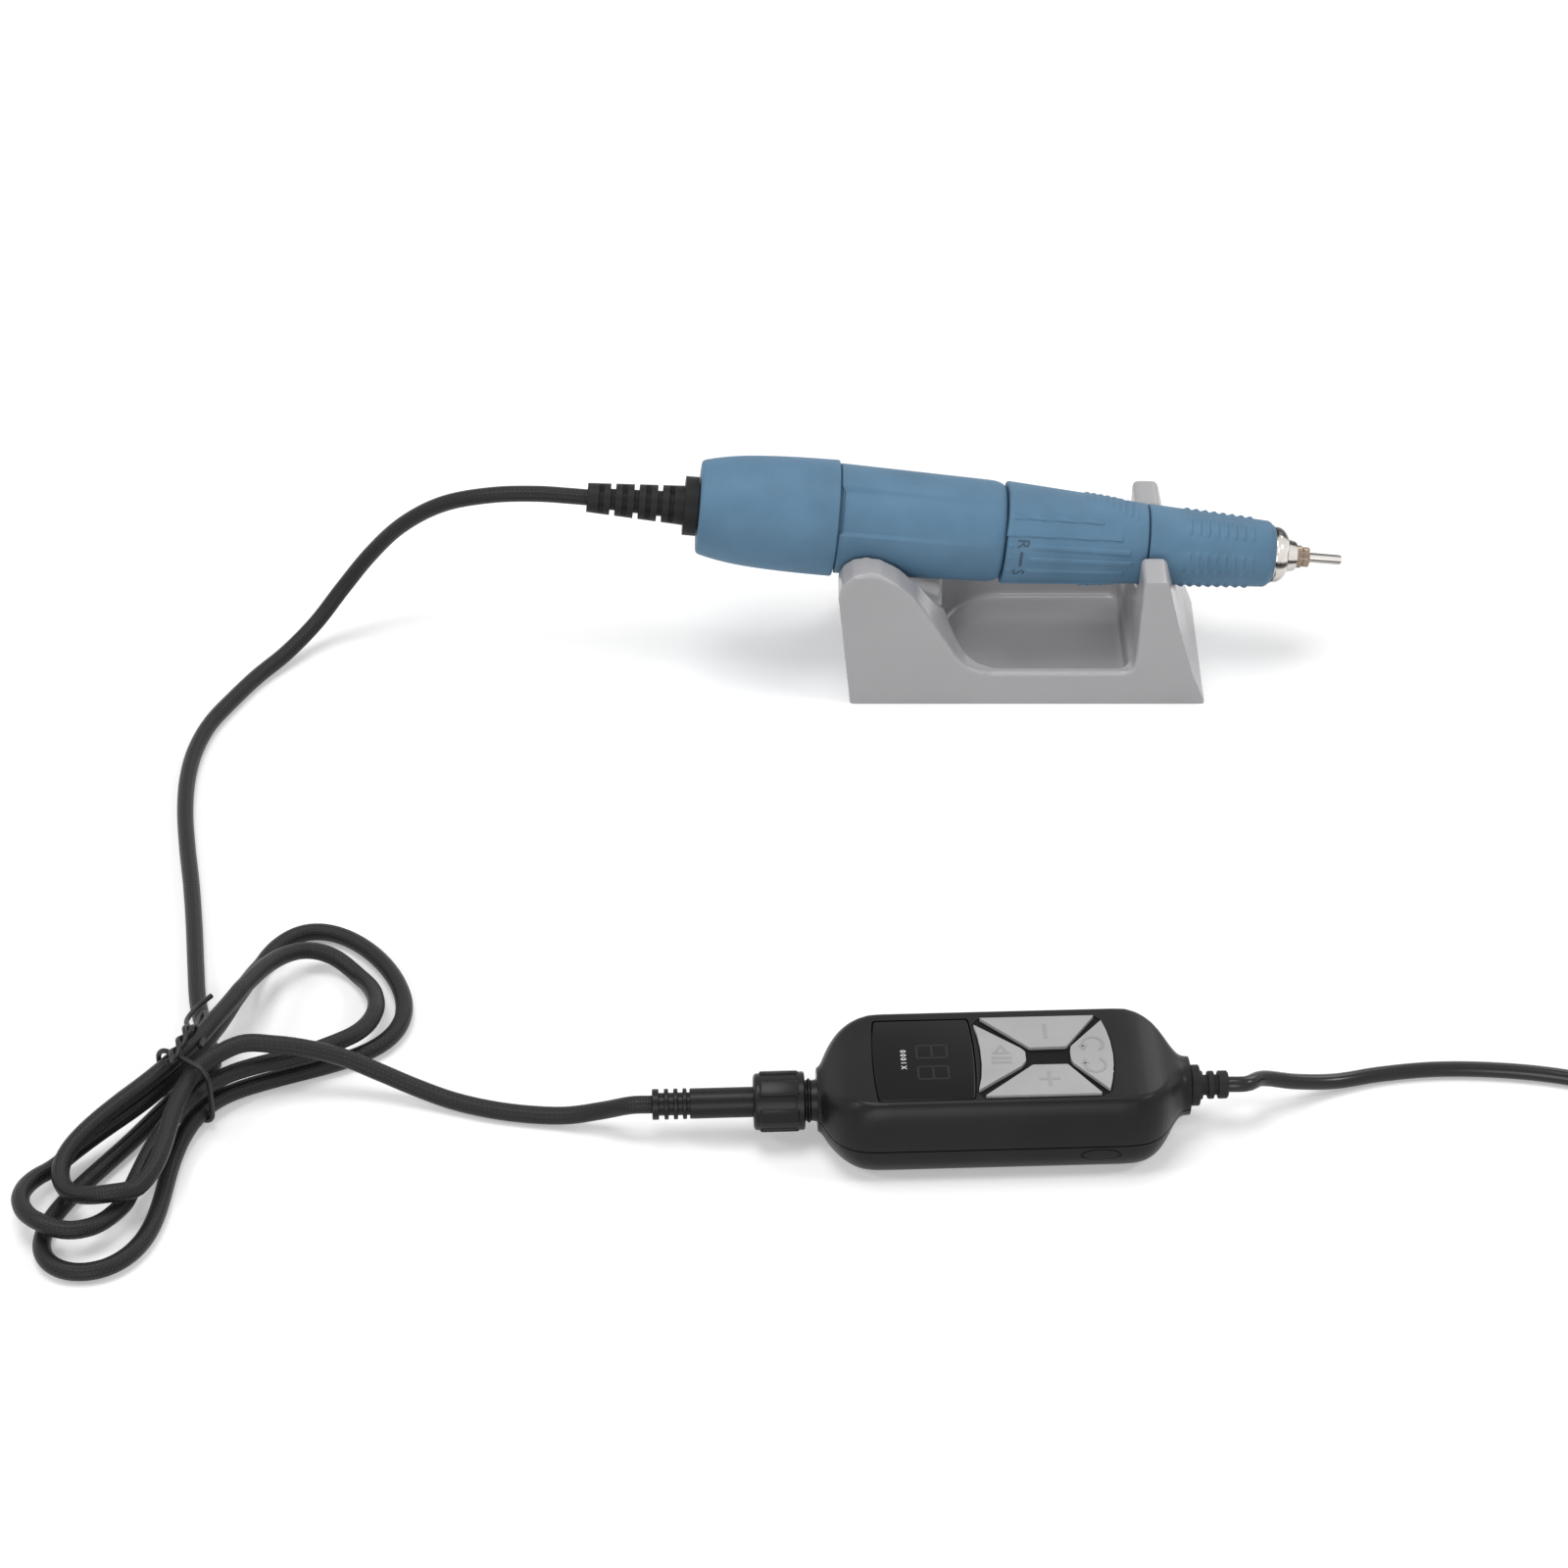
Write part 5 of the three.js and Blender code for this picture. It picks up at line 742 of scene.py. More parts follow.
def turnedPiece(name, profile, sides):
    # a ring is extruded and scaled from station to station along +X; millimetres
    deselectAll()
    along, radius = profile[0]
    bpy.ops.mesh.primitive_circle_add(vertices=sides, radius=radius * mm, location=(along * mm, 0, 0),
                                      rotation=(0, math.pi / 2, 0))
    piece = bpy.context.object
    piece.name = name
    bpy.ops.object.transform_apply(location=True, rotation=True, scale=True)
    bpy.ops.object.mode_set(mode="EDIT")
    bpy.ops.mesh.select_all(action="SELECT")
    closed = tuple(profile[0]) == tuple(profile[-1])
    if not closed:
        bpy.ops.mesh.edge_face_add()
        bpy.ops.mesh.select_all(action="SELECT")
    for (fromAlong, fromRadius), (toAlong, toRadius) in zip(profile, profile[1:]):
        bpy.ops.mesh.extrude_region_move(TRANSFORM_OT_translate={"value": ((toAlong - fromAlong) * mm, 0, 0)})
        share = toRadius / fromRadius
        bpy.ops.transform.resize(value=(1, share, share), center_override=(toAlong * mm, 0, 0))
    finishEditing()
    return piece


def curvedProfile(points, spacing):
    return [(p.x, p.y) for p in smoothLine([(a, r, 0) for a, r in points], spacing)]


def straightProfile(start, end, spacing):
    count = max(1, round(math.dist(start, end) / spacing))
    return [(start[0] + (end[0] - start[0]) * i / count, start[1] + (end[1] - start[1]) * i / count)
            for i in range(count + 1)]


def angleOf(co):
    # degrees round the handpiece axis: 0 towards +Y, 90 up
    return math.degrees(math.atan2(co.z, co.y)) % 360


def between(value, low, high, edge):
    # 1 inside the span and 0 outside, with soft edges of the given width
    share = min((value - low) / edge, (high - value) / edge)
    share = min(max(share, 0), 1)
    return share * share * (3 - 2 * share)


def angleGap(angle, middle):
    return (angle - middle + 180) % 360 - 180


def relief(piece, name, depth, rule):
    # a painted vertex group moves the surface along its normals by the depth
    group = piece.vertex_groups.new(name=name)
    for corner in piece.data.vertices:
        weight = rule(corner.co)
        if weight > 0.001:
            group.add([corner.index], min(weight, 1), "REPLACE")
    applyModifier(piece, "DISPLACE", name, vertex_group=name, direction="NORMAL", mid_level=0,
                  strength=depth * mm)


def turnRound(piece, angle):
    # a turn about the X axis, in radians, put into the mesh
    piece.rotation_euler = (angle, 0, 0)
    activate(piece)
    bpy.ops.object.transform_apply(location=False, rotation=True, scale=False)


def raised(height):
    return Matrix.Translation((0, 0, height * mm))


def dress(piece, finish, slot, body, *nodes):
    paint(piece, finish)
    if nodes:
        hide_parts(*nodes)
    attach(piece, body)


def complete(piece, place, angle, *dressing):
    # the last steps of a piece: its place, smooth faces up to the angle, then its finish and body
    settleMesh(piece, place)
    smoothFaces(piece, angle)
    dress(piece, *dressing)


# Handpiece shells
seamGap = 0.35
handpiece = {
    "capLength": 33.3,
    "housingLength": 40.4,
    "ringLength": 34.5,
    "gripLength": 31.4,
    "canRadius": 10.6,
    "threadRadius": 12.5,
}
housingStart = handpiece["capLength"]
ringStart = housingStart + handpiece["housingLength"]
gripStart = ringStart + handpiece["ringLength"]
noseStart = gripStart + handpiece["gripLength"]

rearCap = {
    "bore": 4.4,
    "rim": [(0, 8), (0, 10.5), (0.12, 10.9), (0.42, 11.22)],
    "outline": [(0.9, 11.42), (3, 11.95), (6.5, 12.62), (11, 13.2), (17, 13.62), (24, 13.88), (32.5, 14.0)],
    "edge": [(-0.18, 13.95), (0, 13.78)],     # distance from the front end, radius
    "threadLength": 6.3,
    "wall": [10.9, 10.2],                     # radius of the cavity before and behind the step
    "stepAt": 18,
    "floor": 2.4,
    "sides": 128,
}


def makeRearCap():
    end, bore, thread = housingStart - seamGap, rearCap["bore"], handpiece["threadRadius"]
    threadEnd, stepAt, floor = end - rearCap["threadLength"], rearCap["stepAt"], rearCap["floor"]
    wide, narrow = rearCap["wall"]
    profile = [(0, bore), *rearCap["rim"]]
    profile += curvedProfile(rearCap["outline"], 1.2)
    profile += [(end + back, radius) for back, radius in rearCap["edge"]]
    profile += [(end, thread), (threadEnd, thread), (threadEnd, wide), (stepAt, wide), (stepAt, narrow),
                (floor, narrow), (floor, bore), (0, bore)]
    piece = turnedPiece("rearCapShell", profile, rearCap["sides"])
    complete(piece, handpiecePlace, 30, "gripBlue", "grip_blue", "handpiece", "rear_cap")


housing = {
    "sides": 180,
    "rearRadius": 13.25,
    "frontRadius": 12.2,
    "seat": (6, 12.2),            # length and radius of the sleeve inside the rear cap
    "frontBore": 7.5,
    "frontWall": 1,
    # distance from the front end, change of the front radius
    "lip": [(-3.4, 0.02), (-2.2, -0.12), (-1.1, -0.48), (-0.35, -0.98), (0, -1.5)],
    "skinFrom": 11.6,             # faces nearer the axis are inside
    "panelDepth": 0.88,
    "panelFade": 36.5,            # distance from the rear edge where the panel runs out
    "panelFrom": 114.5,           # where the sloping band ends, degrees round the axis
    "panelTo": 162.0,             # sharp crease
    "creaseWidth": 4.6,           # width of the sloping band at the rear edge
    "creaseSoft": 1.6,
    "fadePower": 0.85,
    "panels": 3,
}


def housingPanel(co):
    along = co.x / mm - housingStart
    inside = co.y ** 2 + co.z ** 2 < (housing["skinFrom"] * mm) ** 2
    if inside or not -0.1 <= along < housing["panelFade"]:
        return 0
    fade = 1 - along / housing["panelFade"]
    angle, weight, soft = angleOf(co), 0, housing["creaseSoft"]
    for k in range(housing["panels"]):
        turn = k * 360 / housing["panels"]
        middle = (housing["panelFrom"] + housing["panelTo"]) / 2 + turn
        half = (housing["panelTo"] - housing["panelFrom"]) / 2
        gap = angleGap(angle, middle)
        band = soft + housing["creaseWidth"] * (0.25 + 0.75 * fade)
        low = min(max((gap + half) / band + 1, 0), 1)
        high = min(max((half - gap) / soft + 0.5, 0), 1)
        weight = max(weight, low * high)
    return weight * fade ** housing["fadePower"]


def makeHousing():
    end = ringStart - seamGap
    bore = handpiece["canRadius"] + fitGap
    rear, front = housing["rearRadius"], housing["frontRadius"]
    seatLength, seatRadius = housing["seat"]
    seatEnd = housingStart - seatLength
    wallEnd, frontBore = end - housing["frontWall"], housing["frontBore"]
    profile = [(seatEnd, bore), (seatEnd, seatRadius), (housingStart, seatRadius),
               (housingStart, rear - 0.28), (housingStart + 0.1, rear - 0.1), (housingStart + 0.3, rear)]
    profile += straightProfile((housingStart + 0.9, rear - 0.02), (end - 4.4, front + 0.08), 0.8)
    profile += curvedProfile([(end + back, front + change) for back, change in housing["lip"]], 0.35)
    profile += [(end, frontBore), (wallEnd, frontBore), (wallEnd, bore), (seatEnd, bore)]
    piece = turnedPiece("motorHousingShell", profile, housing["sides"])
    settleMesh(piece)
    relief(piece, "panels", -housing["panelDepth"], housingPanel)
    complete(piece, handpiecePlace, 28, "gripBlue", "grip_blue", "handpiece", "motor_housing")


ring = {
    "sides": 256,
    "spacing": 0.32,
    "rearRadius": 12.15,
    "frontRadius": 9.7,
    "bore": 8.6,
    "barHeight": 0.34,
    "barHalfWidth": 0.56,
    "bars": [(160.5, 6.1, 30.1), (176.5, 5.75, 30.6), (194, 5.3, 29.0)],
    "barGroups": 2,
    "tick": (0.35, 1.5, 0.42, 0.8),           # start, end, half width and height share of the short mark
    "ridgeHeight": 0.36,
    "ridgeStart": 19.6,
    "ridgePitch": 1.62,
    "ridges": 8,
    "ridgeMiddle": (66, 2.3),                 # angle of the first ridge's middle, change per millimetre
    "ridgeHalf": 25,
    "stepHeight": 0.36,
    # strips: angle at the rear edge, slant in degrees per millimetre, width in degrees, end
    "wideStrip": (149.3, 0.15, 22, 27.9),
    "slimStrip": (127.6, 0.21, 2.9, 23.1),    # half its width
    "lowStrip": (226, 0, 24, 27.9),
}


def ringRadius(along):
    share = along / handpiece["ringLength"]
    return ring["rearRadius"] + (ring["frontRadius"] - ring["rearRadius"]) * share


def outerSkin(co, radius):
    return co.y ** 2 + co.z ** 2 > ((radius - 0.6) * mm) ** 2


def ringBars(co):
    along = co.x / mm - ringStart
    radius = ringRadius(along)
    if not outerSkin(co, radius):
        return 0
    angle, weight = angleOf(co), 0
    tickStart, tickEnd, tickHalf, tickHeight = ring["tick"]
    for k in range(ring["barGroups"]):
        for middle, start, end in ring["bars"]:
            away = abs(math.radians(angleGap(angle, middle + 360 * k / ring["barGroups"])) * radius)
            across = between(away, -9, ring["barHalfWidth"] + 0.1, 0.22)
            body = between(along, start, end, 0.25)
            tick = between(along, tickStart, tickEnd, 0.25) * between(away, -9, tickHalf, 0.2) * tickHeight
            weight = max(weight, across * body, tick)
    return weight


def ringSteps(co):
    # strips whose lower edge stands proud and whose upper edge runs out into the surface
    along = co.x / mm - ringStart
    if not outerSkin(co, ringRadius(along)):
        return 0
    angle, weight = angleOf(co), 0
    wideAngle, wideSlant, wideSpan, wideEnd = ring["wideStrip"]
    slimAngle, slimSlant, slimHalf, slimEnd = ring["slimStrip"]
    lowAngle, lowSlant, lowSpan, lowEnd = ring["lowStrip"]
    for k in range(ring["barGroups"]):
        wide = angleGap(angle, wideAngle - wideSlant * along + 180 * k)
        if -wideSpan - 4 < wide < 1:
            slope = min(max((wide + wideSpan) / wideSpan, 0), 1) * between(wide, -99, 0.9, 1.2)
            weight = max(weight, slope * between(along, -1, wideEnd, 0.35))
        slim = angleGap(angle, slimAngle - slimSlant * along + 180 * k)
        weight = max(weight, between(slim, -slimHalf, slimHalf, 0.7) * between(along, 0.9, slimEnd, 0.35))
        low = angleGap(angle, lowAngle - lowSlant * along + 180 * k)
        slope = 0.9 * between(low, -1.2, lowSpan, 1.4) * min(max(1 - low / lowSpan, 0), 1)
        weight = max(weight, slope * between(along, -1, lowEnd, 0.35))
    return weight


def ringRidges(co):
    along = co.x / mm - ringStart
    radius = ringRadius(along)
    if not outerSkin(co, radius):
        return 0
    angle, weight = angleOf(co), 0
    firstMiddle, slant = ring["ridgeMiddle"]
    for k in range(ring["barGroups"]):
        for i in range(ring["ridges"]):
            at = ring["ridgeStart"] + ring["ridgePitch"] * i
            middle = firstMiddle + slant * (at - ring["ridgeStart"]) + 180 * k
            length = between(angleGap(angle, middle), -ring["ridgeHalf"], ring["ridgeHalf"], 7)
            share = abs(along - at) / (ring["ridgePitch"] * 0.5)
            weight = max(weight, length * max(0, math.cos(min(share, 1) * math.pi / 2)))
    return weight


def makeChuckRing():
    end, bore = gripStart - seamGap, ring["bore"]
    rear, front = ring["rearRadius"], ring["frontRadius"]
    profile = [(ringStart, bore), (ringStart, rear - 0.55), (ringStart + 0.08, rear - 0.28),
               (ringStart + 0.28, rear - 0.06)]
    profile += straightProfile((ringStart + 0.5, rear), (end - 0.5, front + 0.05), ring["spacing"])
    profile += [(end - 0.2, front - 0.05), (end, front - 0.3), (end, bore), (ringStart, bore)]
    piece = turnedPiece("chuckRingShell", profile, ring["sides"])
    settleMesh(piece)
    relief(piece, "steps", ring["stepHeight"], ringSteps)
    relief(piece, "bars", ring["barHeight"], ringBars)
    relief(piece, "ridges", ring["ridgeHeight"], ringRidges)
    complete(piece, handpiecePlace, 40, "gripBlue", "grip_blue", "chuck_ring", "chuck_ring")


grip = {
    "sides": 216,
    "spacing": 0.30,
    "rearRadius": 9.7,
    "frontRadius": 7.95,
    "bore": 6.9,
    # distance from the front end, change of the front radius
    "lip": [(-1.55, 0.02), (-1.1, -0.22), (-0.5, -0.78), (-0.1, -1.0)],
    "patches": 6,
    "patchMiddle": 50,
    "patchHalf": 20,
    "ridges": 8,
    "ridgeStart": 9.7,
    "ridgePitch": 2.2,
    "ridgeHeight": 0.42,
    "ridgeReach": (1.0, 0.45),                # behind and before its crest
}


def gripRidges(co):
    along = co.x / mm - gripStart
    radius = grip["rearRadius"] + (grip["frontRadius"] - grip["rearRadius"]) * along / handpiece["gripLength"]
    if not outerSkin(co, radius):
        return 0
    angle, weight, half = angleOf(co), 0, grip["patchHalf"]
    behind, before = grip["ridgeReach"]
    for k in range(grip["patches"]):
        length = between(angleGap(angle, grip["patchMiddle"] + 60 * k), -half, half, 8)
        if length <= 0:
            continue
        for i in range(grip["ridges"]):
            away = along - grip["ridgeStart"] - grip["ridgePitch"] * i
            share = away / before if away > 0 else -away / behind
            weight = max(weight, length * max(0, math.cos(min(share, 1) * math.pi / 2)))
    return weight


def makeFrontGrip():
    end, bore = noseStart - seamGap, grip["bore"]
    rear, front = grip["rearRadius"], grip["frontRadius"]
    profile = [(gripStart, bore), (gripStart, rear - 0.5), (gripStart + 0.08, rear - 0.22),
               (gripStart + 0.28, rear - 0.04)]
    profile += straightProfile((gripStart + 0.5, rear), (end - 1.9, front + 0.08), grip["spacing"])
    profile += curvedProfile([(end + back, front + change) for back, change in grip["lip"]], 0.3)
    profile += [(end, bore), (gripStart, bore)]
    piece = turnedPiece("frontGripShell", profile, grip["sides"])
    settleMesh(piece)
    relief(piece, "ridges", grip["ridgeHeight"], gripRidges)
    complete(piece, handpiecePlace, 40, "gripBlue", "grip_blue", "handpiece", "front_grip")


makeRearCap()
makeHousing()
makeChuckRing()
makeFrontGrip()
print("handpiece shells turned")


# Solid pieces drawn as an outline, and solids cut from one another
def filledOutline(name, places):
    # one corner is pulled along the places, in metres, and the outline filled; stays in edit mode
    deselectAll()
    bpy.ops.mesh.primitive_plane_add(size=mm, location=places[0])
    piece = bpy.context.object
    piece.name = name
    bpy.ops.object.transform_apply(location=True, rotation=True, scale=True)
    bpy.ops.object.mode_set(mode="EDIT")
    bpy.ops.mesh.select_all(action="SELECT")
    bpy.ops.mesh.merge(type="CENTER")
    for here, there in zip(places, places[1:]):
        bpy.ops.mesh.extrude_vertices_move(TRANSFORM_OT_translate={"value": there - here})
    bpy.ops.mesh.select_all(action="SELECT")
    bpy.ops.mesh.edge_face_add()
    return piece


def drawnPiece(name, points, depth, plane, start):
    # a filled outline pulled into a block
    def corner(first, second, third):
        if plane == "xz":
            return Vector((first, third, second)) * mm
        if plane == "xy":
            return Vector((first, second, third)) * mm
        return Vector((third, first, second)) * mm

    piece = filledOutline(name, [corner(a, b, start) for a, b in points])
    bpy.ops.mesh.select_all(action="SELECT")
    bpy.ops.mesh.extrude_region_move(TRANSFORM_OT_translate={"value": corner(0, 0, depth)})
    bpy.ops.mesh.select_all(action="SELECT")
    bpy.ops.mesh.normals_make_consistent(inside=False)
    finishEditing()
    return piece


def blockPiece(name, low, high):
    deselectAll()
    middle = [(a + b) / 2 * mm for a, b in zip(low, high)]
    bpy.ops.mesh.primitive_cube_add(size=1, location=middle)
    piece = bpy.context.object
    piece.name = name
    piece.scale = [(b - a) * mm for a, b in zip(low, high)]
    bpy.ops.object.transform_apply(location=True, rotation=True, scale=True)
    return piece


def rodPiece(name, start, length, radius, sides, place):
    piece = turnedPiece(name, [(start, radius), (start + length, radius)], sides)
    settleMesh(piece, place)
    return piece


def combine(piece, other, operation="DIFFERENCE"):
    # a boolean with another solid, which is used up
    applyModifier(piece, "BOOLEAN", "combine", object=other, operation=operation, solver="MANIFOLD")
    bpy.data.objects.remove(other, do_unlink=True)


def soften(piece, spacing, rounds):
    # an even mesh, then relaxed so that every edge becomes a moulded radius
    applyModifier(piece, "REMESH", "evenMesh", mode="VOXEL", voxel_size=spacing * mm, use_smooth_shade=True)
    applyModifier(piece, "SMOOTH", "relax", factor=0.5, iterations=rounds)


def relaxPart(piece, name, rounds, rule):
    # relaxes only the part that the rule weighs
    group = piece.vertex_groups.new(name=name)
    for corner in piece.data.vertices:
        weight = rule(corner.co)
        if weight > 0.01:
            group.add([corner.index], weight, "REPLACE")
    applyModifier(piece, "SMOOTH", name, factor=0.5, iterations=rounds, vertex_group=name)


def sliceAway(piece, place, normal):
    # cuts off the side that the normal points to and closes the cut
    editAll(piece)
    bpy.ops.mesh.bisect(plane_co=[value * mm for value in place], plane_no=normal, use_fill=True,
                        clear_outer=True)
    finishEditing()


def joinPieces(name, pieces):
    activate(pieces[0])
    for piece in pieces:
        piece.select_set(True)
    bpy.ops.object.join()
    piece = bpy.context.object
    piece.name = name
    return piece


def outlineLoop(name, places):
    # a closed row of edges through the places
    piece = filledOutline(name, places)
    bpy.ops.mesh.delete(type="ONLY_FACE")
    finishEditing()
    return piece


def loftedPiece(name, sections):
    # outlines drawn one by one, bridged into one skin and closed at both ends
    loops = [outlineLoop(name + "Loop", [Vector(p) * mm for p in section]) for section in sections]
    piece = joinPieces(name, loops)
    bpy.ops.object.mode_set(mode="EDIT")
    bpy.ops.mesh.select_mode(type="EDGE")
    bpy.ops.mesh.select_all(action="SELECT")
    bpy.ops.mesh.bridge_edge_loops()
    bpy.ops.mesh.select_all(action="SELECT")
    bpy.ops.mesh.fill_holes(sides=0)
    bpy.ops.mesh.select_all(action="SELECT")
    bpy.ops.mesh.normals_make_consistent(inside=False)
    finishEditing()
    return piece


cradle = {
    "middle": 84.25,
    "depth": 43.4,
    "outline": [
        (44.8, 0), (43.6, 3.2), (41.6, 8), (37.2, 23.5), (35.0, 32.6), (34.5, 34.9), (33.8, 35.8),
        (32.0, 35.95), (29.4, 35.95), (28.5, 35.6), (28.25, 34.6), (28.1, 28), (27.8, 20), (27.5, 13.4),
        (27.1, 10.9), (26.2, 9.6), (24.6, 9.3), (18, 9.3), (6, 9.3), (-7.5, 9.3), (-10.5, 9.7),
        (-13.2, 11.2), (-15.6, 14), (-18.9, 19.4), (-22.4, 25.6), (-26, 30.9), (-30, 35), (-34, 37.4),
        (-37.6, 38.1), (-40.7, 37.4), (-43.2, 35.0), (-44.2, 31.2), (-43.7, 26),
    ],
    "foot": [(45.3, -4), (-41.2, 0), (-40.9, -4)],       # below the floor, cut off at the end
    "spacing": 0.55,
    "relax": (2, 9),                         # rounds everywhere, further rounds below the prong tops
    "prongCrisp": (26.0, 26.5),               # left side and height of the crisp prong tops
    "trough": 13.6,
    "rampDegrees": 22,
    "rampX": -39,
    "tray": (-18.5, 26, 19.1, 15, 2.5),       # left, right, half width, left and right corner radius
    "trayFloor": 3,
    "notch": 10.15,
    "notchBack": 10.4,                        # how far the notch starts behind the grip
    "mouthDrop": 2.4,
    "flareDegrees": 17,
    "prong": (27.6, 35.8, 5.8),               # left side, height, width at the top
    "under": ((-38.6, 66.2, -5), (-26.1, 102.3, 15)),
}


def axisHeight(x):
    left, _, up = handpieceStand["place"]
    return up - (x - left) * math.tan(math.radians(handpieceStand["lean"]))


def arcPoints(x, y, radius, start, end, steps=14):
    turns = [math.radians(start + (end - start) * i / steps) for i in range(steps + 1)]
    return [(x + radius * math.cos(turn), y + radius * math.sin(turn)) for turn in turns]


def makeCradle():
    middle, depth, foot = cradle["middle"], cradle["depth"], cradle["foot"]
    outline = [foot[0], *cradle["outline"], *foot[1:]]
    piece = drawnPiece("cradleBody", outline, depth, "xz", middle - depth / 2)
    trough = rodPiece("troughCut", 0, ringStart, cradle["trough"], 128, handpiecePlace)
    tilt = Matrix.Rotation(math.radians(cradle["rampDegrees"]), 4, "Y")
    rampAt = Matrix.Translation(Vector((cradle["rampX"], middle, axisHeight(cradle["rampX"]))) * mm)
    ramp = rodPiece("rampCut", -22, 72, cradle["trough"], 128, rampAt @ tilt)
    left, right, half, leftRound, rightRound = cradle["tray"]
    corners = arcPoints(right - rightRound, half - rightRound, rightRound, 0, 90, 6)
    corners += arcPoints(left + leftRound, half - leftRound, leftRound, 90, 180)
    corners += arcPoints(left + leftRound, leftRound - half, leftRound, 180, 270)
    corners += arcPoints(right - rightRound, rightRound - half, rightRound, 270, 360, 6)
    tray = drawnPiece("trayCut", [(x, y + middle) for x, y in corners], 60, "xy", cradle["trayFloor"])
    notchRadius, notchStart = cradle["notch"], gripStart - cradle["notchBack"]
    notch = rodPiece("notchCut", notchStart, handpiece["gripLength"], notchRadius, 128, handpiecePlace)
    prongLeft, prongTop, prongWide = cradle["prong"]
    axisAt = axisHeight(prongLeft + prongWide)
    mouthLow, mouthTop = axisAt - cradle["mouthDrop"], prongTop + 1
    flare = (mouthTop - axisAt) * math.tan(math.radians(cradle["flareDegrees"])) + notchRadius
    mouthPoints = [(middle - notchRadius, mouthLow), (middle + notchRadius, mouthLow),
                   (middle + flare, mouthTop), (middle - flare, mouthTop)]
    mouth = drawnPiece("mouthCut", mouthPoints, 30, "yz", 26)
    under = blockPiece("underCut", *cradle["under"])
    for cutter in (trough, ramp, tray, notch, mouth, under):
        combine(piece, cutter)
    everywhere, further = cradle["relax"]
    soften(piece, cradle["spacing"], everywhere)
    crispX, crispZ = cradle["prongCrisp"]

    def restRule(co):
        return 1 - between(co.x / mm, crispX, 99, 1.5) * between(co.z / mm, crispZ, 99, 5)

    relaxPart(piece, "rest", further, restRule)
    sliceAway(piece, (0, 0, 0), (0, 0, -1))
    complete(piece, None, 50, "cradleGrey", "cradle_grey", "base", "cradle")


makeCradle()
print("cradle shaped")


controller = {
    "length": 79.2,
    "height": 20,
    "parting": 8.9,
    "bottomRound": 6.8,
    "nearLean": (2.9, 11),                    # how far the near side leans in, and from how far below the top
    "farLean": (2.2, 5),
    "endLean": 5.4,
    # distance from the end, half width, bottom and top of each section
    "socketEnd": [
        (0, 6.6, 2.8, 15.4), (0.6, 7.3, 2.75, 15.5), (1.2, 8.8, 2.65, 15.8), (2, 10.8, 2.4, 16.35),
        (3, 12.6, 2.0, 17.1), (4, 13.85, 1.6, 17.8), (5, 14.75, 1.15, 18.45), (6.2, 15.5, 0.72, 19.0),
        (7.6, 16.1, 0.36, 19.5), (9.3, 16.5, 0.12, 19.82), (11.5, 16.7, 0.02, 19.97), (14, 16.75, 0, 20),
    ],
    "leadEnd": [
        (0, 6.2, 4.3, 16.6), (1.3, 6.25, 4.25, 16.65), (2.1, 6.75, 4.15, 16.8), (2.9, 7.8, 3.9, 17.1),
        (3.9, 9.4, 3.4, 17.6), (4.9, 11.2, 2.7, 18.15), (5.9, 12.8, 1.95, 18.65), (7.1, 14.2, 1.25, 19.15),
        (8.5, 15.3, 0.65, 19.5), (10.2, 16.1, 0.25, 19.8), (12.4, 16.6, 0.05, 19.95), (15, 16.75, 0, 20),
    ],
    "spacing": 0.5,
    "relax": 5,
    "endRelax": 8,
    "socketBore": (5.05, 9),                  # radius and height of its middle
    "leadBore": (3.5, 10.5),
    "partingGap": 0.15,                       # half the gap between the shells
    "cavity": (31.0, 14.85, 1.8, 17.6),       # half length, half width, floor and roof
    "window": (-27.2, -7.05, -12.9, 12.35),
    "windowBow": 0.7,
    "windowThickness": 1.2,
    "aperture": (-24.4, -9.8, -9.9, 9.9),
    "tab": ((19.5, -16.7, 6.7), 4.1, 1.5),    # middle, half width and half height of the oval line
    "tabLine": 0.07,
}
keyNames = ("minus", "plus", "run", "direction")
keys = {
    # the plate in the pocket carries painted shade of the recess in its darker black
    "pocketDepth": 0.7,
    "shadePlateThickness": 0.55,
    "pocket": [(-4.8, 12.3), (20.3, 12.25), (21.7, 10.7), (22.55, 7.2), (23.1, 3.6), (23.3, -0.4),
               (23.15, -3.8), (22.55, -8), (21.7, -11.8), (19.9, -12.9), (-5.2, -12.85), (-6.55, -11.1),
               (-5.75, -7), (-5.33, -2.5), (-5.33, 2.5), (-5.65, 6.5), (-6.3, 10.25)],
    "proud": 0.6,
    "capHeight": 4.2,
    "round": 0.28,
    "shellGap": 0.18,                         # round each key in the shell, then in the plate
    "plateGap": 0.1,
    "minus": [(-4.55, 12.0), (5.45, 2.15), (13.3, 2.25), (20.05, 11.95)],
    "plus": [(5.75, -3.3), (-4.95, -12.55), (19.65, -12.6), (13.15, -3.35)],
    "run": [(-5.95, 9.95), (-5.3, 6.5), (-4.98, 2.5), (-4.98, -2.5), (-5.4, -7), (-6.2, -10.8),
            (3.3, -3.6), (4.45, -1.9), (4.45, 0.9), (3.5, 2.1)],
    "direction": [(21.4, 10.4), (14.2, 2.2), (13.95, 0.6), (14.0, -1.9), (14.4, -3.0), (21.4, -11.45),
                  (22.2, -8), (22.8, -3.8), (22.95, -0.4), (22.75, 3.6), (22.2, 7.2)],
}


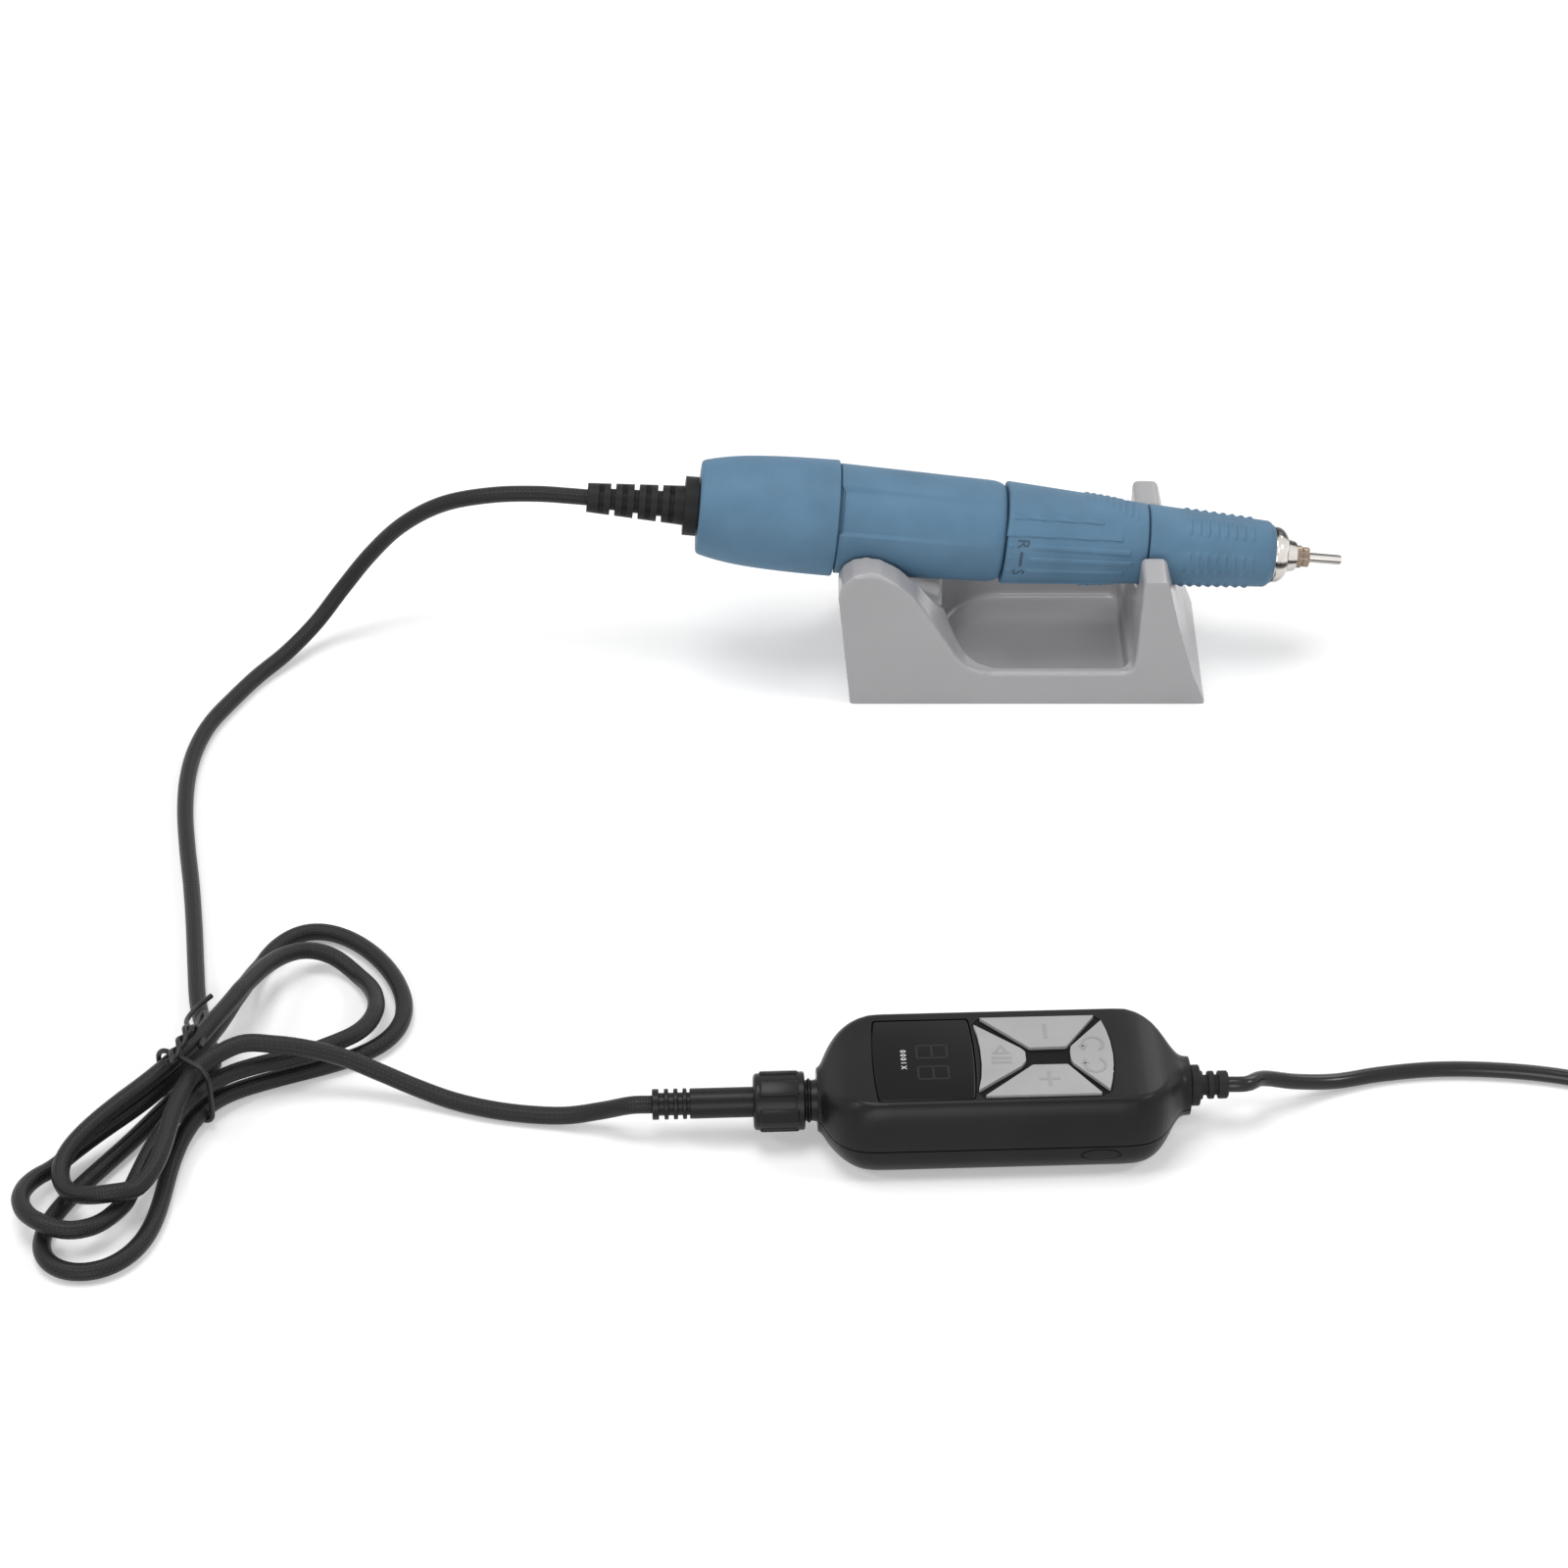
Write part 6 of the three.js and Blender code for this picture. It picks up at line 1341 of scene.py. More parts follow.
def crossSection(x, away, wide, low, high):
    # rounded all over at the ends; one firm crease along each long top edge between them
    ending = 1 - min(max((away - 2) / 10, 0), 1)
    tall = high - low
    bottom = controller["bottomRound"]
    bottom = min(bottom + (tall / 2 - bottom) * ending ** 2, wide - 0.3)
    (nearIn, nearDown), (farIn, farDown) = controller["nearLean"], controller["farLean"]
    endIn = min(controller["endLean"], wide - 0.4)
    nearIn += (endIn - nearIn) * ending
    farIn += (endIn - farIn) * ending
    nearDown += (tall / 2 - nearDown) * ending
    farDown += (tall / 2 - farDown) * ending
    firm = 0.965 + 0.034 * ending
    last = 1 - math.sqrt(1 - firm ** 2)

    def leaning(most, t):
        return most * (1 - math.sqrt(1 - (t * firm) ** 2)) / last

    points = arcPoints(-wide + bottom, low + bottom, bottom, 270, 180, 8)
    for i in range(1, 10):
        t = i / 9
        points.append((-wide + leaning(nearIn, t), high - nearDown * (1 - t)))
    for i in range(9):
        t = 1 - i / 9
        points.append((wide - leaning(farIn, t), high - farDown * (1 - t)))
    points += arcPoints(wide - bottom, low + bottom, bottom, 0, -90, 8)
    return [(x, y, z) for y, z in points]


def controllerBlank():
    half, beyond = controller["length"] / 2, 1.2
    sections = []
    for sign, stations in ((-1, controller["socketEnd"]), (1, controller["leadEnd"])):
        away, wide, low, high = stations[0]
        shape = [(away - beyond, wide, low, high)] + stations
        row = [crossSection(sign * (half - values[0]), *values) for values in shape]
        sections += row if sign < 0 else list(reversed(row))
    blank = loftedPiece("controllerBlank", sections)
    soften(blank, controller["spacing"], controller["relax"])
    return blank


def grown(points, by):
    # each side of an outline moved outwards, met again at the corners
    area = sum(x * v - u * y for (x, y), (u, v) in zip(points, points[1:] + points[:1]))
    turn = 1 if area > 0 else -1
    lines = []
    for (x, y), (u, v) in zip(points, points[1:] + points[:1]):
        size = math.hypot(u - x, v - y)
        normal = (turn * (v - y) / size, -turn * (u - x) / size)
        lines.append((normal, normal[0] * x + normal[1] * y + by))
    result = []
    for (normal, reach), (other, otherReach) in zip(lines, lines[-1:] + lines[:-1]):
        cross = normal[0] * other[1] - other[0] * normal[1]
        if abs(cross) < 0.02:
            x, y = points[len(result)]
            result.append((x + normal[0] * by, y + normal[1] * by))
            continue
        result.append(((reach * other[1] - otherReach * normal[1]) / cross,
                       (normal[0] * otherReach - other[0] * reach) / cross))
    return result


def roundedOutline(points, radius, steps=4):
    # corners of a closed outline replaced with short curves
    result = []
    for before, here, after in zip(points[-1:] + points[:-1], points, points[1:] + points[:1]):
        here, before, after = Vector(here), Vector(before), Vector(after)
        first, second = (before - here), (after - here)
        bend = math.pi - first.angle(second)
        if bend < 0.35:
            result.append(tuple(here))
            continue
        reach = min(radius, first.length * 0.45, second.length * 0.45)
        start, end = here + first.normalized() * reach, here + second.normalized() * reach
        for i in range(steps + 1):
            t = i / steps
            result.append(tuple(start * (1 - t) ** 2 + here * 2 * t * (1 - t) + end * t * t))
    return result


def windowOutline(grow):
    left, right, low, high = controller["window"]
    bow = controller["windowBow"]
    left, right, low, high = left - grow, right + grow, low - grow, high + grow
    shares = [i / 8 for i in range(9)]
    rightSide = [(right + bow * (1 - (2 * t - 1) ** 2), low + (high - low) * t) for t in shares]
    leftSide = [(left - bow * (1 - (2 * t - 1) ** 2), high - (high - low) * t) for t in shares]
    return roundedOutline(rightSide + leftSide, 0.8)


def duplicated(piece, name):
    activate(piece)
    bpy.ops.object.duplicate()
    twin = bpy.context.object
    twin.name = name
    return twin


def makeControllerShells():
    high, half = controller["height"], controller["length"] / 2
    blank = controllerBlank()

    def endRule(co):
        return between(half - abs(co.x) / mm, -9, 5, 5)

    relaxPart(blank, "ends", controller["endRelax"], endRule)
    sliceAway(blank, (half, 0, 0), (1, 0, 0))
    sliceAway(blank, (-half, 0, 0), (-1, 0, 0))
    long, wide, floorAt, roofAt = controller["cavity"]
    hollow = drawnPiece("hollow", arcRectangle(-long, long, -wide, wide, 7), roofAt - floorAt, "xy", floorAt)
    combine(blank, hollow)
    for name, start, bore in (("leftBore", -half - 1, "socketBore"), ("rightBore", long - 2, "leadBore")):
        radius, up = controller[bore]
        combine(blank, rodPiece(name, start, half - long + 3, radius, 48, raised(up)))
    lower = duplicated(blank, "controllerLowerShell")
    upper = blank
    upper.name = "controllerUpperShell"
    sliceAway(upper, (0, 0, controller["parting"] + controller["partingGap"]), (0, 0, -1))
    sliceAway(lower, (0, 0, controller["parting"] - controller["partingGap"]), (0, 0, 1))
    recess = high - controller["windowThickness"] - 0.45
    combine(upper, drawnPiece("windowCut", windowOutline(0.2), 5, "xy", recess))
    left, right, low, top = controller["aperture"]
    combine(upper, drawnPiece("apertureCut", arcRectangle(left, right, low, top, 1.5), 8, "xy", roofAt - 1))
    pocket = roundedOutline(keys["pocket"], 0.5)
    combine(upper, drawnPiece("keyPocket", pocket, 5, "xy", high - keys["pocketDepth"]))
    for name in keyNames:
        opening = roundedOutline(grown(keys[name], keys["shellGap"]), 0.45)
        combine(upper, drawnPiece("keyCut", opening, 8, "xy", roofAt - 1))
    (x, y, z), across, tall = controller["tab"]
    deselectAll()
    bpy.ops.mesh.primitive_torus_add(location=(x * mm, y * mm, z * mm), rotation=(math.pi / 2, 0, 0),
                                     major_radius=1 * mm, minor_radius=controller["tabLine"] * mm,
                                     major_segments=64, minor_segments=8)
    oval = bpy.context.object
    oval.scale = (across, tall, 4)
    bpy.ops.object.transform_apply(location=True, rotation=True, scale=True)
    combine(lower, oval)
    for piece, node in ((upper, "controller_top_shell"), (lower, "controller_bottom_shell")):
        complete(piece, controllerPlace, 32, "mouldedBlack", "moulded_black", "base", node)


def arcRectangle(left, right, low, high, radius, steps=6):
    points = arcPoints(right - radius, high - radius, radius, 0, 90, steps)
    points += arcPoints(left + radius, high - radius, radius, 90, 180, steps)
    points += arcPoints(left + radius, low + radius, radius, 180, 270, steps)
    points += arcPoints(right - radius, low + radius, radius, 270, 360, steps)
    return points


def makeWindow():
    thick, high = controller["windowThickness"], controller["height"]
    piece = drawnPiece("windowPane", windowOutline(-0.05), thick, "xy", high - thick - 0.02)
    roundEdges(piece, 0.22, 3, 50)
    complete(piece, controllerPlace, 35, "windowBlack", "window_black", "base", "display_window")


def makeKey(name, node):
    tall = keys["capHeight"]
    start = controller["height"] + keys["proud"] - tall
    cap = drawnPiece(name + "KeyCap", roundedOutline(keys[name], 0.35), tall, "xy", start)
    roundEdges(cap, keys["round"], 3, 50)
    complete(cap, controllerPlace, 40, "keyGrey", "key_grey", node, node)


def makeKeyShadePlate():
    # dull plate that fills the pocket between the keys; its black, darker than the shell, is painted shade of
    # the recess
    start = controller["height"] - keys["pocketDepth"]
    outline = roundedOutline(grown(keys["pocket"], -0.06), 0.5)
    plate = drawnPiece("keyShadePlate", outline, keys["shadePlateThickness"], "xy", start)
    for name in keyNames:
        opening = roundedOutline(grown(keys[name], keys["plateGap"]), 0.4)
        combine(plate, drawnPiece("shadePlateCut", opening, 4, "xy", start - 1))
    complete(plate, controllerPlace, 30, "paintedShadeBlack", "moulded_black", "base")


makeControllerShells()
makeKeyShadePlate()
makeWindow()
for keyName in keyNames:
    makeKey(keyName, keyName + "_key")
print("controller shaped")


# Cable boot with staggered slots
boot = {
    "length": 26.8,
    "tip": 3.5,
    "root": 4.75,
    "tipCollar": 2.7,
    "flange": (7.1, 3.2),                # radius and length
    "bore": 2.2,
    "core": 2.95,
    "coreGrowth": 0.12,                  # from slot to slot
    "stub": 4.0,
    "lock": (2.7, 1.5, 5.6),             # start, length and radius of the collar inside the cap
    "slots": 7,
    "slotWidth": 1.25,
    "webTurn": 52,                       # degrees round the axis of the first pair of webs
    "edge": 0.16,
}


def makeBoot():
    tip, root = -boot["length"], -boot["flange"][1] - fitGap
    flange, stub, bore = boot["flange"][0], boot["stub"], boot["bore"]
    lock, lockLength, lockRadius = boot["lock"]
    profile = [(tip, bore), (tip, boot["tip"])]
    profile += straightProfile((tip, boot["tip"]), (root, boot["root"]), 2.4)[1:]
    profile += [(root, flange), (-fitGap, flange), (-fitGap, stub), (lock, stub), (lock, lockRadius),
                (lock + lockLength, lockRadius), (lock + lockLength, bore)]
    piece = turnedPiece("cableBoot", profile, 64)
    settleMesh(piece)
    pitch = (root - tip - boot["tipCollar"] - 0.9) / boot["slots"]
    for k in range(boot["slots"]):
        at = tip + boot["tipCollar"] + pitch * k
        far = at + boot["slotWidth"]
        core = boot["core"] - 0.5 + boot["coreGrowth"] * k
        cutter = turnedPiece("slotCut", [(at, core), (at, 9), (far, 9), (far, core), (at, core)], 48)
        settleMesh(cutter)
        if k % 2 == 0:
            web = blockPiece("slotWeb", (at - 1, -1.5, -10), (at + 3, 1.5, 10))
            turnRound(web, math.radians(boot["webTurn"]) + math.pi / 2)
            combine(cutter, web)
        combine(piece, cutter)
    roundEdges(piece, boot["edge"], 2, 40)
    complete(piece, handpiecePlace, 30, "rubberBlack", "rubber_black", "handpiece", "cable_boot")


# Polished nose, spindle collar, collet and test pin
nose = {
    "length": 5.4,
    "outline": [(0.25, 6.75), (0.9, 6.7), (1.7, 6.35), (2.4, 5.75), (2.95, 4.95), (3.2, 4.4)],
    "cone": [(3.3, 4.05), (4.9, 3.62), (5.25, 3.45), (5.4, 3.3)],
    "bore": 3.2,
    "stub": 6.2,
    "stubLength": 3,
    "spindle": (2.72, 1.3),              # radius and length
    "tip": (2.4, 1.6),
    "slit": 0.42,
    "slitTurn": -62,
    "pin": (1.175, 8.0, 0.3),            # radius, length before the collet, chamfer
    "pinLength": 34,
}


def makeNose():
    start, bore, stub = noseStart, nose["bore"], nose["stub"]
    rear = start - nose["stubLength"]
    profile = [(rear, bore), (rear, stub), (start, stub), (start, 6.6)]
    profile += [(start + a, r) for a, r in curvedProfile(nose["outline"], 0.25)]
    profile += [(start + 3.25, 4.1)] + [(start + a, r) for a, r in nose["cone"]]
    profile += [(start + nose["length"], bore), (rear, bore)]
    piece = turnedPiece("noseConeShell", profile, 128)
    complete(piece, handpiecePlace, 32, "chrome", "chrome", "handpiece", "nose_cone")


def makeSpindleCollar():
    # the collar stands on the CAD spindle and turns with it
    radius, proud = nose["spindle"]
    end = noseStart + nose["length"] + proud
    outer, groove, bore = radius + 0.05, radius - 0.22, 2.1
    profile = [(end - 2.6, bore), (end - 2.6, outer), (end - 1.0, outer), (end - 0.95, groove),
               (end - 0.75, groove), (end - 0.7, outer), (end - 0.12, outer), (end + 0.02, radius - 0.12),
               (end + 0.02, bore), (end - 2.6, bore)]
    piece = turnedPiece("spindleCollar", profile, 96)
    complete(piece, handpiecePlace, 32, "bronze", "bronze", "rotor")


def makeColletTip():
    radius, length = nose["tip"]
    start = noseStart + nose["length"] + nose["spindle"][1] + fitGap
    end, rear, bore = start + length, start - 0.2, 1.35
    profile = [(rear, bore), (rear, 2.0), (start, 2.02), (start + 0.05, radius - 0.2), (start + 0.2, radius),
               (end - 0.45, radius + 0.02), (end - 0.15, radius - 0.22), (end + 0.03, radius - 0.75),
               (end + 0.03, bore), (rear, bore)]
    piece = turnedPiece("colletTip", profile, 96)
    settleMesh(piece)
    for k in range(3):
        slit = blockPiece("slitCut", (start - 1, -nose["slit"] / 2, 0.6), (end + 1, nose["slit"] / 2, 4))
        turnRound(slit, math.radians(nose["slitTurn"] + 120 * k))
        combine(piece, slit)
    roundEdges(piece, 0.05, 2, 50)
    complete(piece, handpiecePlace, 32, "bronze", "bronze", "collet")


def makePin():
    radius, proud, chamfer = nose["pin"]
    start = noseStart + nose["length"] + nose["spindle"][1] + fitGap + nose["tip"][1]
    end, core = start + proud, 0.3
    rear = end - nose["pinLength"]
    profile = [(rear, core), (rear, radius - 0.1), (rear + 0.2, radius), (end - chamfer, radius),
               (end, radius - chamfer), (end, radius - 0.62), (end - 0.35, radius - 0.85), (end - 0.35, core),
               (rear, core)]
    piece = turnedPiece("testPinRod", profile, 64)
    complete(piece, handpiecePlace, 32, "pinSteel", "steel", "bit", "test_pin")


makeBoot()
makeNose()
makeSpindleCollar()
makeColletTip()
makePin()
print("boot and nose turned")


# Printed marks of the chuck ring, laid on its surface
ringMarks = {
    "letterSize": 4.1,
    "thick": 0.16,
    "lift": 0.11,
    "marks": [("R", 157.5, 3.75), ("S", 196.5, 3.4)],      # angle, distance from the ring's rear edge
    "dash": (177.2, 3.7, 2.0, 0.33),       # the same, then half length and half width
}


def flatText(name, words, size, depth, spacing=1.0):
    # words lie in the X-Y plane with their middle at the origin, as a mesh
    deselectAll()
    bpy.ops.object.text_add(location=(0, 0, 0))
    piece = bpy.context.object
    piece.name = name
    piece.data.body = words
    piece.data.size = size * mm
    piece.data.align_x = "CENTER"
    piece.data.align_y = "CENTER"
    piece.data.extrude = depth / 2 * mm
    piece.data.space_character = spacing
    bpy.ops.object.convert(target="MESH")
    return bpy.context.object


def bendOnto(piece, alongMiddle, angleMiddle, radiusAt):
    # lays the flat piece round the handpiece: its X runs round the axis, its Y along it
    for corner in piece.data.vertices:
        x, y, z = (value / mm for value in corner.co)
        along = alongMiddle + y
        radius = radiusAt(along) + z
        angle = math.radians(angleMiddle) + x / radiusAt(along)
        corner.co = Vector((along, radius * math.cos(angle), radius * math.sin(angle))) * mm


def subdivided(piece, cuts):
    editAll(piece)
    bpy.ops.mesh.subdivide(number_cuts=cuts)
    finishEditing()


def makeRingMarks():
    lift, thick = ringMarks["lift"], ringMarks["thick"]

    def skin(along):
        return ringRadius(along - ringStart) - thick / 2 + lift

    pieces = []
    for words, angle, along in ringMarks["marks"]:
        piece = flatText("ringMark" + words, words, ringMarks["letterSize"], thick)
        applyModifier(piece, "REMESH", "evenMark", mode="SHARP", octree_depth=6,
                      use_remove_disconnected=False)
        pieces.append((piece, angle, along))
    angle, along, half, wide = ringMarks["dash"]
    dash = blockPiece("ringMarkDash", (-half, -wide, -thick / 2), (half, wide, thick / 2))
    subdivided(dash, 6)
    pieces.append((dash, angle, along))
    for piece, angle, along in pieces:
        bendOnto(piece, ringStart + along, angle, skin)
        settleMesh(piece, handpiecePlace)
        dress(piece, "printBlue", "grip_blue", "chuck_ring")


makeRingMarks()
print("ring marks laid")


# Connector, coupling nut, socket and supply relief; along the controller's X
link = {
    "axis": 9,
    "face": -39.6,
    "nut": (-53.2, -42.3, 6.05),
    "nutBore": 5.2,
    "nutRearWall": 1.5,
    "pads": 6,
    "padWidth": 3.6,
    "padProud": 0.38,
    "padRound": 0.5,
    "barrel": (-50.0, 4.75, 3.7),
    "threadPitch": 1.15,
    "threadDepth": 0.42,
    "sleeve": (-66.7, 3.25),
    "relief": (-74.7, 3.3, 2.45),
    "ribs": [(-74.7, -73.25), (-72.15, -71.2), (-70.15, -69.2), (-68.2, -67.3)],
    "ribEdge": 0.16,
    "sleeveBore": 1.0,
    "sleeveFront": [(-53.4, 3.25), (-51.4, 3.25), (-51.4, 4.6), (-50.4, 4.6), (-50.4, 3.3), (-46.2, 3.3),
                    (-46.2, 2.6), (-51.1, 2.6), (-51.1, 1.0)],
    "barrelFlange": (-30.7, -29.5, 5.9),      # start, end, radius
}
linkPlace = controllerPlace @ raised(link["axis"])


def makeConnectorSleeve():
    start, radius = link["sleeve"]
    first, rib, core = link["relief"]
    edge = link["ribEdge"]
    profile = [(first, link["sleeveBore"])]
    for a, b in link["ribs"]:
        profile += [(a, core), (a, rib - edge), (a + edge, rib), (b - edge, rib), (b, rib - edge), (b, core)]
    profile += [(start, core), (start, radius - 0.12), (start + 0.12, radius), *link["sleeveFront"]]
    profile = [point for point, before in zip(profile, [None] + profile[:-1]) if point != before]
    piece = turnedPiece("connectorSleeveShell", profile, 72)
    complete(piece, linkPlace, 32, "mouldedBlack", "moulded_black", "base", "connector_sleeve")


def makeCouplingNut():
    start, end, radius = link["nut"]
    bore, hole = link["nutBore"], link["sleeve"][1] + 0.42
    wall, rim = start + link["nutRearWall"], radius + 0.18
    turns = [math.pi / 2 * i / 5 for i in range(1, 6)]
    profile = [(start, hole), (start, radius - 1.1)]
    profile += [(start + 0.75 * (1 - math.cos(t)), radius - 1.1 + 1.1 * math.sin(t)) for t in turns]
    profile += [(end - 1.9, radius), (end - 1.75, rim), (end - 0.25, rim), (end, radius - 0.1), (end, bore),
                (wall, bore), (wall, hole), (start, hole)]
    piece = turnedPiece("couplingNutShell", profile, 120)
    settleMesh(piece)
    half, padTop = link["padWidth"] / 2, radius + link["padProud"]
    for k in range(link["pads"]):
        pad = blockPiece("nutPad", (start + 1.3, -half, radius - 0.8), (end - 1.2, half, padTop))
        roundEdges(pad, link["padRound"], 3, 30)
        turnRound(pad, 2 * math.pi * (k + 0.35) / link["pads"])
        combine(piece, pad, "UNION")
    complete(piece, linkPlace, 32, "mouldedBlack", "moulded_black", "coupling_nut", "coupling_nut")


def makeSocketBarrel():
    start, radius, bore = link["barrel"]
    pitch, deep = link["threadPitch"], link["threadDepth"]
    count = int((link["face"] - 0.35 - start) / pitch)
    profile = [(start, bore), (start, radius - deep)]
    for k in range(count):
        at = start + 0.1 + pitch * k
        profile += [(at + pitch * 0.3, radius), (at + pitch * 0.5, radius), (at + pitch * 0.8, radius - deep),
                    (at + pitch * 0.98, radius - deep)]
    flangeStart, flangeEnd, flangeRadius = link["barrelFlange"]
    profile += [(link["face"], radius - 0.2), (flangeStart, radius - 0.2), (flangeStart, flangeRadius),
                (flangeEnd, flangeRadius), (flangeEnd, bore), (start, bore)]
    piece = turnedPiece("socketBarrelShell", profile, 96)
    complete(piece, linkPlace, 32, "mouldedBlack", "moulded_black", "base", "socket_barrel")


supply = {
    "axis": 10.5,
    "face": 39.9,
    "flange": (4.4, 1.9),
    "core": 2.2,
    "rib": 3.0,
    "ribEdge": 0.16,
    "bore": 1.6,
    "end": 48.0,
    "inner": [(29.5, 4.4), (30.7, 4.4), (30.7, 3.2)],      # the part inside the controller
}


def makeSupplyRelief():
    face, core, rib, end, edge = (supply[key] for key in ("face", "core", "rib", "end", "ribEdge"))
    wide, thick = supply["flange"]
    inner, bore = supply["inner"], supply["bore"]
    first, outer = inner[0][0], face + thick
    profile = [(first, bore), *inner, (face, 3.2), (face, wide - edge), (face + edge, wide),
               (outer - edge, wide), (outer, wide - edge), (outer, 3.3), (outer + 0.7, 3.0),
               (outer + 0.75, core), (face + 3.7, core), (face + 3.7, rib - edge), (face + 3.9, rib),
               (face + 4.9, rib), (face + 5.05, rib - edge), (face + 5.05, core), (face + 5.9, core),
               (face + 5.9, rib - edge), (face + 6.05, rib), (end - 0.35, rib), (end, rib - 0.35),
               (end, bore), (first, bore)]
    piece = turnedPiece("supplyReliefShell", profile, 72)
    place = controllerPlace @ raised(supply["axis"])
    complete(piece, place, 32, "rubberBlack", "moulded_black", "base", "supply_relief")


makeConnectorSleeve()
makeCouplingNut()
makeSocketBarrel()
makeSupplyRelief()
print("connector shaped")


# Words of the window and symbols of the keys
signs = {
    "depth": 0.10,
    "unit": ("X1000", 1.68, (-21.3, -0.1)),
    "unitSpacing": 1.45,
    "digits": [((-15.3, 2.3), 6.4), ((-15.3, -4.3), 6.4)],
    "digitWidth": 3.9,
    "digitStroke": 0.42,
    "keyDepth": 0.09,
    "minus": (9.2, 7.1),
    "plus": (8.9, -7.9),
    "run": (-0.7, -0.4),
    "direction": (18.7, -0.6),
    "reach": 1.9,                # half length of the minus and plus strokes
}


def barPiece(name, first, second, wide, low, high):
    # a straight stroke between two points of the controller's plan
    a, b = Vector(first), Vector(second)
    half = (b - a).length / 2 + wide / 2
    piece = blockPiece(name, (-half, -wide / 2, low), (half, wide / 2, high))
    roundEdges(piece, min(wide, high - low) * 0.3, 2, 50)
    middle, turn = (a + b) / 2, math.atan2((b - a).y, (b - a).x)
    settleMesh(piece, Matrix.Translation((middle.x * mm, middle.y * mm, 0)) @ Matrix.Rotation(turn, 4, "Z"))
    return piece


def arcPiece(name, middle, radius, start, end, wide, low, high):
    outer = arcPoints(middle[0], middle[1], radius + wide / 2, start, end, 18)
    inner = arcPoints(middle[0], middle[1], radius - wide / 2, end, start, 18)
    return drawnPiece(name, outer + inner, high - low, "xy", low)


def makeSigns():
    top = controller["height"] - 0.02
    words, size, (x, y) = signs["unit"]
    text = flatText("windowUnit", words, size, signs["depth"], signs["unitSpacing"])
    turn = Matrix.Rotation(math.pi / 2, 4, "Z")
    settleMesh(text, controllerPlace @ Matrix.Translation((x * mm, y * mm, top * mm)) @ turn)
    dress(text, "markWhite", "window_black", "base")
    wide, stroke = signs["digitWidth"] / 2, signs["digitStroke"]
    strokes = []
    for (x, y), tall in signs["digits"]:
        # the digits read from the left end of the controller
        half = tall / 2
        corners = {"a": (x - half, y - wide), "b": (x - half, y + wide), "c": (x, y - wide),
                   "d": (x, y + wide), "e": (x + half, y - wide), "f": (x + half, y + wide)}
        for first, second in ("ab", "cd", "ef", "ac", "bd", "ce", "df"):
            p, q = Vector(corners[first]), Vector(corners[second])
            trim = (q - p).normalized() * stroke * 0.7
            strokes.append(barPiece("digitStroke", p + trim, q - trim, stroke, top - 0.05, top + 0.02))
    digits = joinPieces("windowDigits", strokes)
    settleMesh(digits, controllerPlace)
    dress(digits, "printGrey", "window_black", "base")

    keyTop, reach = controller["height"] + keys["proud"], signs["reach"]
    low, high = keyTop - 0.05, keyTop + signs["keyDepth"]
    x, y = signs["minus"]
    minus = barPiece("minusSign", (x, y - reach), (x, y + reach), 0.75, low, high)
    x, y = signs["plus"]
    plus = barPiece("plusSign", (x, y - reach), (x, y + reach), 0.7, low, high)
    combine(plus, barPiece("plusStroke", (x - reach, y), (x + reach, y), 0.7, low, high), "UNION")
    x, y = signs["run"]
    triangle = [(x - 1.9, y + 0.7), (x + 1.9, y + 0.7), (x, y + 3.6)]
    hollow = [(x - 1.05, y + 1.15), (x + 1.05, y + 1.15), (x, y + 2.75)]
    play = drawnPiece("playStroke", triangle, high - low, "xy", low)
    combine(play, drawnPiece("playCut", hollow, 3, "xy", low - 1))
    pause = [barPiece("pauseStroke", (x - 1.8, y - down), (x + 1.8, y - down), 0.62, low, high)
             for down in (0.6, 2.0)]
    run = joinPieces("runSign", [play, *pause])
    x, y = signs["direction"]
    arrows = []
    for side in (1, -1):
        middle = (x + 0.2, y + side * 3.3)
        arrows.append(arcPiece("turnStroke", middle, 2.2, -60 * side, 200 * side, 0.55, low, high))
        tipX, tipY = x - 1.85, y + side * 2.55
        tip = [(tipX - 0.9, tipY + side * 0.3), (tipX + 0.9, tipY + side * 0.3),
               (tipX - 0.1, tipY - side * 1.3)]
        arrows.append(drawnPiece("turnTip", tip, high - low, "xy", low))
    direction = joinPieces("directionSign", arrows)
    for piece, name in zip((minus, plus, run, direction), keyNames):
        complete(piece, controllerPlace, 40, "signGrey", "key_grey", name + "_key")


makeSigns()
print("signs laid")


# Twist tie round the waist of the hank
tie = {
    "wire": 1.15,
    "middle": (-185.0, -84.2),
    "turn": 145,                 # degrees: the direction across the bundle
    "reach": 2.4,                # strands this near to the band's plane are held by it
    "corner": 3.4,
    "knot": (-187.6, -86.9, 1.2),              # height above the top of the bundle
    "twists": 1.5,
    "twistRadius": 0.66,
    "twistEnd": (-184.8, -74.6, 0.4),
    "longTail": [(-185.4, -70.2, 12.6), (-186.6, -66.2, 11), (-185.4, -60.4, 9.6), (-182.4, -56.1, 9.6)],
    "shortTail": [(-183.9, -69.6, 12.6), (-183.8, -64.4, 10.8), (-183.2, -62.9, 10.7), (-182.5, -64.6, 11.4),
                  (-182.0, -70.5, 12.8), (-182.0, -78.6, 14.6)],
}


def heldStrands():
    # span across the bundle and height of the strands that the band goes round
    turn = math.radians(tie["turn"])
    across = Vector((math.cos(turn), math.sin(turn)))
    forward = Vector((math.sin(turn), -math.cos(turn)))
    spans, heights = [], []
    for x, y, z in laidHank:
        away = Vector((x, y)) - Vector(tie["middle"])
        if abs(away.dot(forward)) < tie["reach"] and abs(away.dot(across)) < 14:
            spans.append(away.dot(across))
            heights.append(z)
    clear = hank["cord"] / 2 + tie["wire"] / 2 + fitGap
    return min(spans) - clear, max(spans) + clear, max(heights) + clear


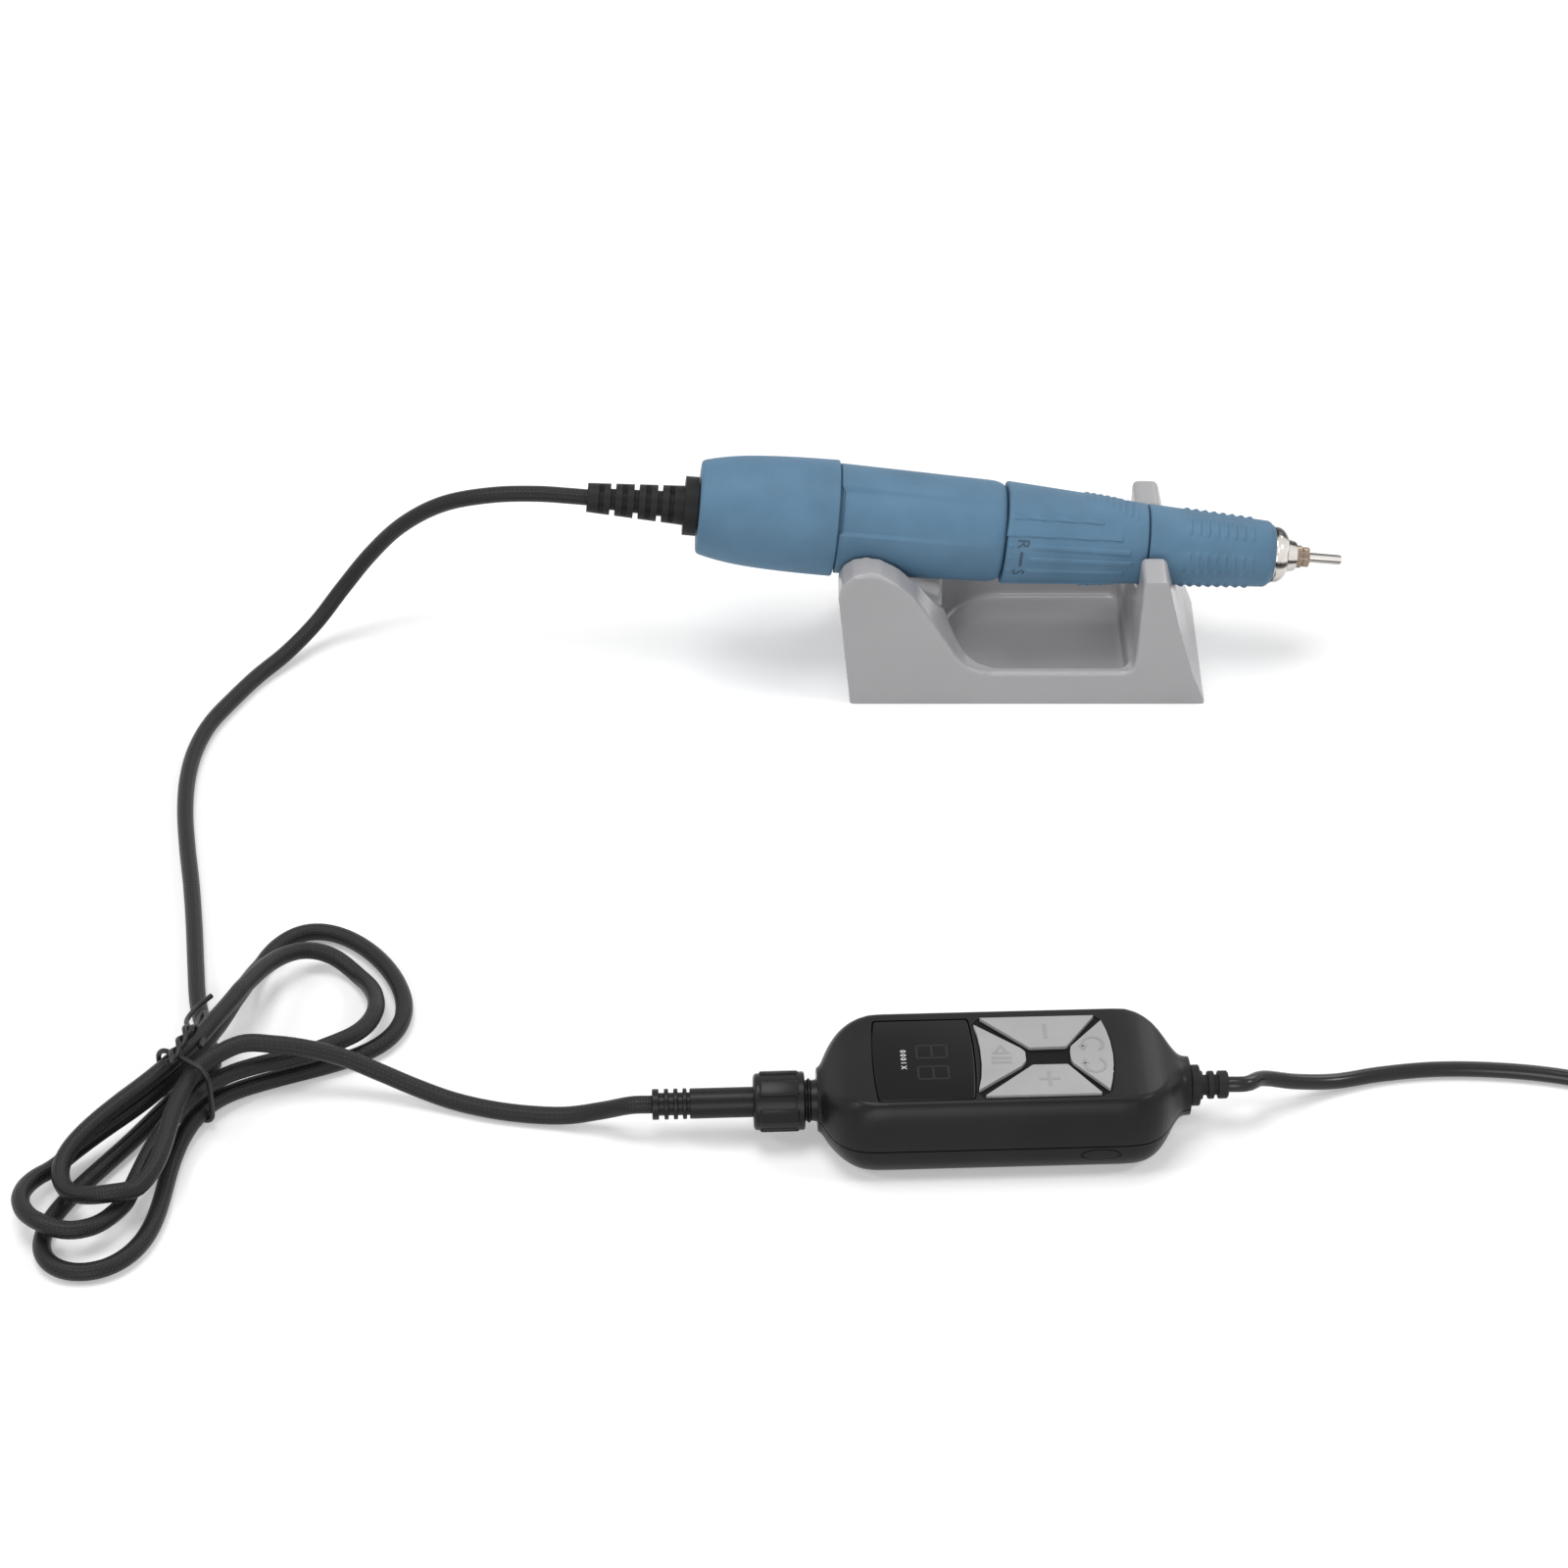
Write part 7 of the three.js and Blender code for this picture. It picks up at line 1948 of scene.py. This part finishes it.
def makeTie():
    wire, corner = tie["wire"], tie["corner"]
    left, right, high = heldStrands()
    low = wire / 2 + fitGap
    print("tie band", round(left, 1), round(right, 1), round(high, 1))
    turn = math.radians(tie["turn"])
    across = Vector((math.cos(turn), math.sin(turn), 0))
    middle = Vector((*tie["middle"], 0)) + across * (left + right) / 2
    half, rise, level = (right - left) / 2, (high - low) / 2, (high + low) / 2
    band = []
    for quarter, (side, top) in enumerate([(1, 1), (-1, 1), (-1, -1), (1, -1)]):
        for i in range(7):
            angle = math.pi / 2 * (quarter + i / 6)
            u = side * (half - corner) + corner * math.cos(angle)
            v = top * (rise - corner) + corner * math.sin(angle)
            band.append(middle + across * u + Vector((0, 0, level + v)))
    band.append(band[0])
    knot = Vector(tie["knot"]) + Vector((0, 0, high))
    end = Vector(tie["twistEnd"]) + Vector((0, 0, high))
    run = end - knot
    side = run.cross(Vector((0, 0, 1))).normalized()
    up = side.cross(run).normalized()
    tails = []
    for phase, tail in ((0, tie["longTail"]), (math.pi, tie["shortTail"])):
        points = []
        for i in range(13):
            share = i / 12
            angle = phase + 2 * math.pi * tie["twists"] * share
            outwards = (side * math.cos(angle) + up * math.sin(angle)) * tie["twistRadius"]
            points.append(knot + run * share + outwards)
        tails.append(points + [Vector(p) for p in tail])
    pieces = [cordTube("tieBand", band, wire, 0.6)[0]]
    pieces += [cordTube("tieTail", points, wire, 0.5)[0] for points in tails]
    piece = joinPieces("twistTie", pieces)
    complete(piece, None, 60, "wireBlack", "moulded_black", "base", "cord_tie")


makeTie()
print("tie wound")

# Finishes of the carried-over nodes
nodeFinishes = {
    "gripBlue": ["rear_cap", "motor_housing", "chuck_ring", "front_grip"],
    "mouldedBlack": [
        "controller_top_shell", "controller_bottom_shell", "display_module", "socket_barrel", "socket_insert",
        "coupling_nut", "connector_sleeve", "connector_insert", "supply_relief", "plug_grip", "end_bell",
        "drive_coupling", "cord_tie",
    ],
    "rubberBlack": ["cable_boot"],
    "windowBlack": ["display_window"],
    "cradleGrey": ["cradle"],
    "keyGrey": ["minus_key", "plus_key", "direction_key", "run_key"],
    "chrome": ["nose_cone"],
    "steel": [
        "motor_can", "upper_brush_spring", "lower_brush_spring", "rear_bearing_outer", "rear_bearing_inner",
        "front_bearing_outer", "front_bearing_inner", "motor_shaft", "armature_core",
        "spindle_rear_bearing_outer", "spindle_rear_bearing_inner", "spindle_front_bearing_outer",
        "spindle_front_bearing_inner", "inner_barrel", "chuck_spring", "case_screw_1", "case_screw_2",
        "plug_barrel", "test_pin",
    ],
    "bronze": ["spindle", "collet", "cam_sleeve"],
    "copper": ["armature_winding", "commutator"],
    "magnet": ["magnet_ring"],
    "carbon": ["upper_brush", "lower_brush"],
    "boardGreen": ["circuit_board"],
    "silicone": ["key_membrane"],
}
for finish, names in nodeFinishes.items():
    for name in names:
        node = bpy.data.objects[name]
        for slot in node.material_slots:
            slot.material = finishMaterial(finish)
print("finishes set")
